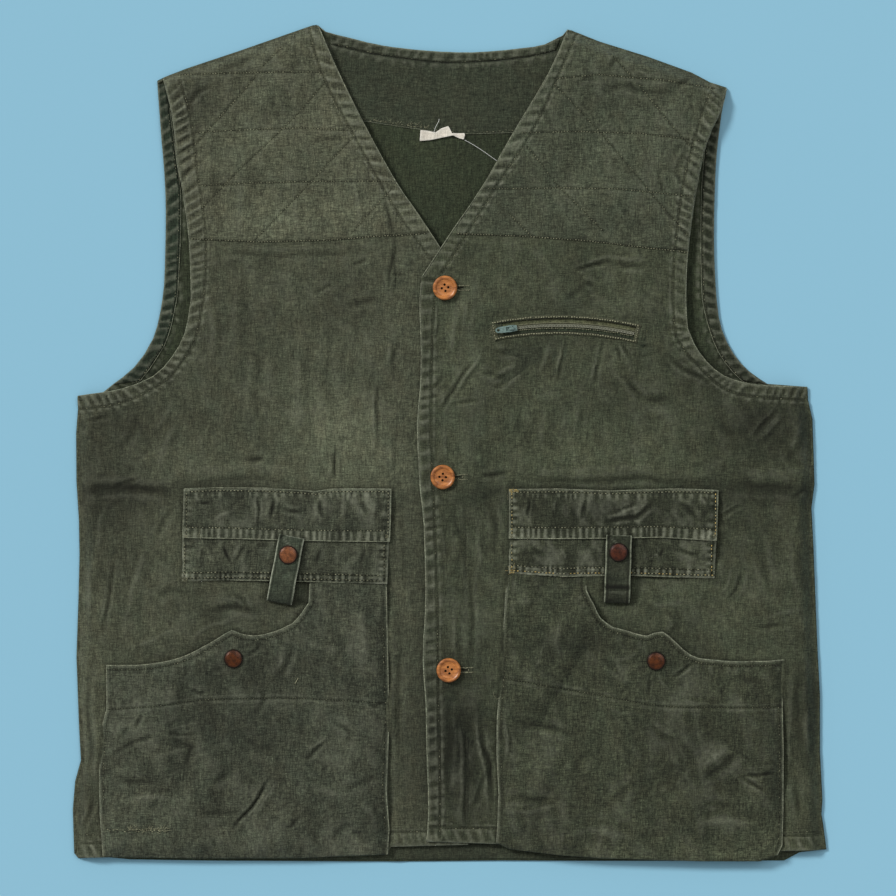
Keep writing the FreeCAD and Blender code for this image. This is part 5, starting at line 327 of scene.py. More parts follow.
YCREASES_R = [
    ([(-217.8, 281.3), (-215.4, 271.4), (-206.4, 286.2), (-193.2, 291.1)], 3.0, 1.00),
    ([(-215.4, 266.5), (-212.9, 279.6), (-203.1, 291.1), (-193.2, 294.4)], 3.0, -1.30),
    ([(-192.4, 304.2), (-171.9, 310.8), (-153.9, 320.6)], 5.0, -0.90),
    ([(-129.3, 333.7), (-128.5, 314.1)], 2.4, 1.00),
    ([(-99.8, 287.8), (-94.8, 271.4), (-89.9, 256.7)], 3.0, 0.80),
    ([(-109.6, 248.5), (-94.0, 249.3), (-81.7, 249.3)], 4.0, -0.90),
    ([(-127.6, 215.7), (-126.0, 199.3), (-124.4, 169.7)], 5.0, 0.80),
    ([(-175.2, 223.9), (-171.9, 199.3), (-173.6, 173.0)], 7.0, 0.70),
    ([(-80.1, 215.7), (-75.2, 191.1), (-73.5, 169.7)], 4.0, 0.80),
    ([(-53.0, 199.3), (-48.9, 182.9), (-45.6, 166.5)], 2.6, -1.30),
    ([(-47.3, 199.3), (-43.2, 181.2)], 2.2, 1.00),
    ([(-155.5, 248.5), (-153.9, 223.9)], 6.0, 0.60),
    ([(-139.1, 289.5), (-135.8, 264.9)], 6.0, 0.60),
    ([(-193.2, 232.1), (-191.6, 191.1)], 7.0, -0.60),
]
YCREASES_L = [
    ([(131.5, 304.2), (134.8, 312.4), (141.3, 317.3)], 3.0, -1.20),
    ([(146.2, 302.6), (156.1, 304.2), (162.6, 300.9), (174.1, 302.6)], 3.0, 1.20),
    ([(103.6, 294.4), (111.8, 299.3), (123.3, 299.3)], 3.0, -1.20),
    ([(123.3, 287.8), (139.7, 292.7), (156.1, 289.5), (188.9, 287.8)], 5.0, -1.10),
    ([(185.6, 291.1), (192.2, 296.0), (197.1, 299.3)], 3.0, -1.30),
    ([(192.2, 241.9), (187.2, 233.7), (182.3, 222.2)], 2.6, 1.10),
    ([(170.8, 223.9), (172.5, 212.4), (175.8, 202.5)], 3.0, -1.10),
    ([(179.0, 222.2), (185.6, 215.7), (186.4, 205.8)], 3.0, 1.00),
    ([(133.1, 199.3), (139.7, 189.4), (146.2, 179.6)], 4.0, 0.70),
    ([(74.1, 281.3), (80.6, 261.6)], 5.0, -0.70),
    ([(90.5, 240.3), (87.2, 215.7)], 6.0, 0.60),
    ([(123.3, 240.3), (126.6, 215.7)], 6.0, -0.50),
    ([(156.1, 273.1), (159.4, 256.7)], 6.0, 0.60),
]
PCREASES_R = [
    ([(-144.0, -268.1), (-150.6, -278.0), (-157.2, -291.1), (-165.4, -300.9), (-171.9, -310.8), (-180.1, -320.6)], 2.2, -2.60),
    ([(-137.5, -269.8), (-145.7, -282.9), (-153.9, -296.0), (-163.7, -309.1)], 4.0, 1.50),
    ([(-102.2, -245.2), (-111.2, -253.4), (-119.4, -261.6)], 2.4, -1.60),
    ([(-98.1, -240.3), (-109.6, -246.8), (-119.4, -253.4)], 3.0, 1.00),
    ([(-121.9, -303.4), (-127.6, -309.1), (-133.4, -316.5)], 2.4, -1.60),
    ([(-117.8, -297.7), (-126.0, -302.6)], 3.0, 0.90),
    ([(-127.6, -163.2), (-132.6, -177.9), (-140.8, -194.3)], 4.0, -1.80),
    ([(-135.8, -161.5), (-139.1, -177.9), (-147.3, -191.1)], 3.0, 1.00),
    ([(-153.9, -164.0), (-160.4, -169.7), (-167.0, -175.5)], 2.2, -1.80),
    ([(-181.8, -179.6), (-186.7, -184.5), (-194.9, -186.1)], 3.0, -1.20),
    ([(-149.0, -163.2), (-162.1, -161.5), (-175.2, -168.1)], 3.0, 1.00),
    ([(-235.1, -237.0), (-221.1, -238.6), (-203.9, -237.8)], 2.2, -1.30),
    ([(-235.1, -236.2), (-219.5, -232.1), (-203.9, -227.1)], 2.4, 1.00),
    ([(-235.9, -237.0), (-257.2, -245.2), (-280.2, -257.5)], 2.6, -1.20),
    ([(-251.5, -222.2), (-254.7, -228.8), (-257.2, -236.2)], 2.2, -1.70),
    ([(-244.1, -222.2), (-248.2, -228.8)], 2.2, -1.10),
    ([(-68.6, -214.0), (-60.4, -215.7), (-50.6, -214.0)], 2.6, -1.80),
    ([(-226.0, -243.5), (-212.9, -250.1), (-216.2, -261.6), (-222.8, -266.5)], 5.0, -1.50),
    ([(-278.5, -273.1), (-258.0, -276.3), (-231.0, -278.0)], 5.0, -1.20),
    ([(-270.3, -292.7), (-245.7, -289.5), (-212.9, -292.7)], 7.0, 1.20),
    ([(-272.0, -245.2), (-267.0, -238.6), (-260.5, -233.7)], 4.0, -1.10),
    ([(-196.5, -281.3), (-186.7, -273.1), (-176.8, -268.1)], 5.0, -1.20),
    ([(-208.0, -305.0), (-188.3, -302.6), (-168.6, -302.6)], 5.0, -1.00),
    ([(-122.7, -276.3), (-98.1, -286.2), (-81.7, -292.7)], 6.0, 0.80),
    ([(-98.1, -227.1), (-80.1, -237.0), (-86.6, -246.8)], 4.0, -1.00),
    ([(-88.3, -284.5), (-65.3, -276.3), (-53.0, -268.1)], 5.0, -1.00),
    ([(-77.6, -292.7), (-63.7, -302.6), (-57.1, -322.3)], 6.0, 1.00),
    ([(-280.2, -191.1), (-278.5, -210.7)], 3.0, 0.80),
    ([(-212.9, -200.9), (-204.7, -204.2), (-199.8, -202.5)], 2.4, -1.40),
    ([(-122.7, -161.5), (-98.1, -169.7), (-73.5, -168.1)], 7.0, 0.80),
    ([(-98.1, -136.9), (-89.9, -161.5), (-94.8, -194.3)], 7.0, -0.70),
    ([(-73.5, -128.7), (-70.2, -161.5), (-73.5, -194.3)], 7.0, 0.80),
    ([(-153.9, -202.5), (-152.2, -210.7), (-157.2, -220.6)], 3.0, -0.90),
    ([(-194.9, -325.5), (-191.6, -333.7)], 4.0, -0.90),
    ([(-98.1, -325.5), (-89.9, -315.7), (-80.1, -310.8)], 5.0, -0.80),
    ([(-171.9, -243.5), (-153.9, -250.1), (-135.8, -246.8)], 8.0, -0.80),
    ([(-245.7, -259.9), (-229.3, -253.4), (-212.9, -251.7)], 6.0, 0.70),
    ([(-263.8, -302.6), (-265.4, -314.1)], 3.0, 0.90),
]
PCREASES_L = [
    ([(200.4, -176.3), (192.2, -184.5), (182.3, -191.9)], 2.4, -2.00),
    ([(195.4, -171.4), (185.6, -181.2)], 3.0, 1.10),
    ([(163.5, -185.3), (162.6, -197.6), (161.8, -210.7)], 1.8, -1.20),
    ([(156.1, -169.7), (146.2, -176.3), (133.1, -177.9)], 3.0, 1.00),
    ([(169.2, -181.2), (172.5, -194.3), (182.3, -202.5)], 3.0, 0.90),
    ([(237.3, -271.4), (254.5, -271.4), (271.7, -272.2)], 2.2, -1.90),
    ([(238.1, -272.2), (247.9, -278.0), (261.0, -286.2)], 2.2, -1.70),
    ([(239.7, -266.5), (254.5, -264.9), (270.9, -265.7)], 3.0, 1.00),
    ([(239.7, -255.0), (246.3, -261.6)], 2.0, -1.20),
    ([(236.4, -268.1), (233.2, -274.7), (234.8, -284.5)], 3.0, 0.90),
    ([(43.7, -222.2), (47.0, -241.9), (46.2, -261.6)], 2.2, 1.20),
    ([(41.3, -227.1), (43.7, -247.6), (42.9, -264.0)], 1.8, -1.00),
    ([(47.0, -225.5), (57.7, -228.8), (71.6, -232.1), (106.9, -240.3)], 5.0, -1.20),
    ([(49.5, -220.6), (74.1, -222.2), (90.5, -228.8)], 4.0, 0.80),
    ([(235.6, -250.1), (223.3, -264.9), (206.9, -278.0)], 6.0, -1.40),
    ([(226.6, -246.8), (215.1, -258.3), (200.4, -269.8)], 5.0, 0.90),
    ([(164.3, -230.4), (174.1, -240.3), (185.6, -241.9)], 5.0, -0.90),
    ([(123.3, -245.2), (106.9, -258.3), (98.7, -281.3)], 7.0, -0.80),
    ([(156.1, -276.3), (139.7, -286.2), (128.2, -296.0)], 6.0, -0.80),
    ([(78.2, -161.5), (74.1, -174.7), (65.9, -189.4)], 3.0, 1.00),
    ([(123.3, -161.5), (128.2, -177.9), (139.7, -191.1)], 4.0, -0.80),
    ([(90.5, -136.9), (87.2, -161.5), (92.1, -177.9)], 6.0, 0.80),
    ([(41.3, -292.7), (57.7, -291.1), (90.5, -292.7)], 5.0, -0.90),
    ([(44.6, -302.6), (61.0, -302.6), (87.2, -297.7)], 4.0, 0.80),
    ([(205.3, -292.7), (221.7, -297.7), (239.7, -294.4)], 5.0, -0.90),
    ([(197.1, -314.1), (221.7, -309.1), (254.5, -310.8)], 8.0, 1.10),
    ([(90.5, -322.3), (115.1, -317.3), (156.1, -322.3)], 8.0, 0.90),
    ([(188.9, -210.7), (205.3, -214.0), (215.1, -212.4)], 4.0, 0.70),
    ([(221.7, -194.3), (238.1, -191.1), (262.7, -197.6)], 6.0, -0.70),
    ([(123.3, -210.7), (139.7, -220.6), (156.1, -220.6)], 4.0, 0.70),
    ([(247.9, -292.7), (244.6, -309.1)], 3.0, -0.80),
    ([(90.5, -317.3), (92.1, -330.5)], 3.0, 0.80),
]
POCKET_R = [
    ([(-160.4, -43.5), (-158.8, -54.9), (-158.8, -68.1)], 2.2, 1.20),
    ([(-157.2, -43.5), (-155.5, -56.6)], 2.0, -1.10),
    ([(-144.0, -43.5), (-144.9, -53.3), (-146.5, -63.1)], 2.4, -1.50),
    ([(-208.0, -49.2), (-200.6, -50.0), (-193.2, -49.2)], 2.4, -1.30),
    ([(-198.2, -64.8), (-186.7, -59.9), (-171.9, -53.3)], 4.0, 0.80),
    ([(-137.5, -51.7), (-129.3, -54.9), (-117.8, -54.9)], 3.0, -1.20),
    ([(-106.3, -46.7), (-104.7, -59.9)], 3.0, -1.20),
    ([(-85.8, -43.5), (-88.3, -64.8)], 4.0, 0.80),
    ([(-73.5, -46.7), (-67.0, -59.9)], 4.0, -1.00),
    ([(-60.4, -46.7), (-63.7, -63.1)], 3.0, 0.80),
    ([(-186.7, -81.2), (-183.4, -89.4), (-179.3, -99.2)], 2.0, -1.50),
    ([(-166.2, -82.8), (-171.1, -89.4), (-175.2, -97.6)], 3.0, -1.20),
    ([(-159.6, -86.1), (-145.7, -84.5)], 3.0, -0.90),
    ([(-106.3, -86.1), (-109.6, -100.9)], 3.0, -1.20),
    ([(-88.3, -84.5), (-83.4, -95.9)], 4.0, 0.90),
    ([(-69.4, -86.1), (-73.5, -100.9)], 3.0, -1.00),
    ([(-204.7, -84.5), (-206.4, -95.9)], 3.0, 0.80),
]
POCKET_L = [
    ([(121.6, -66.4), (136.4, -63.1), (152.8, -61.5), (164.3, -51.7), (171.7, -44.3)], 3.0, -1.70),
    ([(126.6, -61.5), (141.3, -57.4), (156.1, -51.7)], 3.0, 1.10),
    ([(63.4, -43.5), (64.2, -50.8), (63.4, -59.0)], 2.0, -1.70),
    ([(87.2, -43.5), (83.9, -59.9)], 3.0, 0.90),
    ([(111.0, -45.1), (106.9, -63.1)], 3.0, -1.00),
    ([(156.1, -69.7), (152.8, -61.5)], 3.0, 0.70),
    ([(188.9, -46.7), (197.1, -56.6), (202.0, -66.4)], 4.0, -1.00),
    ([(205.3, -45.1), (211.8, -53.3)], 3.0, 1.00),
    ([(174.9, -84.5), (172.5, -94.3)], 3.0, -1.40),
    ([(162.6, -95.9), (168.4, -91.0), (172.5, -92.7)], 2.6, 1.10),
    ([(185.6, -86.1), (197.1, -91.0), (205.3, -89.4)], 3.0, -1.10),
    ([(65.9, -86.1), (78.2, -92.7)], 4.0, -0.80),
    ([(90.5, -84.5), (95.4, -95.9)], 4.0, 0.80),
]
# Soft spots that scale the cloth's colour (x, y, rx, ry in mm, and amount). The rings at the three buttons and the thin
# dark lines just above the pocket tops are painted shadow; the others lighten or darken patches of the cloth.
FADES_AND_PAINTED_SHADOWS = [(-123, 224, 70, 49, 0.16), (-123, 187, 57, 18, 0.22), (-205, 283, 16, 18, -0.38), (-174, 312, 25, 10, -0.15), (-45, 171, 20, 20, -0.05), (-94, 2, 51, 51, 0.62), (-57, -22, 25, 16, 0.20), (-238, -19, 45, 18, 0.18), (-295, -170, 18, 74, 0.30), (-262, -39, 51, 9, -0.34), (-262, -311, 33, 20, 0.32), (-299, -311, 10, 25, -0.10), (-174, -139, 34, 12, -0.32), (-168, -184, 45, 16, -0.28), (-180, -227, 57, 33, -0.22), (-238, -293, 33, 18, 0.10), (-238, 61, 21, 16, -0.28), (-270, 23, 41, 18, -0.18), (-201, 76, 15, 20, -0.20), (-1, -239, 25, 43, -0.50), (-20, -285, 33, 25, -0.20), (-1, -162, 21, 33, -0.10), (100, -7, 61, 18, 0.26), (25, 117, 33, 25, 0.10), (209, 58, 28, 23, -0.42), (263, 15, 49, 28, -0.42), (264, -40, 51, 11, -0.50), (49, -39, 57, 10, -0.25), (133, -92, 94, 34, -0.30), (201, -122, 41, 16, 0.28), (103, -163, 51, 11, -0.34), (205, -170, 25, 18, -0.20), (287, -227, 20, 66, -0.36), (205, -248, 49, 33, -0.28), (238, -335, 74, 11, 0.42), (156, -334, 41, 10, 0.20), (123, -293, 74, 25, -0.05), (273, -129, 30, 25, 0.12), (74, 68, 25, 13, -0.12), (156, 35, 33, 16, -0.22), (140, 109, 66, 18, -0.05), (156, 294, 49, 15, -0.12), (-98, -96, 49, 25, -0.05), (-320, -129, 16, 49, 0.10), (160, 240, 49, 41, 0.12), (-277, -39, 34, 66, -0.36), (-295, -129, 20, 49, -0.16), (264, -96, 38, 66, -0.20), (263, 20, 49, 25, -0.25), (-21, 93, 7, 57, -0.10), (-19, -47, 7, 164, -0.22), (-18, -227, 7, 98, -0.15), (13, -260, 33, 82, -0.36), (13, -96, 28, 74, -0.10), (133, -55, 89, 17, -0.34), (-133, -53, 90, 16, -0.16), (-168, -34, 54, 3, -0.42), (197, -35, 28, 3, -0.30), (90, -36, 41, 2, -0.22), (-216, -107, 4, 8, 0.55), (-210, -74, 8, 3, 0.30), (215, -102, 7, 6, 0.35), (52, -96, 3, 10, 0.25), (-51, -96, 3, 20, 0.20), (-283, -330, 5, 13, 0.25), (-4, 125, 11, 11, -0.30), (-5, -30, 11, 11, -0.30), (-1, -188, 11, 11, -0.30), (-216, 261, 11, 28, -0.34), (-300, -276, 8, 49, -0.22), (-246, 53, 30, 10, -0.22), (-178, -324, 49, 8, 0.26), (-86, -324, 30, 10, 0.22), (261, -319, 16, 11, 0.45), (-123, -134, 13, 18, -0.26), (166, -178, 11, 9, -0.30), (-178, -177, 10, 8, -0.24), (103, 75, 13, 20, 0.18), (238, 53, 20, 10, -0.20), (-213, -104, 11, 8, 0.14), (-86, -174, 21, 11, 0.14), (-90, -198, 15, 8, -0.14), (133, -57, 87, 18, -0.22), (133, -96, 82, 11, -0.12), (-33, -244, 10, 66, -0.24), (-11, -96, 10, 164, -0.10), (-11, 52, 10, 66, -0.08), (-295, -30, 11, 57, -0.14), (297, -326, 13, 10, -0.30), (17, -203, 20, 33, -0.14), (78, -248, 33, 33, 0.06), (90, -145, 33, 16, 0.10), (226, -10, 21, 13, 0.12), (13, -260, 18, 43, -0.22), (-277, -43, 25, 51, -0.14), (-297, -170, 11, 43, -0.11), (-18, 43, 5, 66, -0.08), (263, 19, 30, 18, -0.12), (131, -56, 75, 11, -0.14), (86, -96, 31, 10, -0.10), (-180, -95, 28, 10, 0.12)]

OUT = {k: np.array(v, float) for k, v in OUTLINES.items()}
LIN = {k: (np.array(v, float) if not k.startswith("QUILT") else [np.array(q, float) for q in v]) for k, v in LINES.items()}
BUTTONS = [(-3.81, 127.10), (-5.71, -27.88), (-0.79, -186.14)]
PIVOT = {"right": (-139.53, -129.56, 9.9, -11.0, 38.84), "left": (136.81, -129.56, 12.1, -1.8, 40.20)}
CAPS = {"right": (-177.00, -176.63), "left": (168.96, -178.43)}
ZC, ZR, ZA0, ZA1 = (89.39, -191.33), 287.75, 99.15, 77.01


# ------------------------------------------------------------------ small geometry tools
def sm(t):
    t = np.clip(t, 0.0, 1.0)
    return t * t * (3 - 2 * t)


def along(P, L):
    """Distance from each point to an open line, arclength of the nearest point, signed side, length."""
    best = np.full(len(P), 1e9)
    S = np.zeros(len(P))
    D = np.zeros(len(P))
    acc = 0.0
    for a, b in zip(L[:-1], L[1:]):
        d = b - a
        l = math.hypot(*d)
        if l < 1e-6:
            continue
        q = P - a
        t = np.clip((q @ d) / (l * l), 0, 1)
        r = q - t[:, None] * d
        e = np.hypot(r[:, 0], r[:, 1])
        m = e < best
        best[m] = e[m]
        S[m] = acc + t[m] * l
        D[m] = np.where((d[0] * q[m, 1] - d[1] * q[m, 0]) >= 0, e[m], -e[m])
        acc += l
    return best, S, D, acc


def dist(P, L):
    return along(P, L)[0]


def inside(P, poly):
    x, y = P[:, 0], P[:, 1]
    hit = np.zeros(len(P), bool)
    for (x0, y0), (x1, y1) in zip(poly, np.roll(poly, -1, 0)):
        if y0 == y1:
            continue
        m = (y0 > y) != (y1 > y)
        hit ^= m & (x < (x1 - x0) * (y - y0) / (y1 - y0) + x0)
    return hit


LAT = {}


def lattice(seed):
    if seed not in LAT:
        LAT[seed] = np.random.default_rng(1000 + seed).random((128, 128)) * 2 - 1
    return LAT[seed]


def noise(P, size, seed, turn=0.0):
    """Smooth seeded noise, -1..1. size is one or two wavelengths in mm."""
    sx, sy = (size, size) if np.isscalar(size) else size
    c, s = math.cos(math.radians(turn)), math.sin(math.radians(turn))
    u = (P[:, 0] * c + P[:, 1] * s) / sx + 300.3
    v = (-P[:, 0] * s + P[:, 1] * c) / sy + 300.7
    g = lattice(seed)
    iu, iv = np.floor(u).astype(int), np.floor(v).astype(int)
    fu, fv = u - iu, v - iv
    fu, fv = fu**3 * (fu * (fu * 6 - 15) + 10), fv**3 * (fv * (fv * 6 - 15) + 10)
    a, b = g[iu % 128, iv % 128], g[(iu + 1) % 128, iv % 128]
    c2, d = g[iu % 128, (iv + 1) % 128], g[(iu + 1) % 128, (iv + 1) % 128]
    return (a * (1 - fu) + b * fu) * (1 - fv) + (c2 * (1 - fu) + d * fu) * fv


def fbm(P, size, seed, octaves=3, turn=0.0):
    out, amp, tot = np.zeros(len(P)), 1.0, 0.0
    for k in range(octaves):
        f = 2.03**k
        sz = size / f if np.isscalar(size) else (size[0] / f, size[1] / f)
        out += amp * noise(P, sz, seed + 17 * k, turn + 23 * k)
        tot += amp
        amp *= 0.5
    return out / tot * 1.6


def crumple(P, size, seed, turn=0.0):
    """Thin soft creases: the crests of a warped noise."""
    w = np.stack([noise(P, 31, seed + 3), noise(P, 29, seed + 4)], 1) * 9.0
    n = fbm(P + w, size, seed, 2, turn)
    return np.clip(1 - np.abs(n) * 4.2, 0, 1) ** 2 * sm(0.5 + 1.4 * noise(P, 70, seed + 6))


def strokes(P, table):
    """Height in mm of the listed creases, and a map of wear and painted shade: crests pale for wear, valleys and one
    side of each ridge darkened as painted shade.
    """
    z, wear_and_shade = np.zeros(len(P)), np.zeros(len(P))
    for pts, w, h in table:
        L = np.array(pts, float)
        lo, hi = L.min(0) - 4.5 * w, L.max(0) + 4.5 * w
        m = np.nonzero(((P > lo) & (P < hi)).all(1))[0]
        if not len(m):
            continue
        wob = np.stack([noise(P[m], 17, 71), noise(P[m], 15, 72)], 1) * 1.3 + np.stack([noise(P[m], 6, 73), noise(P[m], 5, 74)], 1) * 0.35
        d, s, side, total = along(P[m] + wob, L)
        end = sm(np.minimum(s, total - s) / (0.4 * total)) ** 0.7
        if h > 0:
            f = end * (np.exp(-(np.abs(side) / (0.62 * w)) ** 1.35) - 0.35 * np.exp(-(((np.abs(side) - 1.6 * w) / (0.8 * w)) ** 2)))
            z[m] += 0.85 * h * f
            # Ridge: pale along the crest for wear, a painted shadow line along one side.
            wear_and_shade[m] += end * h * (0.15 * np.exp(-((side / (0.35 * w)) ** 2)) - 0.16 * np.exp(-(((side - 0.95 * w) / (0.34 * w)) ** 2)))
        else:
            f = end * (np.exp(-np.abs(side) / (0.46 * w)) - 0.40 * np.exp(-(((np.abs(side) - 1.35 * w) / (0.75 * w)) ** 2)))
            z[m] += h * f
            # Valley: painted shade along the bottom, slightly paler shoulders beside it.
            wear_and_shade[m] += end * h * (0.36 * np.exp(-((side / (0.30 * w + 0.25)) ** 2)) - 0.07 * np.exp(-(((np.abs(side) - 1.15 * w) / (0.4 * w)) ** 2)))
    return z, wear_and_shade


def spots(P, table):
    f = np.ones(len(P))
    for x, y, rx, ry, a in table:
        f *= 1 + a * np.exp(-(((P[:, 0] - x) / rx) ** 2) - ((P[:, 1] - y) / ry) ** 2)
    return f


def pucker(P, edge, seam, pitch, amp, slant=0.5, seed=1, spill=7.0):
    """Ribs pulled up along a stitched turned edge, between edge and seam, fading beyond the seam."""
    d1, s1, side1, _ = along(P, edge)
    d2, s2, side2, _ = along(P, seam)
    width = d1 + d2 + 1e-6
    mean = 13.0
    within = (d1 + d2) < mean * 1.35
    frac = d1 / width
    Q = np.stack([s2, np.full(len(P), 7.0 * seed)], 1)
    phase = s2 / pitch + 0.9 * noise(Q, pitch * 3.1, seed + 40) + slant * d1 / mean
    rib = np.sin(2 * math.pi * phase) + 0.45 * np.sin(2 * math.pi * phase * 1.9 + 1.0)
    live = 0.55 + 0.75 * np.clip(noise(Q, pitch * 5.3, seed + 60) + 0.35, 0, 1)
    f = np.where(within, np.sin(math.pi * np.clip(frac, 0, 1)) ** 0.75, np.exp(-((d2 / spill) ** 2)) * 0.38)
    f = np.where(within, f, np.where(d1 > d2, f, 0))
    z = 1.18 * amp * rib * live * f
    z += np.where(within, 0.30 * np.sin(math.pi * np.clip(frac, 0, 1)) ** 0.5, 0)
    z -= 0.60 * np.exp(-((d2 / 0.95) ** 2))
    # Rib tops paler and troughs darker, partly wear and partly painted shade; painted shade in the seam groove, paler
    # just beside it; the folded edge paler for wear.
    wear_and_shade = np.where(within, 0.25 * rib * live * f + 0.045, 0.10 * rib * f) - 0.40 * np.exp(-((d2 / 0.9) ** 2)) + 0.14 * np.exp(-(((d2 - 2.2) / 1.0) ** 2)) * within
    wear_and_shade += 0.35 * np.exp(-((d1 / 0.9) ** 2))
    return z, wear_and_shade


def quilt(P, lines, depth=0.55):
    z, wear_and_shade = np.zeros(len(P)), np.zeros(len(P))
    for k, L in enumerate(lines):
        d, s, side, total = along(P, L)
        Q = np.stack([s, np.full(len(P), 11.0 * k)], 1)
        z -= depth * np.exp(-((d / 1.05) ** 2))
        z += 0.10 * np.sin(2 * math.pi * (s / 6.4 + 0.8 * noise(Q, 20, 5))) * np.exp(-((d / 4.0) ** 2))
        # Painted shade along each quilting groove, a little paler beside it.
        wear_and_shade -= 0.20 * np.exp(-((d / 0.95) ** 2))
        wear_and_shade += 0.06 * np.exp(-(((d - 2.3) / 1.2) ** 2))
    return z, wear_and_shade


# ------------------------------------------------------------------ cloth surfaces, mm above the ground
RELIEF = {}


def slack(key, P):
    return RELIEF[key](P) if key in RELIEF else np.zeros(len(P))


def near(P, c, r):
    return np.exp(-(((P[:, 0] - c[0]) ** 2 + (P[:, 1] - c[1]) ** 2) / (r * r)) ** 2)


def strap_shade(P, side):
    """1 in a narrow line beside the strap, where it keeps the light out."""
    px, py, _, tilt, _ = PIVOT[side]
    a = math.radians(tilt)
    u = (P[:, 0] - px) * math.cos(a) + (P[:, 1] - py) * math.sin(a)
    v = -(P[:, 0] - px) * math.sin(a) + (P[:, 1] - py) * math.cos(a)
    out = np.maximum(np.abs(u) - 10.6, 0)
    return np.exp(-((out / 1.9) ** 2)) * (np.abs(u) > 8.0) * sm((v + 3.5) / 2.0) * sm((57.0 - v) / 2.0)


def outline_shade(P, side):
    """1 just outside a patch that is sewn on top, where the cloth gets a painted shadow line."""
    k = "R" if side == "right" else "L"
    f = np.zeros(len(P))
    for poly in (OUT[k + "POUCH"], OUT[k + "PATCH"], OUT[k + "BAND"]):
        lo, hi = poly.min(0) - 5, poly.max(0) + 5
        m = np.nonzero(((P > lo) & (P < hi)).all(1))[0]
        loop = np.vstack([poly, poly[:1]])
        f[m] = np.maximum(f[m], (~inside(P[m], poly)) * np.exp(-(((dist(P[m], loop) - 0.5) / 1.5) ** 2)))
    return f


def keep_flat(P, side):
    """0 where something hard sits on the cloth, 1 elsewhere."""
    f = np.ones(len(P))
    for b in BUTTONS:
        f *= 1 - near(P, b, 15)
    px, py = PIVOT[side][:2]
    f *= 1 - near(P, (px, py + 5), 15)
    if side == "left":
        r = np.hypot(P[:, 0] - ZC[0], P[:, 1] - ZC[1]) - ZR
        a = np.degrees(np.arctan2(P[:, 1] - ZC[1], P[:, 0] - ZC[0]))
        zone = np.exp(-((r / 13.0) ** 4)) * sm((a - 75.2) / 1.6) * sm((101.0 - a) / 1.6)
        f *= 1 - zone
    return f


def base(P, side):
    R = side == "right"
    s = "_R" if R else "_L"
    top = 8.0 if R else 10.2
    seam = sm(dist(P, LIN["SIDE" + s]) / 13.5) * sm(dist(P, LIN["SH" + s]) / 11.0)
    z = 2.05 + (top - 2.05) * seam
    z -= 2.3 * np.exp(-((dist(P, LIN["ARM" + s]) / 17.0) ** 2)) * seam
    neck = dist(P, LIN["NECK" + s])
    z -= (1.3 if R else 1.0) * np.exp(-((neck / 13.0) ** 2)) * seam * sm((P[:, 1] - 155.0) / 50.0)
    hem = dist(P, LIN["HEM" + s])
    z -= 2.4 * np.exp(-((hem / 20.0) ** 2)) * seam
    if not R:
        z -= 0.25 * np.exp(-((dist(P, LIN["PLACK"]) / 6.0) ** 2))
    return z


def under(P, side):
    """1 where a pouch or small pocket hides the front."""
    k = "R" if side == "right" else "L"
    f = np.zeros(len(P))
    for poly in (OUT[k + "POUCH"], OUT[k + "PATCH"], OUT[k + "BAND"]):
        loop = np.vstack([poly, poly[:1]])
        f = np.maximum(f, inside(P, poly) * sm(dist(P, loop) / 6.0))
    return f


def front(P, side):
    """Top of a front panel: (z, wear)."""
    R = side == "right"
    s = "_R" if R else "_L"
    z = base(P, side)
    seam = sm(dist(P, LIN["SIDE" + s]) / 16.0) * sm(dist(P, LIN["SH" + s]) / 12.0)
    calm = keep_flat(P, side) * (1 - under(P, side))
    if R:
        calm = calm * (0.12 + 0.88 * sm((-P[:, 0] - 26.0) / 22.0))
    sd = 10 if R else 30
    big = 0.75 * fbm(P, (95, 140), sd, 2, 20 if R else -20) + 0.85 * slack("front" + s, P)
    mid = 0.38 * fbm(P, (26, 52), sd + 1, 2, 12 if R else -14) + 0.12 * fbm(P, (9, 13), sd + 7, 2)
    cr = 0.42 * crumple(P, (60, 85), sd + 2, 25 if R else -30) + 0.30 * crumple(P, (30, 44), sd + 3, -30 if R else 35)
    st, wear_and_shade = strokes(P, CREASES_R if R else CREASES_L)
    ys, yw = strokes(P, YCREASES_R if R else YCREASES_L)
    free = (big + mid + cr + st + ys) * seam * calm
    if not R:
        free = np.where(P[:, 0] < 12.0, np.maximum(free, -0.15 * np.ones(len(P))) , free)
    else:
        free = np.where(P[:, 0] > -45.0, np.minimum(free, 0.2), free)
    z += free
    # Paler on the crumple crests, partly wear and partly painted highlight, plus fine random tone.
    wear_and_shade = (wear_and_shade + yw) * calm + (0.16 * cr + 0.05 * fbm(P, (7, 16), sd + 8, 2, 15)) * calm
    arm, w1 = pucker(P, LIN["ARM" + s], LIN["ARM" + s + "_ST"], 8.2, 0.62, 0.7, 3 if R else 4)
    neck, w2 = pucker(P, LIN["NECK" + s], LIN["NECK" + s + "_ST"], 10.5, 0.34, 0.8, 5 if R else 6)
    z += arm + (neck if not R else neck * (0.25 + 0.75 * sm((P[:, 1] - 145.0) / 20.0)))
    wear_and_shade += w1 + w2 * (1.0 if not R else sm((P[:, 1] - 140.0) / 20.0))
    hemline = LIN["HEM" + s] + (np.array([0.0, 11.8]) if R else np.array([0.0, 12.6]))
    hm, w3 = pucker(P, LIN["HEM" + s], hemline, 9.0, 0.26, 0.6, 7 if R else 8)
    side_in = seam * (1 - under(P, side))
    z += hm * side_in
    wear_and_shade += w3 * side_in
    if not R:
        pl, w4 = pucker(P, LIN["PLACK"], LIN["PLACK_ST"], 10.8, 0.30, 0.3, 9, 6.0)
        f = keep_flat(P, side)
        z += np.maximum(pl, -0.45) * f
        wear_and_shade += w4
    # Painted shadow lines just outside the sewn-on patches and beside the strap.
    wear_and_shade -= 0.34 * outline_shade(P, side) + 0.40 * strap_shade(P, side)
    return z, wear_and_shade


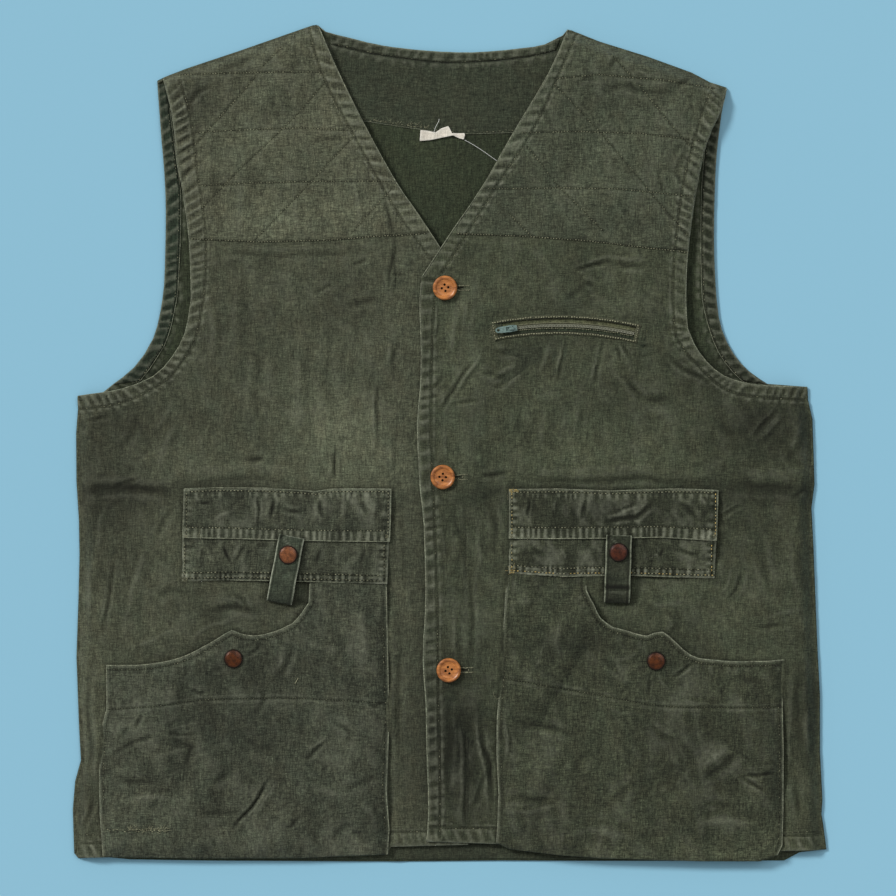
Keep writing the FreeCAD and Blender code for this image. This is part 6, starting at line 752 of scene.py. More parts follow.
def yoke(P, side):
    z, wear_and_shade = front(P, side)
    s = "_R" if side == "right" else "_L"
    qz, qw = quilt(P, LIN["QUILT" + s])
    low = LIN["YLOW" + s]
    d = dist(P, low)
    z = z + 0.9 + qz * 0.9
    z -= 0.45 * np.exp(-((d / 1.0) ** 2))
    # Painted shade along the groove of the yoke's lower seam.
    wear_and_shade = wear_and_shade + qw - 0.22 * np.exp(-((d / 0.9) ** 2))
    return z, wear_and_shade


def back(P):
    """Top of the back panel."""
    calm = 1 - near(P, (2.0, 248.0), 46)
    u = 0.55 * (1 + fbm(P, (90, 130), 50, 2)) * 0.7 + 0.5 * crumple(P, (50, 70), 51, 40) + 0.10 * fbm(P, (12, 20), 53, 2)
    rim = sm(dist(P, LIN["SIDE_R"]) / 15) * sm(dist(P, LIN["SIDE_L"]) / 15) * sm(dist(P, LIN["SH_R"]) / 12) * sm(dist(P, LIN["SH_L"]) / 12)
    z = 1.0 + u * rim * calm
    wear_and_shade = np.zeros(len(P))
    for s in ("_R", "_L"):
        a, w = pucker(P, LIN["BARM" + s], LIN["BARM" + s + "_ST"], 9.0, 0.34, 0.7, 11 if s == "_R" else 12)
        z += np.maximum(a, -0.35) * rim
        wear_and_shade += w
    n, w = pucker(P, LIN["BACKNECK"], LIN["BACKNECK_ST"], 9.5, 0.16, 0.5, 13)
    z += np.maximum(n, -0.3) * (1 - near(P, (2, 248), 40))
    wear_and_shade += w
    return z, wear_and_shade


def pouch(P, side):
    R = side == "right"
    s = "_R" if R else "_L"
    b = base(P, side)
    k = "R" if R else "L"
    sewn = np.vstack([LIN["POUT" + s], LIN["PBOT" + s] if R else LIN["PBOT" + s][::-1], LIN["PIN" + s][::-1] if R else LIN["PIN" + s]])
    d_out, d_in, d_bot = dist(P, LIN["POUT" + s]), dist(P, LIN["PIN" + s]), dist(P, LIN["PBOT" + s])
    d_m = dist(P, LIN["PMOUTH" + s])
    d = np.minimum(np.minimum(d_out, d_in), d_bot)
    top_in = sm((-112.0 - P[:, 1]) / 20.0)
    rise = (1 - np.exp(-d / 11.0)) * 1.02 * top_in
    z = b + 1.15 + 4.75 * rise
    calm = (1 - near(P, CAPS[side], 13)) * sm(d / 9.0)
    z -= 1.7 * np.exp(-((d_m / 9.0) ** 2)) * (1 - near(P, CAPS[side], 24)) * rise
    sd = 110 if R else 130
    st, wear_and_shade = strokes(P, PCREASES_R if R else PCREASES_L)
    big = 0.85 * fbm(P, (70, 95), sd, 2, -35 if R else 35) + 1.25 * slack("pouch" + s, P)
    mid = 0.42 * fbm(P, (24, 44), sd + 1, 2, -30 if R else 30) + 0.16 * fbm(P, (9, 13), sd + 7, 2)
    cr = 0.40 * crumple(P, (48, 64), sd + 2, -40 if R else 40) + 0.26 * crumple(P, (27, 40), sd + 3, 30)
    z += (np.clip(big, -1.6, 3.0) + mid + cr + st * 0.85) * calm * (0.25 + 0.75 * top_in)
    target = 14.0 if R else 16.2
    f = near(P, CAPS[side], 11)
    z = z * (1 - f) + (target - 0.05) * f
    # Paler on the crumple crests, partly wear and partly painted highlight, plus random tone.
    wear_and_shade = wear_and_shade * calm * 0.9 + 0.20 * cr * calm + 0.07 * fbm(P, (7, 16), sd + 8, 2, 15) + 0.07 * fbm(P, (26, 34), sd + 9, 3, 25)
    fc = LIN["PFAC" + s]
    df, sf, _, _ = along(P, fc)
    z -= 0.50 * np.exp(-((df / 1.0) ** 2))
    # Painted shade in the stitch groove of the facing line, a little paler beside it.
    wear_and_shade -= 0.12 * np.exp(-((df / 0.9) ** 2))
    wear_and_shade += 0.10 * np.exp(-(((df - 2.2) / 1.1) ** 2))
    ms, sms, sidem, _ = along(P, LIN["PMOUTH" + s])
    z -= 0.40 * np.exp(-(((ms - 3.6) / 0.9) ** 2))
    Q = np.stack([sms, np.zeros(len(P))], 1)
    rib = np.sin(2 * math.pi * (sms / 7.0 + 0.8 * noise(Q, 18, 77)))
    z += 0.20 * rib * np.exp(-(((ms - 6.5) / 4.0) ** 2)) * calm
    # Mouth: ribs partly paler, painted shade in the groove 3.6 mm in, and a pale worn edge.
    wear_and_shade += 0.07 * rib * np.exp(-(((ms - 6.0) / 4.0) ** 2)) - 0.26 * np.exp(-(((ms - 3.6) / 0.9) ** 2)) + 0.32 * np.exp(-((ms / 1.1) ** 2))
    for e in (d_out, d_in):
        # Pale worn edges, and a darker line 3 mm in along the stitching.
        wear_and_shade += 0.34 * np.exp(-((e / 1.0) ** 2)) - 0.20 * np.exp(-(((e - 3.0) / 1.0) ** 2))
    wear_and_shade -= 0.34 * strap_shade(P, side)
    floor_z = b + 1.12
    return np.maximum(z, floor_z), wear_and_shade


def pocket(P, side, layer):
    """Top of the small pocket: layer 0 the lower patch, 1 the band over it."""
    R = side == "right"
    k = "R" if R else "L"
    b = base(P, side)
    corners = {"R": [(-217.8, -37.7), (-48.1, -37.7), (-51.4, -115.6), (-219.4, -113.2)], "L": [(48.7, -38.1), (220.0, -38.5), (216.8, -110.7), (48.7, -106.6)]}[k]
    c = np.array(corners)
    top, bottom = c[:2], c[[3, 2]]
    sides = [c[[0, 3]], c[[1, 2]]]
    d_side = np.minimum(dist(P, sides[0]), dist(P, sides[1]))
    d_top, d_bot = dist(P, top), dist(P, bottom)
    d = np.minimum(np.minimum(d_side, d_bot), d_top)
    z = b + 2.15 + 3.25 * (1 - np.exp(-d / 6.5))
    cap = (PIVOT[side][0] - PIVOT[side][4] * math.sin(math.radians(PIVOT[side][3])), PIVOT[side][1] + PIVOT[side][4])
    flat = 1 - near(P, cap, 15)
    st, wear_and_shade = strokes(P, POCKET_R if R else POCKET_L)
    sd = 210 if R else 230
    free = 0.62 * fbm(P, (30, 42), sd, 2) + 0.42 * fbm(P, (10, 17), sd + 1, 2) + 0.36 * crumple(P, (20, 30), sd + 2, 20) + st * 0.85
    z += np.clip(free, -1.2, 0.85) * sm(d / 5.0) * flat
    wear_and_shade = wear_and_shade * 1.5 + 0.13 * fbm(P, (6, 12), sd + 3, 2) + 0.15 * fbm(P, (13, 26), sd + 4, 2)
    ribs = lambda s, pitch, q: np.sin(2 * math.pi * (s / pitch + 0.9 * noise(np.stack([s, np.full(len(s), q * 9.0)], 1), 16, int(80 + q))))
    for q, L in enumerate(sides + [bottom]):
        e, s, _, _ = along(P, L)
        r = ribs(s, 6.6, q)
        z += 0.34 * r * np.exp(-(((e - 4.5) / 3.2) ** 2)) - 0.35 * np.exp(-(((e - 2.4) / 0.8) ** 2))
        # Paler rib tops and darker troughs (partly wear, partly painted shade), a pale worn edge, and painted shade in
        # the stitch groove 2.4 mm in.
        wear_and_shade += 0.30 * r * np.exp(-(((e - 4.0) / 3.0) ** 2)) + 0.40 * np.exp(-((e / 1.0) ** 2)) - 0.22 * np.exp(-(((e - 2.4) / 0.9) ** 2)) + 0.12 * np.exp(-((e / 5.0) ** 2))
    e, s, _, _ = along(P, bottom)
    z += (layer == 0) * (0.25 * ribs(s, 5.2, 7) * sm((8.0 - e) / 1.5) * sm(e / 2.0) - 0.30 * np.exp(-(((e - 6.6) / 0.8) ** 2)))
    # Patch hem: ribs paler on top, and painted shade in the groove 6.6 mm in from the bottom edge.
    wear_and_shade += (layer == 0) * ((0.12 + 0.30 * ribs(s, 5.2, 7)) * sm((7.5 - e) / 1.5) * sm(e / 2.0) - 0.25 * np.exp(-(((e - 6.6) / 0.8) ** 2)))
    if layer == 1:
        free_edge = {"R": np.array([(-219.0, -78.0), (-176.0, -79.0), (-131.0, -80.3), (-90.0, -81.0), (-49.0, -81.4)]), "L": np.array([(48.7, -78.3), (90.5, -78.5), (133.0, -78.0), (172.5, -77.5), (218.5, -80.2)])}[k]
        f, s, _, _ = along(P, free_edge)
        r = ribs(s, 5.6, 5)
        z += 1.0
        z -= 1.25 * np.exp(-((d_top / 7.0) ** 2))
        e2, s2, _, _ = along(P, top)
        r2 = ribs(s2, 6.2, 6)
        z += 0.28 * r2 * np.exp(-(((e2 - 5.0) / 3.0) ** 2)) - 0.35 * np.exp(-(((e2 - 2.3) / 0.8) ** 2))
        # Top edge: ribs paler on top, a pale worn edge, and painted shade in the stitch groove 2.3 mm in.
        wear_and_shade += 0.28 * r2 * np.exp(-(((e2 - 4.5) / 3.0) ** 2)) + 0.32 * np.exp(-((e2 / 1.0) ** 2)) - 0.2 * np.exp(-(((e2 - 2.3) / 0.9) ** 2))
        band = sm((9.6 - f) / 1.6)
        z += (0.30 + 0.22 * r) * band * np.clip(flat + 0.3, 0, 1) - 0.35 * np.exp(-(((f - 9.3) / 0.8) ** 2))
        # Free edge of the band: ribbed and paler, a pale worn edge, and painted shade in the groove 9.3 mm in.
        wear_and_shade += band * (0.10 + 0.32 * r + 0.12 * noise(P, 22, 88)) - 0.24 * np.exp(-(((f - 9.3) / 0.9) ** 2)) + 0.30 * np.exp(-((f / 0.9) ** 2))
    else:
        inner = sm((P[:, 1] + 92.0) / 12.0)
        z -= 0.30 * inner
    worn = [(-217.0, -110.5, 5.5, 6.5, 0.50), (-211.0, -77.0, 11.0, 3.6, 0.34), (-54.0, -112.5, 5.0, 4.0, 0.22), (-51.5, -41.0, 5.0, 4.0, 0.22)] if R else [(212.0, -76.5, 9.0, 3.4, 0.26), (54.0, -42.0, 5.0, 4.5, 0.20), (211.0, -104.0, 7.0, 5.0, 0.20), (206.0, -46.0, 9.0, 5.0, 0.18)]
    for x, y, rx, ry, a in worn:
        wear_and_shade += a * np.exp(-(((P[:, 0] - x) / rx) ** 2) - ((P[:, 1] - y) / ry) ** 2)
    wear_and_shade -= 0.42 * strap_shade(P, side)
    return z, wear_and_shade


# ------------------------------------------------------------------ meshes
def resample(poly, step, closed=True):
    pts = np.vstack([poly, poly[:1]]) if closed else poly
    out = []
    for a, b in zip(pts[:-1], pts[1:]):
        n = max(1, int(round(math.dist(a, b) / step)))
        for i in range(n):
            out.append(a + (b - a) * i / n)
    if not closed:
        out.append(pts[-1])
    return np.array(out)


def clean(poly, tol=0.35):
    keep = [poly[0]]
    for p in poly[1:]:
        if math.dist(p, keep[-1]) > tol:
            keep.append(p)
    if math.dist(keep[0], keep[-1]) <= tol:
        keep.pop()
    return np.array(keep)


def triangulate(poly, h, holes=(), ring=0.9, grid=None):
    """Outline sampled every h, inside points every grid."""
    poly = clean(poly)
    loops = [resample(poly, h)] + [resample(clean(q), min(h, 1.6)) for q in holes]
    h = grid or h
    lo, hi = poly.min(0), poly.max(0)
    gx, gy = np.meshgrid(np.arange(lo[0] + h * 0.31, hi[0], h), np.arange(lo[1] + h * 0.37, hi[1], h))
    rng = np.random.default_rng(7)
    G = np.stack([gx.ravel(), gy.ravel()], 1)
    G += rng.uniform(-0.04, 0.04, G.shape) * h
    edge = [np.vstack([l, l[:1]]) for l in loops]
    d = np.min([dist(G, e) for e in edge], axis=0)
    G = G[inside(G, poly) & (d > max(0.62 * h, ring + 0.45 * h))]
    for q in holes:
        G = G[~inside(G, q)]
    extra = [G]
    if ring:
        for l, sign in zip(loops, [1] + [-1] * len(holes)):
            t = np.roll(l, -1, 0) - np.roll(l, 1, 0)
            t /= np.maximum(np.hypot(t[:, 0], t[:, 1])[:, None], 1e-9)
            area = np.sum(l[:, 0] * np.roll(l[:, 1], -1) - np.roll(l[:, 0], -1) * l[:, 1])
            n = np.stack([-t[:, 1], t[:, 0]], 1) * (1 if area > 0 else -1) * sign
            q = l + n * ring
            dd = np.min([dist(q, e) for e in edge], axis=0)
            ok = inside(q, poly) & (dd > ring * 0.8)
            for z in holes:
                ok &= ~inside(q, z)
            extra.append(q[ok])
    G = np.vstack(extra)
    pts, cons, start = [], [], 0
    for l in loops:
        n = len(l)
        cons += [(start + i, start + (i + 1) % n) for i in range(n)]
        pts.append(l)
        start += n
    allp = np.vstack(pts + [G])
    if holes:
        res = delaunay_2d_cdt([Vector(p) for p in allp.tolist()], cons, [], 0, 1e-5, False)
    else:
        res = delaunay_2d_cdt([Vector(p) for p in allp.tolist()], [], [list(range(len(loops[0])))], 1, 1e-5, False)
    V = np.array([tuple(v) for v in res[0]], float)
    F = np.array([f for f in res[2] if len(f) == 3], int)
    C = V[F].mean(1)
    ok = inside(C, loops[0])
    for l in loops[1:]:
        ok &= ~inside(C, l)
    F = F[ok]
    a, b, c = V[F[:, 0]], V[F[:, 1]], V[F[:, 2]]
    cross = (b[:, 0] - a[:, 0]) * (c[:, 1] - a[:, 1]) - (b[:, 1] - a[:, 1]) * (c[:, 0] - a[:, 0])
    F = F[np.abs(cross) > 1e-7]
    cross = cross[np.abs(cross) > 1e-7]
    F[cross < 0] = F[cross < 0][:, ::-1]
    used = np.unique(F)
    remap = -np.ones(len(V), int)
    remap[used] = np.arange(len(used))
    return V[used], remap[F]


def mesh_object(name, co, tri, attrs=None, mats=(), smooth=True):
    me = bpy.data.meshes.new(name)
    tri = np.asarray(tri, np.int32)
    me.vertices.add(len(co))
    me.vertices.foreach_set("co", (np.asarray(co, float) * MM).astype(np.float32).ravel())
    me.loops.add(tri.size)
    me.loops.foreach_set("vertex_index", tri.ravel())
    me.polygons.add(len(tri))
    me.polygons.foreach_set("loop_start", np.arange(0, tri.size, 3, dtype=np.int32))
    me.update(calc_edges=True)
    me.polygons.foreach_set("use_smooth", np.full(len(tri), smooth))
    for k, v in (attrs or {}).items():
        a = me.attributes.new(k, "FLOAT", "POINT")
        a.data.foreach_set("value", np.asarray(v, np.float32))
    me.validate()
    for m in mats:
        me.materials.append(m)
    ob = bpy.data.objects.new(name, me)
    scene.collection.objects.link(ob)
    return ob


def poly_area(p):
    return abs(np.sum(p[:, 0] * np.roll(p[:, 1], -1) - np.roll(p[:, 0], -1) * p[:, 1])) / 2


def declare(poly, strip=False, a=None):
    a = a or poly_area(poly)
    w, l = np.ptp(poly[:, 0]), np.ptp(poly[:, 1])
    if strip or a < 0.34 * w * l:
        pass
    else:
        w, l = max(w, 10.0), max(l, 10.0)


def cloth_piece(name, poly, h, top, thick, mat, nodes, holes=(), body="root", strip=False, bulge=0.28, gain=1.0, tint=None, lower=0.0):
    V, F = triangulate(poly, h, holes)
    got = top(V)
    z, wear_and_shade = got if isinstance(got, tuple) else (got, np.zeros(len(V)))
    e = np.sort(np.vstack([F[:, [0, 1]], F[:, [1, 2]], F[:, [2, 0]]]), axis=1)
    d = np.vstack([F[:, [0, 1]], F[:, [1, 2]], F[:, [2, 0]]])
    key = e[:, 0] * (len(V) + 1) + e[:, 1]
    uniq, first, count = np.unique(key, return_index=True, return_counts=True)
    rim = d[first[count == 1]]
    on = np.zeros(len(V), bool)
    on[rim.ravel()] = True
    nrm = np.zeros((len(V), 2))
    t = V[rim[:, 1]] - V[rim[:, 0]]
    t /= np.maximum(np.hypot(t[:, 0], t[:, 1])[:, None], 1e-9)
    n = np.stack([t[:, 1], -t[:, 0]], 1)
    np.add.at(nrm, rim[:, 0], n)
    np.add.at(nrm, rim[:, 1], n)
    nrm /= np.maximum(np.hypot(nrm[:, 0], nrm[:, 1])[:, None], 1e-9)
    N = len(V)
    idx = np.nonzero(on)[0]
    VB, FB, zb, twin = V, F, z - thick, np.arange(N)
    if lower:
        VC, FC = triangulate(poly, h, holes, 0.0, lower)
        key = {(round(x, 3), round(y, 3)): i for i, (x, y) in enumerate(VC.tolist())}
        found = [key.get((round(x, 3), round(y, 3)), -1) for x, y in V[idx].tolist()]
        if min(found) >= 0:
            tree = KDTree(N)
            for i, (x, y) in enumerate(V.tolist()):
                tree.insert((x, y, 0.0), i)
            tree.balance()
            zc = np.array([min(z[k] for _, k, _ in tree.find_n((x, y, 0.0), 14)) for x, y in VC.tolist()]) - thick
            VB, FB, zb = VC, FC, zc
            twin = -np.ones(N, int)
            twin[idx] = found
            zb[found] = z[idx] - thick
    zt = z.copy()
    zt[on] -= 0.28 * thick
    zb[twin[idx]] += 0.28 * thick
    NB = len(VB)
    mid = -np.ones(N, int)
    mid[idx] = N + NB + np.arange(len(idx))
    co = np.vstack([
        np.column_stack([V, zt]),
        np.column_stack([VB, zb]),
        np.column_stack([V[idx] + nrm[idx] * bulge, (zt[idx] + zb[twin[idx]]) / 2]),
    ])
    a, b = rim[:, 0], rim[:, 1]
    c, e2 = twin[a] + N, twin[b] + N
    walls = np.vstack([
        np.column_stack([b, a, mid[a]]), np.column_stack([b, mid[a], mid[b]]),
        np.column_stack([mid[b], mid[a], c]), np.column_stack([mid[b], c, e2]),
    ])
    tri = np.vstack([F, FB[:, ::-1] + N, walls])
    shade = spots(V, FADES_AND_PAINTED_SHADOWS) * (tint(V) if tint else 1.0)
    shade = np.concatenate([shade, np.full(NB, 0.8), shade[idx]])
    wr = np.concatenate([wear_and_shade, np.zeros(NB), wear_and_shade[idx] + 0.15]) * gain
    ob = mesh_object(name, co, tri, {"shade": shade, "wear_and_shade": wr}, [mat])
    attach(ob, body)
    if nodes:
        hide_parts(*nodes)
    p, q, r = V[F[:, 0]], V[F[:, 1]], V[F[:, 2]]
    area = np.sum((q[:, 0] - p[:, 0]) * (r[:, 1] - p[:, 1]) - (q[:, 1] - p[:, 1]) * (r[:, 0] - p[:, 0])) / 2
    declare(poly, strip, area)
    return ob


# ------------------------------------------------------------------ materials
class Tree:
    def __init__(self, name):
        self.mat = bpy.data.materials.new(name)
        self.mat.use_nodes = True
        self.nt = self.mat.node_tree
        self.nt.nodes.clear()
        self.out = self.nt.nodes.new("ShaderNodeOutputMaterial")
        self.bsdf = self.nt.nodes.new("ShaderNodeBsdfPrincipled")
        self.nt.links.new(self.bsdf.outputs[0], self.out.inputs[0])
        self.tc = self.nt.nodes.new("ShaderNodeTexCoord")

    def link(self, a, b):
        self.nt.links.new(a, b)

    def node(self, kind, **kw):
        n = self.nt.nodes.new(kind)
        for k, v in kw.items():
            setattr(n, k, v)
        return n

    def coords(self, scale, turn=0.0):
        m = self.node("ShaderNodeMapping")
        m.inputs["Scale"].default_value = scale
        m.inputs["Rotation"].default_value = (0, 0, turn)
        self.link(self.tc.outputs["Object"], m.inputs["Vector"])
        return m.outputs[0]

    def noise(self, scale, detail=3.0, rough=0.55, lo=0.0, hi=1.0, span=(0.3, 0.7), turn=0.0, off=0.0):
        n = self.node("ShaderNodeTexNoise")
        n.inputs["Detail"].default_value = detail
        n.inputs["Roughness"].default_value = rough
        if np.isscalar(scale):
            scale = (scale,) * 3
        n.inputs["Scale"].default_value = 1.0
        m = self.node("ShaderNodeMapping")
        m.inputs["Scale"].default_value = scale
        m.inputs["Rotation"].default_value = (0, 0, turn)
        m.inputs["Location"].default_value = (off, off * 0.7, off * 1.3)
        self.link(self.tc.outputs["Object"], m.inputs["Vector"])
        self.link(m.outputs[0], n.inputs["Vector"])
        r = self.node("ShaderNodeMapRange")
        r.inputs["From Min"].default_value, r.inputs["From Max"].default_value = span
        r.inputs["To Min"].default_value, r.inputs["To Max"].default_value = lo, hi
        self.link(n.outputs["Fac"], r.inputs["Value"])
        return r.outputs[0]

    def attr(self, name):
        a = self.node("ShaderNodeAttribute")
        a.attribute_name = name
        return a.outputs["Fac"]

    def math(self, op, a, b, clamp=False):
        n = self.node("ShaderNodeMath", operation=op, use_clamp=clamp)
        for i, v in enumerate((a, b)):
            if isinstance(v, (int, float)):
                n.inputs[i].default_value = v
            else:
                self.link(v, n.inputs[i])
        return n.outputs[0]

    def mix(self, fac, a, b):
        n = self.node("ShaderNodeMix", data_type="RGBA")
        n.clamp_factor = True
        for sock, v in ((n.inputs[0], fac), (n.inputs[6], a), (n.inputs[7], b)):
            if isinstance(v, (int, float)):
                sock.default_value = v
            elif isinstance(v, tuple):
                sock.default_value = (*v, 1.0)
            else:
                self.link(v, sock)
        return n.outputs[2]

    def scale(self, colour, value):
        n = self.node("ShaderNodeVectorMath", operation="SCALE")
        self.link(colour, n.inputs[0])
        self.link(value, n.inputs["Scale"])
        return n.outputs[0]

    def bump(self, height, strength, distance, normal=None):
        n = self.node("ShaderNodeBump")
        n.inputs["Strength"].default_value = strength
        n.inputs["Distance"].default_value = distance
        self.link(height, n.inputs["Height"])
        if normal is not None:
            self.link(normal, n.inputs["Normal"])
        return n.outputs[0]


def cloth(name, rgb, green=0.10, seed=0.0, turn=0.0, worn=(0.235, 0.245, 0.178), fleck=1.0, attrs=True, rough=1.0):
    t = Tree(name)
    span = lambda lo, hi: (1 - (1 - lo) * rough, 1 + (hi - 1) * rough * 1.04)
    warm = (rgb[0] * 1.025, rgb[1] * 0.99, rgb[2] * 0.96)
    cool = (rgb[0] * (0.975 - 0.45 * green), rgb[1] * 1.015, rgb[2] * 1.01)
    hue = t.noise((64, 52, 64), 5.0, 0.7, 0.0, 1.0, (0.3, 0.7), turn, seed)
    col = t.mix(hue, warm, cool)
    big = t.noise((17, 13, 17), 3.0, 0.55, 0.88, 1.12, (0.3, 0.7), turn + 0.6, seed + 3)
    mid = t.noise((150, 110, 95), 3.0, 0.6, *span(0.89, 1.12), (0.3, 0.7), turn, seed + 5)
    warp = t.noise((1050, 150, 300), 2.0, 0.7, *span(0.56, 1.48), (0.28, 0.72), turn, seed + 7)
    weft = t.noise((150, 1050, 300), 2.0, 0.7, *span(0.58, 1.46), (0.28, 0.72), turn, seed + 9)
    slub = t.noise((480, 36, 300), 2.0, 0.5, 0.91, 1.09, (0.3, 0.7), turn, seed + 11)
    grain = t.noise((1050, 1050, 900), 2.0, 0.7, *span(0.60, 1.44), (0.3, 0.7), turn, seed + 13)
    k = t.math("MULTIPLY", t.math("MULTIPLY", big, mid), t.math("MULTIPLY", warp, weft))
    k = t.math("MULTIPLY", k, t.math("MULTIPLY", slub, grain))
    if attrs:
        k = t.math("MULTIPLY", k, t.attr("shade"))
    col = t.scale(col, k)
    if attrs:
        scuff = t.noise((340, 300, 340), 3.0, 0.65, 0.55, 1.5, (0.35, 0.65), turn, seed + 17)
        # Positive values of this attribute pale the cloth for wear, with painted highlight on some crests; negative
        # values darken it with painted shade in grooves, valleys and beside raised parts, plus darker random tone.
        w = t.attr("wear_and_shade")
        pale = t.math("MULTIPLY", t.math("MAXIMUM", w, 0.0), scuff, True)
        col = t.mix(pale, col, worn)
        dark = t.math("MULTIPLY", t.math("MINIMUM", w, 0.0), -1.55, True)
        col = t.mix(dark, col, (rgb[0] * 0.22, rgb[1] * 0.22, rgb[2] * 0.2))
    t.link(col, t.bsdf.inputs["Base Color"])
    t.bsdf.inputs["Roughness"].default_value = 0.93
    t.bsdf.inputs["Specular IOR Level"].default_value = 0.18
    t.bsdf.inputs["Sheen Weight"].default_value = 0.05
    t.bsdf.inputs["Sheen Roughness"].default_value = 0.6
    weave = t.math("MULTIPLY", warp, weft)
    lumps = t.noise((210, 170, 210), 4.0, 0.6, 0.0, 1.0, (0.25, 0.75), turn + 0.4, seed + 21)
    n1 = t.bump(lumps, 0.55, 0.0011)
    n2 = t.bump(weave, 0.45 * fleck, 0.0004, n1)
    t.link(n2, t.bsdf.inputs["Normal"])
    return t.mat


def thread_mat(name, dark, mid, pale, gold):
    t = Tree(name)
    tone = t.attr("tone")
    c = t.mix(t.math("MULTIPLY", tone, 2.5, True), dark, mid)
    c = t.mix(t.math("MULTIPLY", t.math("SUBTRACT", tone, 0.4), 2.6, True), c, pale)
    c = t.mix(t.math("MULTIPLY", t.math("SUBTRACT", tone, 0.84), 12.0, True), c, gold)
    k = t.noise((700, 700, 700), 2.0, 0.6, 0.62, 1.36)
    t.link(t.scale(c, k), t.bsdf.inputs["Base Color"])
    t.bsdf.inputs["Roughness"].default_value = 0.85
    t.bsdf.inputs["Specular IOR Level"].default_value = 0.25
    ply = t.noise((2600, 2600, 2600), 2.0, 0.6)
    t.link(t.bump(ply, 0.5, 0.0002), t.bsdf.inputs["Normal"])
    return t.mat


SHELL = (0.0480, 0.0530, 0.0310)
M = {
    "right": cloth("twill_right_front", (0.0545, 0.0580, 0.0360), 0.09, 1.0),
    "left": cloth("twill_left_front", (0.0478, 0.0530, 0.0310), 0.11, 2.0),
    "yoke_r": cloth("twill_right_yoke", (0.0670, 0.0700, 0.0440), 0.08, 3.0, 0.02, rough=1.16),
    "yoke_l": cloth("twill_left_yoke", (0.0515, 0.0572, 0.0358), 0.10, 4.0, -0.02, rough=1.16),
    "pouch_r": cloth("twill_right_pouch", (0.0440, 0.0480, 0.0312), 0.09, 5.0, rough=1.28),
    "pouch_l": cloth("twill_left_pouch", (0.0385, 0.0425, 0.0248), 0.11, 6.0, rough=1.28),
    "pocket_r": cloth("twill_right_pocket", (0.0450, 0.0490, 0.0315), 0.06, 7.0, rough=1.30),
    "pocket_l": cloth("twill_left_pocket", (0.0440, 0.0490, 0.0290), 0.06, 8.0, rough=1.30),
    "strap_r": cloth("strap_cloth_right", (0.0400, 0.0475, 0.0310), 0.08, 9.0, worn=(0.30, 0.32, 0.24)),
    "strap_l": cloth("strap_cloth_left", (0.0265, 0.0300, 0.0180), 0.10, 10.0, worn=(0.26, 0.28, 0.20)),
    "inner": cloth("wrong_side", (0.0335, 0.0382, 0.0232), 0.12, 11.0),
    "inner_left": cloth("wrong_side_left", (0.0205, 0.0245, 0.0135), 0.10, 16.0),
    "inner_green": cloth("back_facing_green", (0.0175, 0.0255, 0.0150), 0.16, 12.0),
    "inner_low": cloth("wrong_side_low", (0.0285, 0.0350, 0.0185), 0.08, 13.0),
    "back_out": cloth("twill_back", SHELL, 0.10, 14.0),
    "roll": cloth("worn_edge_roll", (0.150, 0.158, 0.110), 0.05, 15.0, worn=(0.32, 0.33, 0.25)),
    "thread": thread_mat("topstitch_thread", (0.012, 0.013, 0.008), (0.060, 0.062, 0.038), (0.270, 0.268, 0.170), (0.46, 0.34, 0.115)),
}


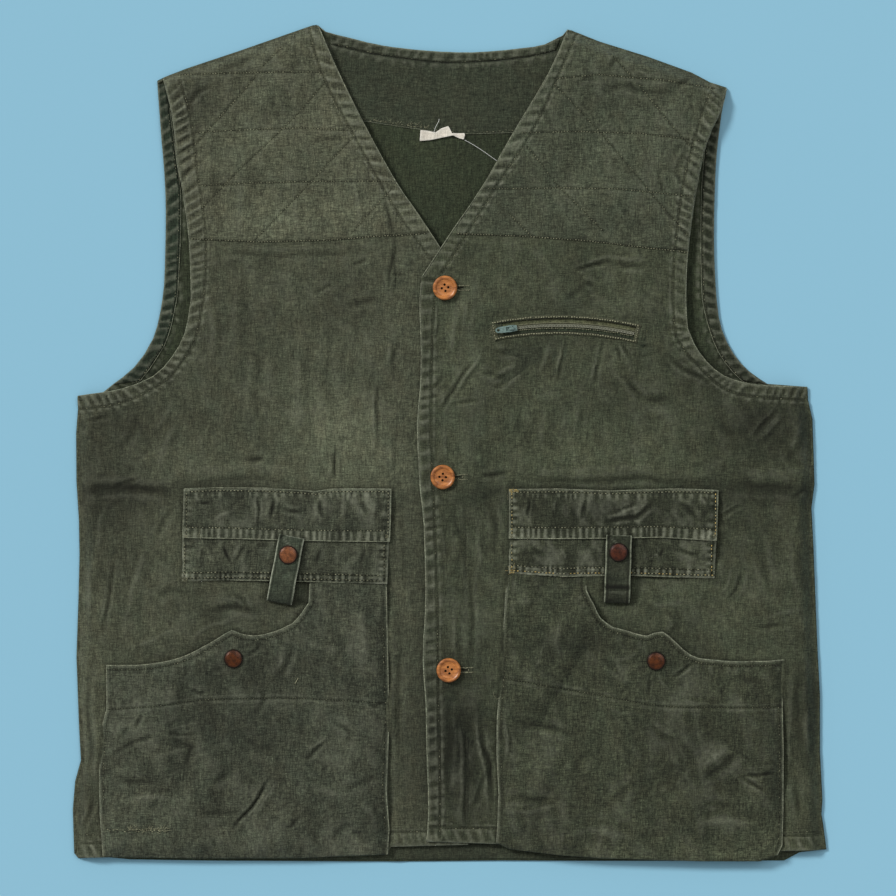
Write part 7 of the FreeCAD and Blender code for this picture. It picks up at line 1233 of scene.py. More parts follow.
# ------------------------------------------------------------------ threads: every stitch is a small capsule in the cloth
class Threads:
    def __init__(self):
        self.co, self.tri, self.tone, self.n = [], [], [], 0

    def capsule(self, A, B, r, tone, sides=5):
        """A, B (n,3) ends, r (n,) radii, tone (n,)."""
        n = len(A)
        ax = B - A
        L = np.linalg.norm(ax, axis=1)[:, None]
        ax = ax / np.maximum(L, 1e-9)
        up = np.tile([0.0, 0.0, 1.0], (n, 1))
        u = np.cross(up, ax)
        bad = np.linalg.norm(u, axis=1) < 1e-3
        u[bad] = [1.0, 0.0, 0.0]
        u /= np.linalg.norm(u, axis=1)[:, None]
        v = np.cross(ax, u)
        ang = np.arange(sides) * 2 * math.pi / sides
        ring = [(0.22, 0.85), (0.78, 0.85)]
        pts = [A[:, None, :]]
        for f, s in ring:
            c = A + ax * L * f
            pts.append(c[:, None, :] + (np.cos(ang)[None, :, None] * u[:, None, :] + np.sin(ang)[None, :, None] * v[:, None, :]) * (r * s)[:, None, None])
        pts.append(B[:, None, :])
        P = np.concatenate(pts, axis=1)
        k = P.shape[1]
        f = []
        for i in range(sides):
            j = (i + 1) % sides
            f.append((0, 1 + j, 1 + i))
            f.append((1 + i, 1 + j, 1 + sides + j))
            f.append((1 + i, 1 + sides + j, 1 + sides + i))
            f.append((1 + sides + i, 1 + sides + j, 1 + 2 * sides))
        f = np.array(f)
        self.co.append(P.reshape(-1, 3))
        self.tri.append((f[None] + (np.arange(n) * k)[:, None, None] + self.n).reshape(-1, 3))
        self.tone.append(np.repeat(tone, k))
        self.n += n * k

    def run(self, L, zf, pitch=2.45, length=1.75, r=0.24, tone=0.55, spread=0.25, lift=0.10, dots=0.75, gap=0.04, seed=1, wobble=0.14, shift=0.0):
        """A row of stitches along L. tone is the mean; dots sets the radius of the dark mark between stitches (painted
        shade for the needle hole), 0 for none.
        """
        L = resample(clean(np.asarray(L, float), 0.05), 0.8, closed=False)
        seg = np.hypot(*np.diff(L, axis=0).T)
        S = np.concatenate([[0], np.cumsum(seg)])
        n = int(S[-1] // pitch)
        if n < 1:
            return
        rng = np.random.default_rng(500 + seed)
        s0 = (np.arange(n) + 0.5) * pitch + rng.normal(0, 0.10, n)
        at = lambda s: np.stack([np.interp(s, S, L[:, 0]), np.interp(s, S, L[:, 1])], 1)
        d = at(s0 + 0.3) - at(s0 - 0.3)
        d /= np.maximum(np.hypot(d[:, 0], d[:, 1])[:, None], 1e-9)
        side = np.stack([-d[:, 1], d[:, 0]], 1)
        C = at(s0) + side * (rng.normal(0, wobble, n)[:, None] + shift)
        keep = rng.random(n) > gap
        ln = length * rng.uniform(0.8, 1.1, n)
        tilt = side * rng.normal(0, 0.10, n)[:, None]
        A2, B2 = C - (d + tilt) * ln[:, None] / 2, C + (d + tilt) * ln[:, None] / 2
        z = zf(C)
        z = z[0] if isinstance(z, tuple) else z
        za, zb = zf(A2), zf(B2)
        za, zb = (q[0] if isinstance(q, tuple) else q for q in (za, zb))
        hi = np.maximum(np.maximum(za, zb), z)
        A = np.column_stack([A2, np.minimum(za, hi) + lift * 0.2])
        B = np.column_stack([B2, np.minimum(zb, hi) + lift * 0.2])
        midz = np.maximum(z, (A[:, 2] + B[:, 2]) / 2) + lift
        Cm = np.column_stack([C, midz])
        tn = np.clip(tone + rng.normal(0, spread, n), 0.0, 0.80) if tone < 0.85 else np.clip(tone + rng.normal(0, spread, n), 0.55, 1.0)
        rr = r * rng.uniform(0.85, 1.15, n)
        A[:, 2] += (midz - (A[:, 2] + B[:, 2]) / 2) * 0.8
        B[:, 2] = B[:, 2] + (midz - (A[:, 2] + B[:, 2]) / 2) * 0.8
        self.capsule(A[keep], B[keep], rr[keep], tn[keep])
        if dots:
            # Painted shade: a near-black capsule (tone 0) between stitches where the needle hole is.
            H = at(s0 + pitch / 2) + side * (rng.normal(0, wobble * 0.6, n)[:, None] + shift)
            zh = zf(H)
            zh = zh[0] if isinstance(zh, tuple) else zh
            hd = d * 0.42
            self.capsule(np.column_stack([H - hd, zh + 0.05]), np.column_stack([H + hd, zh + 0.05]), np.full(n, 0.30 * dots), np.zeros(n))

    def tube(self, L, zf, r=0.45, tone=0.7, step=1.6, seed=1, wander=0.0, lift=0.0):
        L = resample(clean(np.asarray(L, float), 0.05), step, closed=False)
        rng = np.random.default_rng(900 + seed)
        z = zf(L)
        z = z[0] if isinstance(z, tuple) else z
        P = np.column_stack([L, z + lift])
        P[:, :2] += rng.normal(0, wander, (len(L), 2))
        rr = r * (1 + 0.22 * noise(P[:, :2] * 1.0, 5.0, 90 + seed))
        k = 6
        t = np.gradient(P, axis=0)
        t /= np.maximum(np.linalg.norm(t, axis=1)[:, None], 1e-9)
        u = np.cross(np.tile([0, 0, 1.0], (len(P), 1)), t)
        u /= np.maximum(np.linalg.norm(u, axis=1)[:, None], 1e-9)
        v = np.cross(t, u)
        ang = np.arange(k) * 2 * math.pi / k
        R = P[:, None, :] + (np.cos(ang)[None, :, None] * u[:, None, :] + np.sin(ang)[None, :, None] * v[:, None, :]) * rr[:, None, None]
        co = R.reshape(-1, 3)
        m = len(P)
        f = []
        for i in range(m - 1):
            for j in range(k):
                q = (j + 1) % k
                f += [(i * k + j, i * k + q, (i + 1) * k + q), (i * k + j, (i + 1) * k + q, (i + 1) * k + j)]
        for j in range(1, k - 1):
            f += [(0, j + 1, j), ((m - 1) * k, (m - 1) * k + j, (m - 1) * k + j + 1)]
        self.co.append(co)
        self.tri.append(np.array(f) + self.n)
        self.tone.append(np.full(len(co), tone))
        self.n += len(co)

    def strand(self, pts, r=0.16, tone=0.8):
        """One loose bit of thread through 3-D points."""
        P = np.array(pts, float)
        s = np.linspace(0, len(P) - 1, (len(P) - 1) * 5 + 1)
        i = np.clip(s.astype(int), 0, len(P) - 2)
        f = s - i
        g = lambda k: P[np.clip(i + k, 0, len(P) - 1)]
        Q = 0.5 * ((2 * g(0)) + (-g(-1) + g(1)) * f[:, None] + (2 * g(-1) - 5 * g(0) + 4 * g(1) - g(2)) * f[:, None] ** 2 + (-g(-1) + 3 * g(0) - 3 * g(1) + g(2)) * f[:, None] ** 3)
        self.capsule(Q[:-1], Q[1:] + (Q[1:] - Q[:-1]) * 0.35, np.full(len(Q) - 1, r), np.full(len(Q) - 1, tone), 5)

    def build(self, name, mat, body="root", nodes=()):
        co, tri, tone = np.vstack(self.co), np.vstack(self.tri), np.concatenate(self.tone)
        ob = mesh_object(name, co, tri, {"tone": tone, "shade": np.ones(len(co)), "wear_and_shade": np.zeros(len(co))}, [mat])
        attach(ob, body)
        if nodes:
            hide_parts(*nodes)
        return ob


# ------------------------------------------------------------------ cloth simulation: how slack cloth between its seams buckles
def relief(poly, seams, slack=0.02, pressure=0.0, step=5.0, frames=30, seed=1, cap=4.0, band=7.0, hold=0.03, bend=0.5, push=0.6):
    """Simulates the sheet sewn down along seams, with slack cloth between them. Returns height in mm as a function of points."""
    V, F = triangulate(poly, step, ring=0)
    k = 0.01
    z0 = push * (noise(V, 34, 300 + seed) + 0.8 * noise(V, (16, 46), 301 + seed, 30))
    ob = mesh_object("relief_%d" % seed, np.column_stack([V, z0]) / MM * k, F)
    pin = np.zeros(len(V))
    for L in seams:
        pin = np.maximum(pin, np.exp(-((dist(V, L) / band) ** 4)))
    group = ob.vertex_groups.new(name="pin")
    for i, w in enumerate(pin):
        group.add([i], max(float(w), hold), "REPLACE")
    mod = ob.modifiers.new("cloth", "CLOTH")
    c = mod.settings
    c.quality = 5
    c.mass = 0.18
    c.tension_stiffness = c.compression_stiffness = 12.0
    c.shear_stiffness = 4.0
    c.bending_stiffness = bend
    c.tension_damping = c.compression_damping = 8.0
    c.air_damping = 2.5
    c.vertex_group_mass = "pin"
    c.shrink_min = c.shrink_max = -slack
    c.use_pressure = pressure > 0
    c.uniform_pressure_force = pressure
    c.effector_weights.gravity = 0.0
    mod.point_cache.frame_start, mod.point_cache.frame_end = 1, frames
    for f in range(1, frames + 1):
        scene.frame_set(f)
    dg = bpy.context.evaluated_depsgraph_get()
    ev = ob.evaluated_get(dg)
    co = np.zeros(len(V) * 3, np.float32)
    ev.data.vertices.foreach_get("co", co)
    co = co.reshape(-1, 3) / k
    scene.frame_set(1)
    me = ob.data
    bpy.data.objects.remove(ob)
    bpy.data.meshes.remove(me)
    g = 2.5
    lo = poly.min(0) - 12
    n = np.ceil((poly.max(0) + 12 - lo) / g).astype(int) + 1
    H = np.zeros((n[0], n[1]))
    for a, b, c3 in F:
        T = V[[a, b, c3]]
        i0 = np.floor((T.min(0) - lo) / g).astype(int)
        i1 = np.ceil((T.max(0) - lo) / g).astype(int)
        gx, gy = np.meshgrid(np.arange(i0[0], i1[0] + 1), np.arange(i0[1], i1[1] + 1), indexing="ij")
        p = np.stack([gx.ravel(), gy.ravel()], 1) * g + lo
        d = (T[1] - T[0])[0] * (T[2] - T[0])[1] - (T[1] - T[0])[1] * (T[2] - T[0])[0]
        if abs(d) < 1e-9:
            continue
        u = ((p - T[0])[:, 0] * (T[2] - T[0])[1] - (p - T[0])[:, 1] * (T[2] - T[0])[0]) / d
        v = ((T[1] - T[0])[0] * (p - T[0])[:, 1] - (T[1] - T[0])[1] * (p - T[0])[:, 0]) / d
        m = (u > -0.02) & (v > -0.02) & (u + v < 1.02)
        H[gx.ravel()[m], gy.ravel()[m]] = (co[a, 2] + u * (co[b, 2] - co[a, 2]) + v * (co[c3, 2] - co[a, 2]))[m]
    H = np.clip(np.nan_to_num(H), -3 * cap, 3 * cap)
    for _ in range(3):
        H = (H + 0.5 * (np.roll(H, 1, 0) + np.roll(H, -1, 0) + np.roll(H, 1, 1) + np.roll(H, -1, 1))) / 3

    def at(P):
        q = (P - lo) / g
        q = np.clip(q, 0, n - 1.001)
        i = q.astype(int)
        f = q - i
        f = f * f * (3 - 2 * f)
        i = np.minimum(i, n - 2)
        h = (H[i[:, 0], i[:, 1]] * (1 - f[:, 0]) + H[i[:, 0] + 1, i[:, 1]] * f[:, 0]) * (1 - f[:, 1]) + (H[i[:, 0], i[:, 1] + 1] * (1 - f[:, 0]) + H[i[:, 0] + 1, i[:, 1] + 1] * f[:, 0]) * f[:, 1]
        return cap * np.tanh(h / cap)
    return at


for s in ("_R", "_L"):
    RELIEF["pouch" + s] = relief(OUT[s[1] + "POUCH"], [LIN["POUT" + s], LIN["PIN" + s], LIN["PBOT" + s]], slack=0.02, seed=1 if s == "_R" else 2, hold=0.02, bend=0.5)
    RELIEF["front" + s] = relief(OUT[s[1] + "FRONT"], [LIN["SIDE" + s], LIN["SH" + s], LIN["ARM" + s + "_ST"], LIN["NECK" + s + "_ST"], LIN["HEM" + s]] + ([LIN["PLACK_ST"]] if s == "_L" else []), slack=0.012, step=6.0, push=0.3, seed=3 if s == "_R" else 4, hold=0.015, bend=1.5)

# ------------------------------------------------------------------ pieces
def on_front(side, off):
    return lambda P: (lambda r: (r[0] + off, r[1] * 0.5))(front(P, side))


def on_back(off):
    return lambda P: (lambda r: (r[0] + off, r[1]))(back(P))


def arc(a0, a1, r, n=60):
    a = np.radians(np.linspace(a0, a1, n))
    return np.stack([ZC[0] + (ZR + r) * np.cos(a), ZC[1] + (ZR + r) * np.sin(a)], 1)


def arc_box(a0, a1, r0, r1, n=60):
    return np.vstack([arc(a0, a1, r1, n), arc(a1, a0, r0, n)])


def rect(x0, x1, y0, y1):
    return np.array([(x0, y0), (x1, y0), (x1, y1), (x0, y1)], float)


WINDOW = arc_box(ZA0, ZA1, -6.0, 6.0, 70)
SLOTS = [rect(x - 2.0, x + 15.6, y - 0.60, y + 0.60) for x, y in BUTTONS]

back_ob = cloth_piece("back_panel_cloth", OUT["BACK"], 3.0, back, 1.0, M["inner_low"], ["back_panel"])
BY = OUT["BYOKE"]
cloth_piece("back_yoke_lining_cloth", BY, 2.4, on_back(0.85), 0.8, M["inner"], ["back_yoke_lining"])
cloth_piece("back_neck_facing_cloth", OUT["BNECKF"], 1.8, on_back(0.85), 0.8, M["inner"], ["back_neck_facing"], strip=True)
cloth_piece("right_back_armhole_facing_cloth", OUT["RBARMF"], 1.8, on_back(0.85), 0.8, M["inner_green"], ["right_back_armhole_facing"], strip=True)
cloth_piece("left_back_armhole_facing_cloth", OUT["LBARMF"], 1.8, on_back(0.85), 0.8, M["inner_left"], ["left_back_armhole_facing"], strip=True)
cloth_piece("back_hem_cloth", OUT["BHEM"], 3.0, on_back(0.85), 0.8, M["inner"], ["back_hem"], strip=True)

cloth_piece("right_front_cloth", OUT["RFRONT"], 1.6, lambda P: front(P, "right"), 1.0, M["right"], ["right_front_panel"], lower=5.0)
cloth_piece("left_front_cloth", OUT["LFRONT"], 1.6, lambda P: front(P, "left"), 1.0, M["left"], ["left_front_panel"], holes=[WINDOW] + SLOTS, lower=5.0)
cloth_piece("right_yoke_cloth", OUT["RYOKE"], 1.3, lambda P: yoke(P, "right"), 0.85, M["yoke_r"], ["right_shoulder_yoke"], lower=4.0)
cloth_piece("left_yoke_cloth", OUT["LYOKE"], 1.3, lambda P: yoke(P, "left"), 0.85, M["yoke_l"], ["left_shoulder_yoke"], lower=4.0)
for side, k in (("right", "R"), ("left", "L")):
    cloth_piece(side + "_neck_facing_cloth", OUT[k + "NECKF"], 2.2, on_front(side, -1.05), 0.8, M["inner"], [side + "_neck_facing"], strip=True)
    cloth_piece(side + "_armhole_facing_cloth", OUT[k + "ARMF"], 2.2, on_front(side, -1.05), 0.8, M["inner"], [side + "_front_armhole_facing"], strip=True)
    cloth_piece(side + "_hem_cloth", OUT[k + "HEM"], 2.6, on_front(side, -1.05), 0.8, M["inner"], [side + "_front_hem"], strip=True)
cloth_piece("button_stand_cloth", OUT["RSTAND"], 2.8, on_front("right", -1.05), 0.8, M["inner"], ["right_button_stand"], strip=True)
cloth_piece("buttonhole_facing_cloth", OUT["LSTAND"], 2.8, on_front("left", -1.05), 0.75, M["inner"], ["left_buttonhole_facing"], holes=SLOTS, strip=True)

for side, k in (("right", "R"), ("left", "L")):
    cloth_piece(side + "_pouch_cloth", OUT[k + "POUCH"], 1.15, lambda P, s=side: pouch(P, s), 0.95, M["pouch_" + side[0]], [side + "_pouch_pocket"], lower=4.0)
    cloth_piece(side + "_pouch_facing_cloth", OUT[k + "PFAC"], 2.4, lambda P, s=side: (pouch(P, s)[0] - 1.0, np.zeros(len(P))), 0.7, M["inner"], [side + "_pouch_facing"])
    cloth_piece(side + "_patch_cloth", OUT[k + "PATCH"], 1.1, lambda P, s=side: pocket(P, s, 0), 0.85, M["pocket_" + side[0]], [side + "_pocket_patch"])
    cloth_piece(side + "_band_cloth", OUT[k + "BAND"], 1.1, lambda P, s=side: pocket(P, s, 1), 0.85, M["pocket_" + side[0]], [side + "_pocket_band"])

# zip: tapes, raised frame and the bag behind
cloth_piece("zip_tape_upper_cloth", arc_box(100.6, 75.6, 1.0, 9.0), 1.6, lambda P: 9.2 + 0.12 * fbm(P, (16, 5), 61, 2), 0.8, cloth("zip_tape_upper", (0.076, 0.080, 0.042), 0.03, 24.0), ["zip_upper_tape"], strip=True)
cloth_piece("zip_tape_lower_cloth", arc_box(100.6, 75.6, -9.0, -1.0), 1.6, lambda P: 9.2 + 0.12 * fbm(P, (16, 5), 62, 2), 0.8, cloth("zip_tape_lower", (0.026, 0.033, 0.019), 0.08, 25.0), ["zip_lower_tape"], strip=True)


ZH0, ZH1, ZF0, ZF1 = 100.1, 77.45, 100.85, 76.85


def welt_top(P):
    r = np.hypot(P[:, 0] - ZC[0], P[:, 1] - ZC[1]) - ZR
    z = 10.80 + 0.22 * np.cos((r - np.where(r > 0, 7.0, -6.2)) * 1.5) + 0.10 * fbm(P, (9, 6), 63, 2)
    return z, 0.02 + 0.10 * noise(P, 6, 64)


cloth_piece("zip_frame_cloth", arc_box(ZF0, ZF1, -7.3, 8.1, 90), 0.9, welt_top, 0.60, cloth("zip_frame", (0.060, 0.063, 0.036), 0.04, 21.0), ["zip_welt"], holes=[arc_box(ZH0, ZH1, -5.3, 5.9, 90)], strip=True)
lo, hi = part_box("zip_pocket_bag")
bag = rect(lo.x * 1e3 + 0.5, hi.x * 1e3 - 0.5, lo.y * 1e3 + 0.5, hi.y * 1e3 - 0.5)
bag_loop = np.vstack([bag, bag[:1]])
cloth_piece("zip_bag_cloth", bag, 4.0, lambda P: 4.9 + 3.2 * sm(dist(P, bag_loop) / 18.0) * (0.8 + 0.2 * fbm(P, 30, 65)), 0.6, M["inner"], ["zip_pocket_bag"])

# neck label: a blank folded tape, lifted where it is twisted
lab = np.array([(-23.7, 256.9), (-18.0, 256.3), (-13.0, 255.2), (-11.0, 255.3), (-6.7, 258.3), (-1.2, 260.1), (0.3, 257.6), (1.9, 254.2), (3.2, 254.3), (6.3, 254.1), (12.0, 254.3), (12.4, 252.7), (11.4, 249.6), (8.2, 250.4), (4.8, 251.9), (3.0, 252.8), (1.7, 252.7), (-7.7, 250.8), (-15.6, 249.1), (-24.3, 248.3)], float)[::-1]
label_mat = cloth("label_tape", (0.66, 0.61, 0.53), 0.01, 23.0, worn=(0.86, 0.83, 0.76), fleck=0.5, rough=0.30)
cloth_piece("neck_label_cloth", lab, 0.7, lambda P: (2.7 + 0.75 * np.exp(-(((P[:, 0] - 2.6) / 1.5) ** 2)) + 0.35 * np.exp(-(((P[:, 0] + 3.2 - 0.5 * (P[:, 1] - 252)) / 2.2) ** 2)) + 0.25 * fbm(P, 9, 66), 0.30 * np.exp(-((dist(P, np.vstack([lab, lab[:1]])) / 0.7) ** 2)) - 0.30 * np.exp(-(((P[:, 0] - 2.5) / 1.2) ** 2))), 0.45, label_mat, ["neck_label"])


# snap straps: one folded strip each, bending between the front and the moving flap
def strap(side):
    px, py, pz, tilt, cap_d = PIVOT[side]
    prof = np.array([(12.0, -1.35), (9.0, -1.35), (6.0, -1.35), (3.0, -1.35), (1.2, -1.2), (-0.1, -0.75), (-0.75, 0.0), (-0.95, 0.9), (-0.7, 1.9), (0.1, 2.9), (1.4, 3.9), (3.2, 4.9), (5.4, 5.7), (8.2, 6.3), (11.5, 6.62), (15, 6.75)]
                    + [(d, 6.8) for d in np.arange(17.0, 53.6, 1.4)] + [(54.2, 6.78)], float)
    t = np.gradient(prof, axis=0)
    t /= np.hypot(t[:, 0], t[:, 1])[:, None]
    n = np.stack([-t[:, 1], t[:, 0]], 1)
    front_part = np.arange(len(prof)) >= 9
    lat = np.array([-10.5, -10.25, -9.8, -9.1, -8.2, -7, -5.6, -4, -2.4, -0.8, 0.8, 2.4, 4, 5.6, 7, 8.2, 9.1, 9.8, 10.25, 10.5])
    ca, sa = math.cos(math.radians(tilt)), math.sin(math.radians(tilt))
    m, w = len(prof), len(lat)
    D, T = np.meshgrid(prof[:, 0], lat, indexing="ij")
    Q = np.stack([T.ravel() + (0 if side == "right" else 300), D.ravel()], 1)
    cap = np.exp(-(((T - 0.0) ** 2 + (D - cap_d) ** 2) / 110.0) ** 2)
    bump = (0.30 * fbm(Q, (9, 14), 70, 2) + 0.22 * fbm(Q, (30, 7), 71, 2)).reshape(D.shape) * (1 - cap) * front_part[:, None]
    if side == "left":
        bump -= 0.55 * np.exp(-(((D - 11.5) / 1.1) ** 2)) * front_part[:, None]
    bump += 0.22 * np.exp(-(((np.abs(T) - 9.6) / 0.6) ** 2)) * front_part[:, None]
    along_w = 1 + 0.012 * np.sin(D / 4.0) * np.sign(T)
    end = np.zeros_like(D)
    last = D > 53.0
    half = 0.6
    edge = np.clip(1 - ((np.abs(T) - 9.9) / 0.75).clip(0) ** 2, 0.25, 1)
    co, layers = [], []
    for sgn in (1, -1):
        zz = prof[:, 1][:, None] + n[:, 1][:, None] * half * sgn * edge + bump * (n[:, 1][:, None])
        dd = prof[:, 0][:, None] + n[:, 0][:, None] * half * sgn * edge + 0 * T
        tt = T * along_w
        X = px + tt * ca - dd * sa
        Y = py + tt * sa + dd * ca
        co.append(np.stack([X, Y, pz + zz], -1).reshape(-1, 3))
    co = np.vstack(co)
    g = np.arange(m * w).reshape(m, w)
    q = []
    A, B, C, E = g[:-1, :-1].ravel(), g[1:, :-1].ravel(), g[1:, 1:].ravel(), g[:-1, 1:].ravel()
    topf = np.vstack([np.column_stack([A, B, C]), np.column_stack([A, C, E])])
    N = m * w
    tri = [topf[:, ::-1], topf + N]
    rim = np.concatenate([g[0, :], g[1:, -1], g[-1, ::-1][1:], g[::-1, 0][1:]])
    for i, j in zip(rim[:-1], rim[1:]):
        tri.append(np.array([(i, j, j + N), (i, j + N, i + N)]))
    tri = np.vstack(tri)
    # Pale worn edges and end; a darker line just inside each edge; paler on raised lumps and darker in dips, a painted
    # highlight and painted shade.
    wear_and_shade = np.where(np.abs(T) > 9.9, 0.95, np.where(np.abs(T) > 9.3, 0.55, 0.0)) + np.where(D > 53.4, 0.75, 0.0) - 0.35 * np.exp(-(((np.abs(T) - 8.3) / 0.7) ** 2)) + 0.26 * bump + 0.07 * fbm(Q, (12, 9), 74, 3).reshape(D.shape)
    if side == "left":
        # Left strap crease: painted highlight just before the crease and painted shade in its groove.
        wear_and_shade = wear_and_shade + front_part[:, None] * (0.34 * np.exp(-(((D - 9.4) / 1.0) ** 2)) - 0.60 * np.exp(-(((D - 11.8) / 0.9) ** 2)))
    # Near the folded top corner: a pale diagonal line and darker cloth past it.
    wear_and_shade = wear_and_shade + front_part[:, None] * (0.45 * np.exp(-(((T + D - 45.5) / 0.6) ** 2)) - 0.55 * sm((T + D - 46.0) * 0 + (D - T - 58.5) / 1.5)) * (D > 44)
    wear_and_shade = np.concatenate([wear_and_shade.ravel(), wear_and_shade.ravel() * 0.6])
    ob = mesh_object(side + "_strap_cloth", co, tri, {"shade": np.ones(len(co)), "wear_and_shade": wear_and_shade}, [M["strap_" + side[0]]])
    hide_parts(side + "_strap_tab", side + "_strap_flap")
    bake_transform(ob)
    return ob


STRAPS = {s: strap(s) for s in ("right", "left")}

# seams at the sides and shoulders: rolled allowances between back and fronts
for side, s in (("right", "_R"), ("left", "_L")):
    t = Threads()
    L = LIN["SIDE" + s].copy()
    L[:, 0] += 1.1 if side == "right" else -1.1
    t.tube(L, lambda P: 1.35 + 0.15 * noise(P, 12, 91), r=1.15, tone=0.3, step=3.0, seed=3)
    t.build(side + "_side_seam_roll", M["right" if side == "right" else "left"], nodes=[side + "_side_seam"])
    t = Threads()
    L = LIN["SH" + s].copy() + np.array([0.0, -1.5])
    t.tube(L, lambda P: 1.35 + 0.12 * noise(P, 12, 92), r=1.1, tone=0.3, step=3.0, seed=4)
    t.build(side + "_shoulder_seam_roll", M["yoke_" + side[0]], nodes=[side + "_shoulder_seam"])

# worn folded edges, slightly thicker and paler than the cloth
for side, s in (("right", "_R"), ("left", "_L")):
    f = lambda P, q=side: front(P, q)[0] - 0.30
    p = lambda P, q=side: pouch(P, q)[0] - 0.28
    t = Threads()
    neck = LIN["NECK" + s]
    t.tube(neck, lambda P, q=side: front(P, q)[0] + (0.30 if q == "left" else 0.45), r=0.46, seed=11)
    t.tube(LIN["ARM" + s], lambda P, q=side: front(P, q)[0] - 0.25, r=0.42, seed=12)
    if side == "left":
        t.tube(LIN["PLACK"], f, r=0.62, seed=13)
    t.tube(LIN["PMOUTH" + s], p, r=0.54, seed=14)
    t.tube(LIN["POUT" + s], p, r=0.48, seed=15)
    t.tube(LIN["PIN" + s], p, r=0.48, seed=16)
    t.build(side + "_edge_rolls", M["roll"])
t = Threads()
t.tube(LIN["BACKNECK"], lambda P: back(P)[0] + 0.45, r=0.36, seed=17)
t.tube(LIN["YOKELINE"], lambda P: back(P)[0] + 0.68, r=0.17, seed=18)
t.tube(LIN["BARM_R_ST"][2:-3], lambda P: back(P)[0] + 0.70, r=0.26, seed=19)
t.tube(LIN["BARM_L_ST"][2:-3], lambda P: back(P)[0] + 0.70, r=0.26, seed=20)
t.build("back_edge_rolls", M["roll"])
t = Threads()
for k, lay in (("R", "right"), ("L", "left")):
    c = OUT[k + "BAND"]
    n = len(c)
    fz = lambda P, q=lay: pocket(P, q, 1)[0] - 0.25
    t.tube(np.vstack([c, c[:1]]), fz, r=0.40, seed=21)
    c = OUT[k + "PATCH"]
    low = c[c[:, 1] < -100]
    t.tube(np.vstack([low[np.argsort(low[:, 0])]])[1:-1], lambda P, q=lay: pocket(P, q, 0)[0] - 0.25, r=0.38, seed=22)
t.build("pocket_edge_rolls", M["roll"])

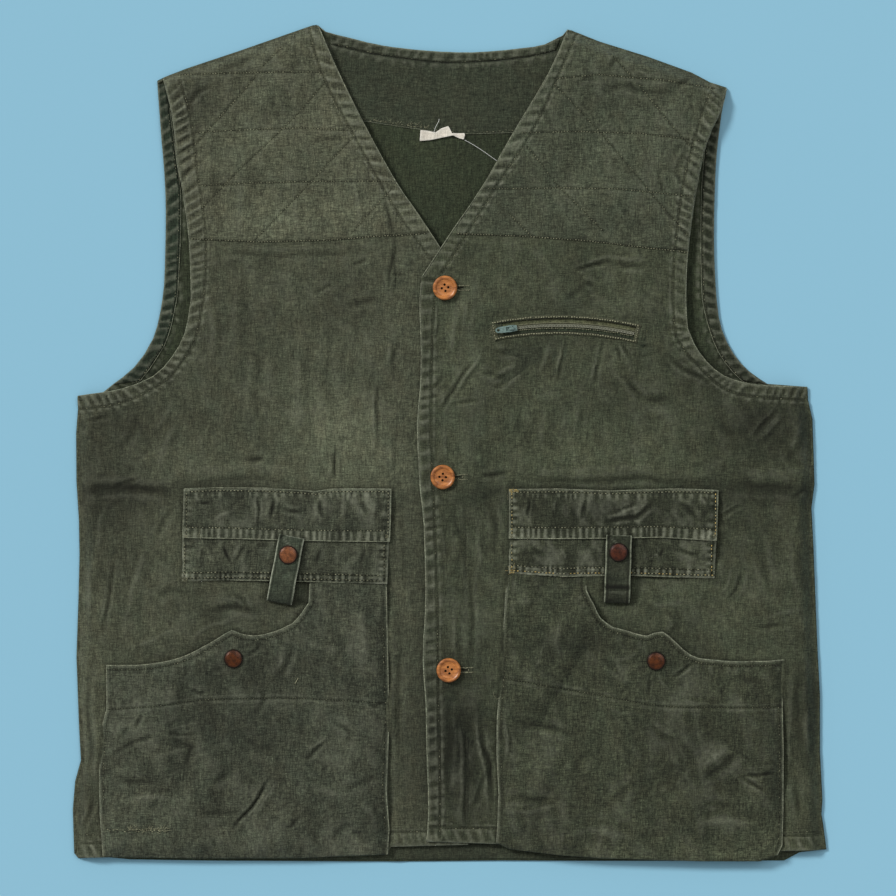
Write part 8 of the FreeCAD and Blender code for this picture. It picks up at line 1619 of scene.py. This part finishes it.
# ------------------------------------------------------------------ topstitching
for side, s in (("right", "_R"), ("left", "_L")):
    F = lambda P, q=side: front(P, q)[0]
    Y = lambda P, q=side: yoke(P, q)[0]
    t = Threads()
    yo = OUT[side[0].upper() + "YOKE"]

    def FY(P, q=side, yy=yo):
        z = front(P, q)[0]
        m = inside(P, yy)
        if m.any():
            z = z.copy()
            z[m] = yoke(P[m], q)[0]
        return z
    t.run(LIN["NECK" + s + "_ST"], FY, tone=0.34, seed=1)
    t.run(LIN["NECK" + s + "_ST"] + np.array([1.4 if side == "left" else -1.4, -0.6]), FY, tone=0.42, seed=2, dots=0, gap=0.35)
    t.run(LIN["ARM" + s + "_ST"], FY, tone=0.40, seed=3)
    t.run(LIN["YLOW" + s], Y, tone=0.66, spread=0.15, seed=4, dots=1.5, r=0.36, length=1.4, pitch=2.3, lift=0.24)
    for i, L in enumerate(LIN["QUILT" + s]):
        t.run(L, FY, tone=0.58 if i > 2 else 0.64, spread=0.2, seed=10 + i, dots=1.55 if i < 3 else 1.3, gap=0.12, r=0.33, length=1.4, pitch=2.3, lift=0.22)
    if side == "left":
        t.run(LIN["PLACK_ST"], F, tone=0.34, seed=5, gap=0.1)
        y0 = LIN["HEM_L"]
        t.run(np.array([(48.0, -316.5), (38.9, -316.5), (22.0, -316.2), (-8.5, -316.2)]), F, tone=0.4, seed=6)
        t.run(np.array([(275.0, -319.6), (306.0, -318.5)]), F, tone=0.45, seed=7)
        for i, (bx, by) in enumerate(BUTTONS):
            for dy, r in ((-2.0, 0.42), (-1.2, 0.30), (1.2, 0.30), (2.0, 0.42)):
                end = 20.9 if abs(dy) > 1.5 else 16.6
                t.run(np.array([(bx + 8.6, by + dy), (bx + end, by + dy * 0.92)]), F, pitch=0.85, length=1.0, r=r, tone=0.70 if abs(dy) > 1.5 else 0.42, spread=0.15, seed=30 + i, dots=0, lift=0.24)
            t.run(np.array([(bx + 16.4, by - 1.3), (bx + 16.6, by + 1.3)]), F, pitch=0.7, length=1.0, r=0.36, tone=0.5, seed=35 + i, dots=0, lift=0.25)
    else:
        t.run(np.array([(-306.0, -321.5), (-283.5, -321.5)]), F, tone=0.4, seed=6)
        t.run(np.array([(-50.2, -319.5), (-21.0, -318.6)]), F, tone=0.45, seed=7)
    t.build(side + "_front_stitching", M["thread"])
    # pouch
    t = Threads()
    Pz = lambda P, q=side: pouch(P, q)[0]
    t.run(LIN["PFAC" + s], Pz, tone=0.30, spread=0.2, seed=41, dots=1.7, pitch=2.3, length=1.2)
    m = LIN["PMOUTH" + s]
    d = np.gradient(m, axis=0)
    d /= np.maximum(np.hypot(d[:, 0], d[:, 1])[:, None], 1e-9)
    nn = np.stack([-d[:, 1], d[:, 0]], 1)
    inn = m + nn * 3.4
    if inside(inn, OUT[side[0].upper() + "POUCH"]).mean() < 0.5:
        inn = m - nn * 3.4
    t.run(inn[1:-1], Pz, tone=0.42, spread=0.2, seed=42, dots=1.6, pitch=2.2, length=1.2, r=0.3)
    for nm, q in (("POUT", 43), ("PIN", 44)):
        L = LIN[nm + s]
        sx = 3.0 if (nm == "POUT") == (side == "right") else -3.0
        t.run(L[1:-1] + np.array([sx, 0.0]), Pz, tone=0.42, seed=q, dots=0.7, gap=0.15)
    if side == "right":
        t.run(np.array([(-281.0, -317.0), (-262.0, -317.4), (-246.0, -317.0), (-232.0, -317.4)]), Pz, pitch=1.6, length=2.0, r=0.36, tone=0.74, spread=0.2, seed=45, dots=1.2, wobble=0.7, lift=0.3)
        rng = np.random.default_rng(77)
        for i in range(34):
            c = np.array([-264 + 32 * rng.random(), -316.6 + 2.6 * rng.normal() * 0.6])
            v = rng.normal(0, 1, 2)
            v /= np.hypot(*v)
            e = c + v * rng.uniform(1.5, 4.6)
            z0 = float(Pz(np.array([c]))[0])
            z1 = float(Pz(np.array([e]))[0])
            t.strand([(c[0], c[1], z0 + 0.1), ((c[0] + e[0]) / 2 + rng.normal(0, 0.4), (c[1] + e[1]) / 2, max(z0, z1) + 0.5), (e[0], e[1], z1 + 0.15)], 0.22, 0.78)
        c = np.array([[-125.4, -195.0]])
        z0 = float(Pz(c)[0])
        t.strand([(-126.6, -197.2, z0 + 0.2), (-125.4, -195.0, z0 + 0.5), (-124.0, -192.6, z0 + 0.25)], 0.42, 0.8)
    else:
        z0 = float(Pz(np.array([[40.5, -206.0]]))[0])
        t.strand([(40.8, -201.5, z0 - 0.4), (37.2, -202.6, z0 + 0.4), (36.0, -206.0, z0 + 0.5), (38.2, -209.6, z0 + 0.3), (41.2, -209.0, z0 + 0.1)], 0.16, 0.7)
    t.build(side + "_pouch_stitching", M["thread"])
    # small pocket
    t = Threads()
    k = side[0].upper()
    P0 = lambda P, q=side: pocket(P, q, 0)[0]
    P1 = lambda P, q=side: pocket(P, q, 1)[0]
    cn = {"R": [(-217.8, -37.7), (-48.1, -37.7), (-51.4, -115.6), (-219.4, -113.2)], "L": [(48.7, -38.1), (220.0, -38.5), (216.8, -110.7), (48.7, -106.6)]}[k]
    (ax, ay), (bx, by), (cx, cy), (dx, dy) = cn
    gold = 0.90 if side == "left" else 0.62
    i = 2.3
    hemy = {"R": -78.6, "L": -78.6}[k]
    tp = OUT[k + "BAND"]
    topline = tp[tp[:, 1] > -42]
    topline = topline[np.argsort(topline[:, 0])] - np.array([0, i])
    t.run(np.vstack([[(ax + i, ay - i)], topline[1:-1], [(bx - i, by - i)]]), P1, tone=0.70, spread=0.1, seed=51, pitch=2.9, length=1.7, dots=2.1, r=0.42, lift=0.28)
    t.run(np.array([(ax + i, ay - i), (ax + i, hemy + 1)]), P1, tone=gold, spread=0.10, seed=52, pitch=2.9, length=1.75, dots=2.0, r=0.46, lift=0.3)
    t.run(np.array([(bx - i, by - i), (bx - i, hemy + 1)]), P1, tone=gold if side == "left" else 0.6, spread=0.10, seed=53, pitch=2.9, length=1.75, dots=2.0, r=0.46, lift=0.3)
    t.run(np.array([(dx + i, hemy - 4), (dx + i, dy + i)]), P0, tone=gold, spread=0.10, seed=54, pitch=2.9, length=1.75, dots=2.0, r=0.46, lift=0.3)
    t.run(np.array([(cx - i, hemy - 4), (cx - i, cy + i)]), P0, tone=gold if side == "left" else 0.6, spread=0.10, seed=55, pitch=2.9, length=1.75, dots=2.0, r=0.46, lift=0.3)
    lowl = OUT[k + "PATCH"]
    lowl = lowl[lowl[:, 1] < -100]
    lowl = lowl[np.argsort(lowl[:, 0])]
    t.run(lowl + np.array([0, i]), P0, tone=gold - 0.03, spread=0.10, seed=56, pitch=2.9, length=1.75, dots=2.0, r=0.46, lift=0.3)
    t.run(lowl + np.array([0, 6.6]), P0, tone=0.58, spread=0.2, seed=57, pitch=2.9, length=1.6, dots=2.1, r=0.40, lift=0.24)
    fe = {"R": np.array([(-217.0, -69.0), (-176.0, -69.8), (-131.0, -71.0), (-90.0, -71.8), (-51.0, -72.0)]), "L": np.array([(50.0, -69.0), (90.5, -69.3), (133.0, -68.9), (172.5, -68.4), (216.5, -70.8)])}[k]
    t.run(fe, P1, tone=0.64, spread=0.2, seed=58, pitch=2.7, length=1.5, dots=1.9, r=0.38, lift=0.24)
    for (x0, y0, x1, y1, z, tone, n) in ([(ax, ay - 1.2, ax + 9, ay - 1.0, P1, 0.95, 61)] if side == "left" else []) + [(dx + 0.6, dy + 1.0, dx + 4.5, dy + 1.2, P0, gold, 62), (ax + 0.8, hemy + 2, ax + 4.6, hemy + 2, P1, 0.66, 63), (bx - 4.6, hemy + 2, bx - 0.8, hemy + 2, P1, 0.66, 64)]:
        for w in range(4):
            t.run(np.array([(x0, y0 + w * 0.7 - 1), (x1, y1 + w * 0.7 - 1)]), z, pitch=1.3, length=1.6, r=0.26, tone=tone, spread=0.06, seed=n * 3 + w, dots=0, lift=0.25)
    rng = np.random.default_rng(78 if side == "left" else 79)
    for cxx, cyy, zf, nn2, tn in ((ax + 0.5, ay - 7, P1, 14 if side == "left" else 4, 0.7), (dx + 1.5, dy + 2, P0, 10, gold), (ax + 14, hemy + 1, P1, 6, 0.7)):
        for i2 in range(nn2):
            c = np.array([cxx, cyy]) + rng.normal(0, 1.6, 2)
            e = c + rng.normal(0, 1.9, 2)
            z0, z1 = float(zf(np.array([c]))[0]), float(zf(np.array([e]))[0])
            t.strand([(c[0], c[1], z0 + 0.1), ((c[0] + e[0]) / 2, (c[1] + e[1]) / 2 + rng.normal(0, 0.5), max(z0, z1) + 0.45), (e[0], e[1], z1 + 0.2)], 0.12, tn)
    t.build(side + "_pocket_stitching", M["thread"])

# zip outline, back lines
t = Threads()
zt = lambda P: welt_top(P)[0]
fl = lambda P: front(P, "left")[0]
for rr, q in ((7.0, 71), (-6.3, 72)):
    t.run(arc(ZF0 - 0.1, ZF1 + 0.2, rr, 120), zt, tone=0.78, spread=0.05, seed=q, pitch=2.1, length=1.8, r=0.60, lift=0.25, dots=1.0)
    t.tube(arc(ZF0 - 0.1, ZF1 + 0.2, rr + (0.9 if rr > 0 else 0.75), 120), zt, r=0.26, tone=0.42, seed=q + 40, lift=-0.1)
    # Near-black tube along each edge of the opening: painted shadow under the frame's lip.
    t.tube(arc(ZH0, ZH1, rr - (1.15 if rr > 0 else -1.05), 120), zt, r=0.40, tone=0.02, seed=q + 50, lift=-0.25)
for aa, q in ((ZF0 - 0.25, 73), (ZF1 + 0.28, 74)):
    rr = np.linspace(-6.3, 7.0, 8)
    t.run(np.stack([ZC[0] + (ZR + rr) * math.cos(math.radians(aa)), ZC[1] + (ZR + rr) * math.sin(math.radians(aa))], 1), zt, tone=0.74, spread=0.1, seed=q, pitch=2.0, r=0.5, lift=0.2)
t.tube(arc(ZH0, ZH1, 2.1, 110), lambda P: np.full(len(P), 9.55) + 0.15 * noise(P, 9, 66), r=0.34, tone=0.58, seed=79)
t.run(arc(98.2, ZH1, -2.2, 110), lambda P: np.full(len(P), 9.7), tone=0.74, spread=0.08, seed=76, pitch=1.5, length=1.3, r=0.42, lift=0.3, dots=0)
rng = np.random.default_rng(80)
a0 = math.radians(ZF0 - 0.1)
for i in range(26):
    rr = rng.uniform(-8.5, 8.5)
    c = np.array([ZC[0] + (ZR + rr) * math.cos(a0), ZC[1] + (ZR + rr) * math.sin(a0)]) + rng.normal(0, 0.6, 2)
    e = c + rng.normal(0, 1.8, 2) - np.array([1.2, 0])
    t.strand([(c[0], c[1], 10.9), ((c[0] + e[0]) / 2, (c[1] + e[1]) / 2, 11.4), (e[0], e[1], 10.75)], 0.12, 0.7)
t.build("zip_stitching", M["thread"])
t = Threads()
B8 = lambda P: back(P)[0] + 0.85
t.run(LIN["BACKNECK_ST"] + np.array([0, 0.8]), B8, tone=0.25, seed=81)
t.run(LIN["YOKELINE"] + np.array([0, 1.6]), B8, tone=0.62, spread=0.3, seed=82, wobble=0.5, pitch=2.6, length=2.1)
t.run(LIN["BARM_R_ST"][2:-3] + np.array([-1.6, 0]), B8, tone=0.4, seed=83, dots=0.8)
t.run(LIN["BARM_L_ST"][2:-3] + np.array([1.6, 0]), B8, tone=0.4, seed=84, dots=0.8)
rng = np.random.default_rng(81)
for i in range(46):
    c = np.array([-61 + 44 * rng.random(), 0.0])
    c[1] = np.interp(c[0], LIN["YOKELINE"][:, 0], LIN["YOKELINE"][:, 1]) + 2.4 + rng.normal(0, 0.9)
    e = c + np.array([rng.normal(0, 1.4), rng.normal(0, 1.4)])
    z0 = float(B8(np.array([c]))[0])
    t.strand([(c[0], c[1], z0), ((c[0] + e[0]) / 2, (c[1] + e[1]) / 2, z0 + 0.5), (e[0], e[1], z0 + 0.1)], 0.13, 0.78)
t.build("back_stitching", M["thread"])


# ------------------------------------------------------------------ hard parts that keep their CAD shape get real finishes
def metal(name, rgb, alt, rough, metallic, scale=260.0, bump=0.00012, coat=0.0):
    t = Tree(name)
    n1 = t.noise((scale,) * 3, 5.0, 0.65, 0.0, 1.0, (0.32, 0.68))
    n2 = t.noise((scale * 3.4,) * 3, 3.0, 0.6, 0.72, 1.28)
    t.link(t.scale(t.mix(n1, rgb, alt), n2), t.bsdf.inputs["Base Color"])
    t.bsdf.inputs["Metallic"].default_value = metallic
    r = t.noise((scale * 1.7,) * 3, 4.0, 0.6, rough - 0.10, rough + 0.14)
    t.link(r, t.bsdf.inputs["Roughness"])
    t.bsdf.inputs["Coat Weight"].default_value = coat
    t.link(t.bump(n2, 0.5, bump), t.bsdf.inputs["Normal"])
    return t.mat


def cap(name, rgb, rim, rough):
    """Domed snap cap: copper on top, darker towards the rim where the dome turns away from straight up; this darkening
    is painted shade.
    """
    t = Tree(name)
    # Painted shade: the colour runs from the rim colour to the top colour with the upward part of the surface normal.
    sep = t.node("ShaderNodeSeparateXYZ")
    t.link(t.tc.outputs["Normal"], sep.inputs[0])
    r = t.node("ShaderNodeMapRange")
    r.inputs["From Min"].default_value, r.inputs["From Max"].default_value = 0.84, 0.988
    t.link(sep.outputs["Z"], r.inputs["Value"])
    spot = t.noise((300,) * 3, 4.0, 0.65, 0.40, 1.60, (0.32, 0.68))
    fine = t.noise((1300,) * 3, 3.0, 0.6, 0.78, 1.22)
    col = t.mix(r.outputs[0], rim, rgb)
    t.link(t.scale(col, t.math("MULTIPLY", spot, fine)), t.bsdf.inputs["Base Color"])
    t.bsdf.inputs["Metallic"].default_value = 0.30
    t.bsdf.inputs["Specular IOR Level"].default_value = 0.30
    t.link(t.noise((700,) * 3, 4.0, 0.6, rough - 0.08, rough + 0.12), t.bsdf.inputs["Roughness"])
    t.bsdf.inputs["Coat Weight"].default_value = 0.10
    t.bsdf.inputs["Coat Roughness"].default_value = 0.25
    t.link(t.bump(fine, 0.5, 0.0001), t.bsdf.inputs["Normal"])
    return t.mat


def button_mat():
    t = Tree("button_resin_grain")
    swirl = t.noise((110, 330, 200), 4.0, 0.62, 0.0, 1.0, (0.36, 0.62), 0.5)
    fine = t.noise((1500, 1500, 1500), 2.0, 0.6, 0.84, 1.14)
    t.link(t.scale(t.mix(swirl, (0.200, 0.058, 0.0085), (0.520, 0.190, 0.042)), fine), t.bsdf.inputs["Base Color"])
    t.bsdf.inputs["Roughness"].default_value = 0.42
    t.bsdf.inputs["Coat Weight"].default_value = 0.15
    t.bsdf.inputs["Coat Roughness"].default_value = 0.3
    t.link(t.bump(fine, 0.3, 0.0001), t.bsdf.inputs["Normal"])
    return t.mat


def give(mat, *names):
    for n in names:
        me = NODES[n].data
        me.materials.clear()
        me.materials.append(mat)


cap_mat = cap("snap_cap_copper", (0.190, 0.066, 0.024), (0.026, 0.011, 0.007), 0.28)
cap_dark = cap("snap_cap_dark", (0.062, 0.0155, 0.0060), (0.014, 0.006, 0.004), 0.30)
cap_pouch = cap("snap_cap_pouch", (0.078, 0.0205, 0.0035), (0.014, 0.006, 0.003), 0.27)
brass = metal("snap_brass", (0.30, 0.22, 0.12), (0.18, 0.12, 0.06), 0.45, 0.9, 500.0)
enamel = metal("zip_teal_enamel", (0.185, 0.275, 0.250), (0.10, 0.15, 0.135), 0.5, 0.15, 420.0, 0.00015)
chain = metal("zip_chain_finish", (0.15, 0.155, 0.105), (0.26, 0.26, 0.19), 0.55, 0.1, 700.0)
give(cap_mat, "right_strap_snap_cap")
give(cap_dark, "left_strap_snap_cap")
give(cap_pouch, "pouch_snap_caps")
give(brass, "right_strap_snap_socket", "left_strap_snap_socket", "strap_snap_studs", "pouch_snap_sockets", "pouch_snap_studs")
give(button_mat(), "buttons")
give(enamel, "zip_slider", "zip_pull")
give(chain, "zip_upper_teeth", "zip_lower_teeth", "zip_stops")
give(metal("button_thread_dark", (0.02, 0.02, 0.013), (0.05, 0.048, 0.03), 0.85, 0.0, 900.0), "button_threads")
wt = Tree("white_thread_ply")
wk = wt.noise((1800, 1800, 1800), 2.0, 0.6, 0.0, 1.0)
wt.link(wt.mix(wk, (0.50, 0.52, 0.48), (0.80, 0.80, 0.76)), wt.bsdf.inputs["Base Color"])
wt.bsdf.inputs["Roughness"].default_value = 0.8
wt.link(wt.bump(wk, 0.4, 0.0001), wt.bsdf.inputs["Normal"])
thread_cord.data.materials.append(wt.mat)
t = Threads()
t.strand([(-12.9, 255.0, 3.5), (-12.4, 256.8, 3.7), (-11.6, 259.2, 3.5), (-10.0, 262.3, 3.3), (-9.0, 264.2, 3.2), (-8.7, 266.1, 3.0)], 0.27, 0.8)
t.build("label_thread_tail", wt.mat)

# ------------------------------------------------------------------ floor and light
bpy.ops.mesh.primitive_plane_add(size=16.0, location=(0, 0, -0.0006))
floor = bpy.context.object
floor.name = "floor"
ft = Tree("floor_pale_blue")
ft.bsdf.inputs["Base Color"].default_value = (0.275, 0.521, 0.665, 1.0)
ft.bsdf.inputs["Roughness"].default_value = 1.0
ft.bsdf.inputs["Specular IOR Level"].default_value = 0.0
floor.data.materials.append(ft.mat)
floor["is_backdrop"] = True
world = bpy.data.worlds.new("studio")
scene.world = world
world.use_nodes = True
wb = world.node_tree.nodes["Background"]
wb.inputs[0].default_value = (0.96, 0.985, 1.0, 1.0)
wb.inputs[1].default_value = AMBIENT = 0.40


def sun(name, az, el, share, angle, rgb):
    """az clockwise from +Y; share of the light that a level surface gets."""
    li = bpy.data.lights.new(name, "SUN")
    li.energy = share * math.pi / math.sin(math.radians(el))
    li.angle = math.radians(angle)
    li.color = rgb
    ob = bpy.data.objects.new(name, li)
    a, e = math.radians(az), math.radians(el)
    v = Vector((math.sin(a) * math.cos(e), math.cos(a) * math.cos(e), math.sin(e)))
    ob.rotation_mode = "QUATERNION"
    ob.rotation_quaternion = v.to_track_quat("Z", "Y")
    scene.collection.objects.link(ob)


sun("key", -52.0, 36.0, 0.46, 14.0, (1.0, 0.99, 0.97))
sun("fill", 40.0, 55.0, 0.14, 40.0, (0.97, 0.99, 1.0))

lo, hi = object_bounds()
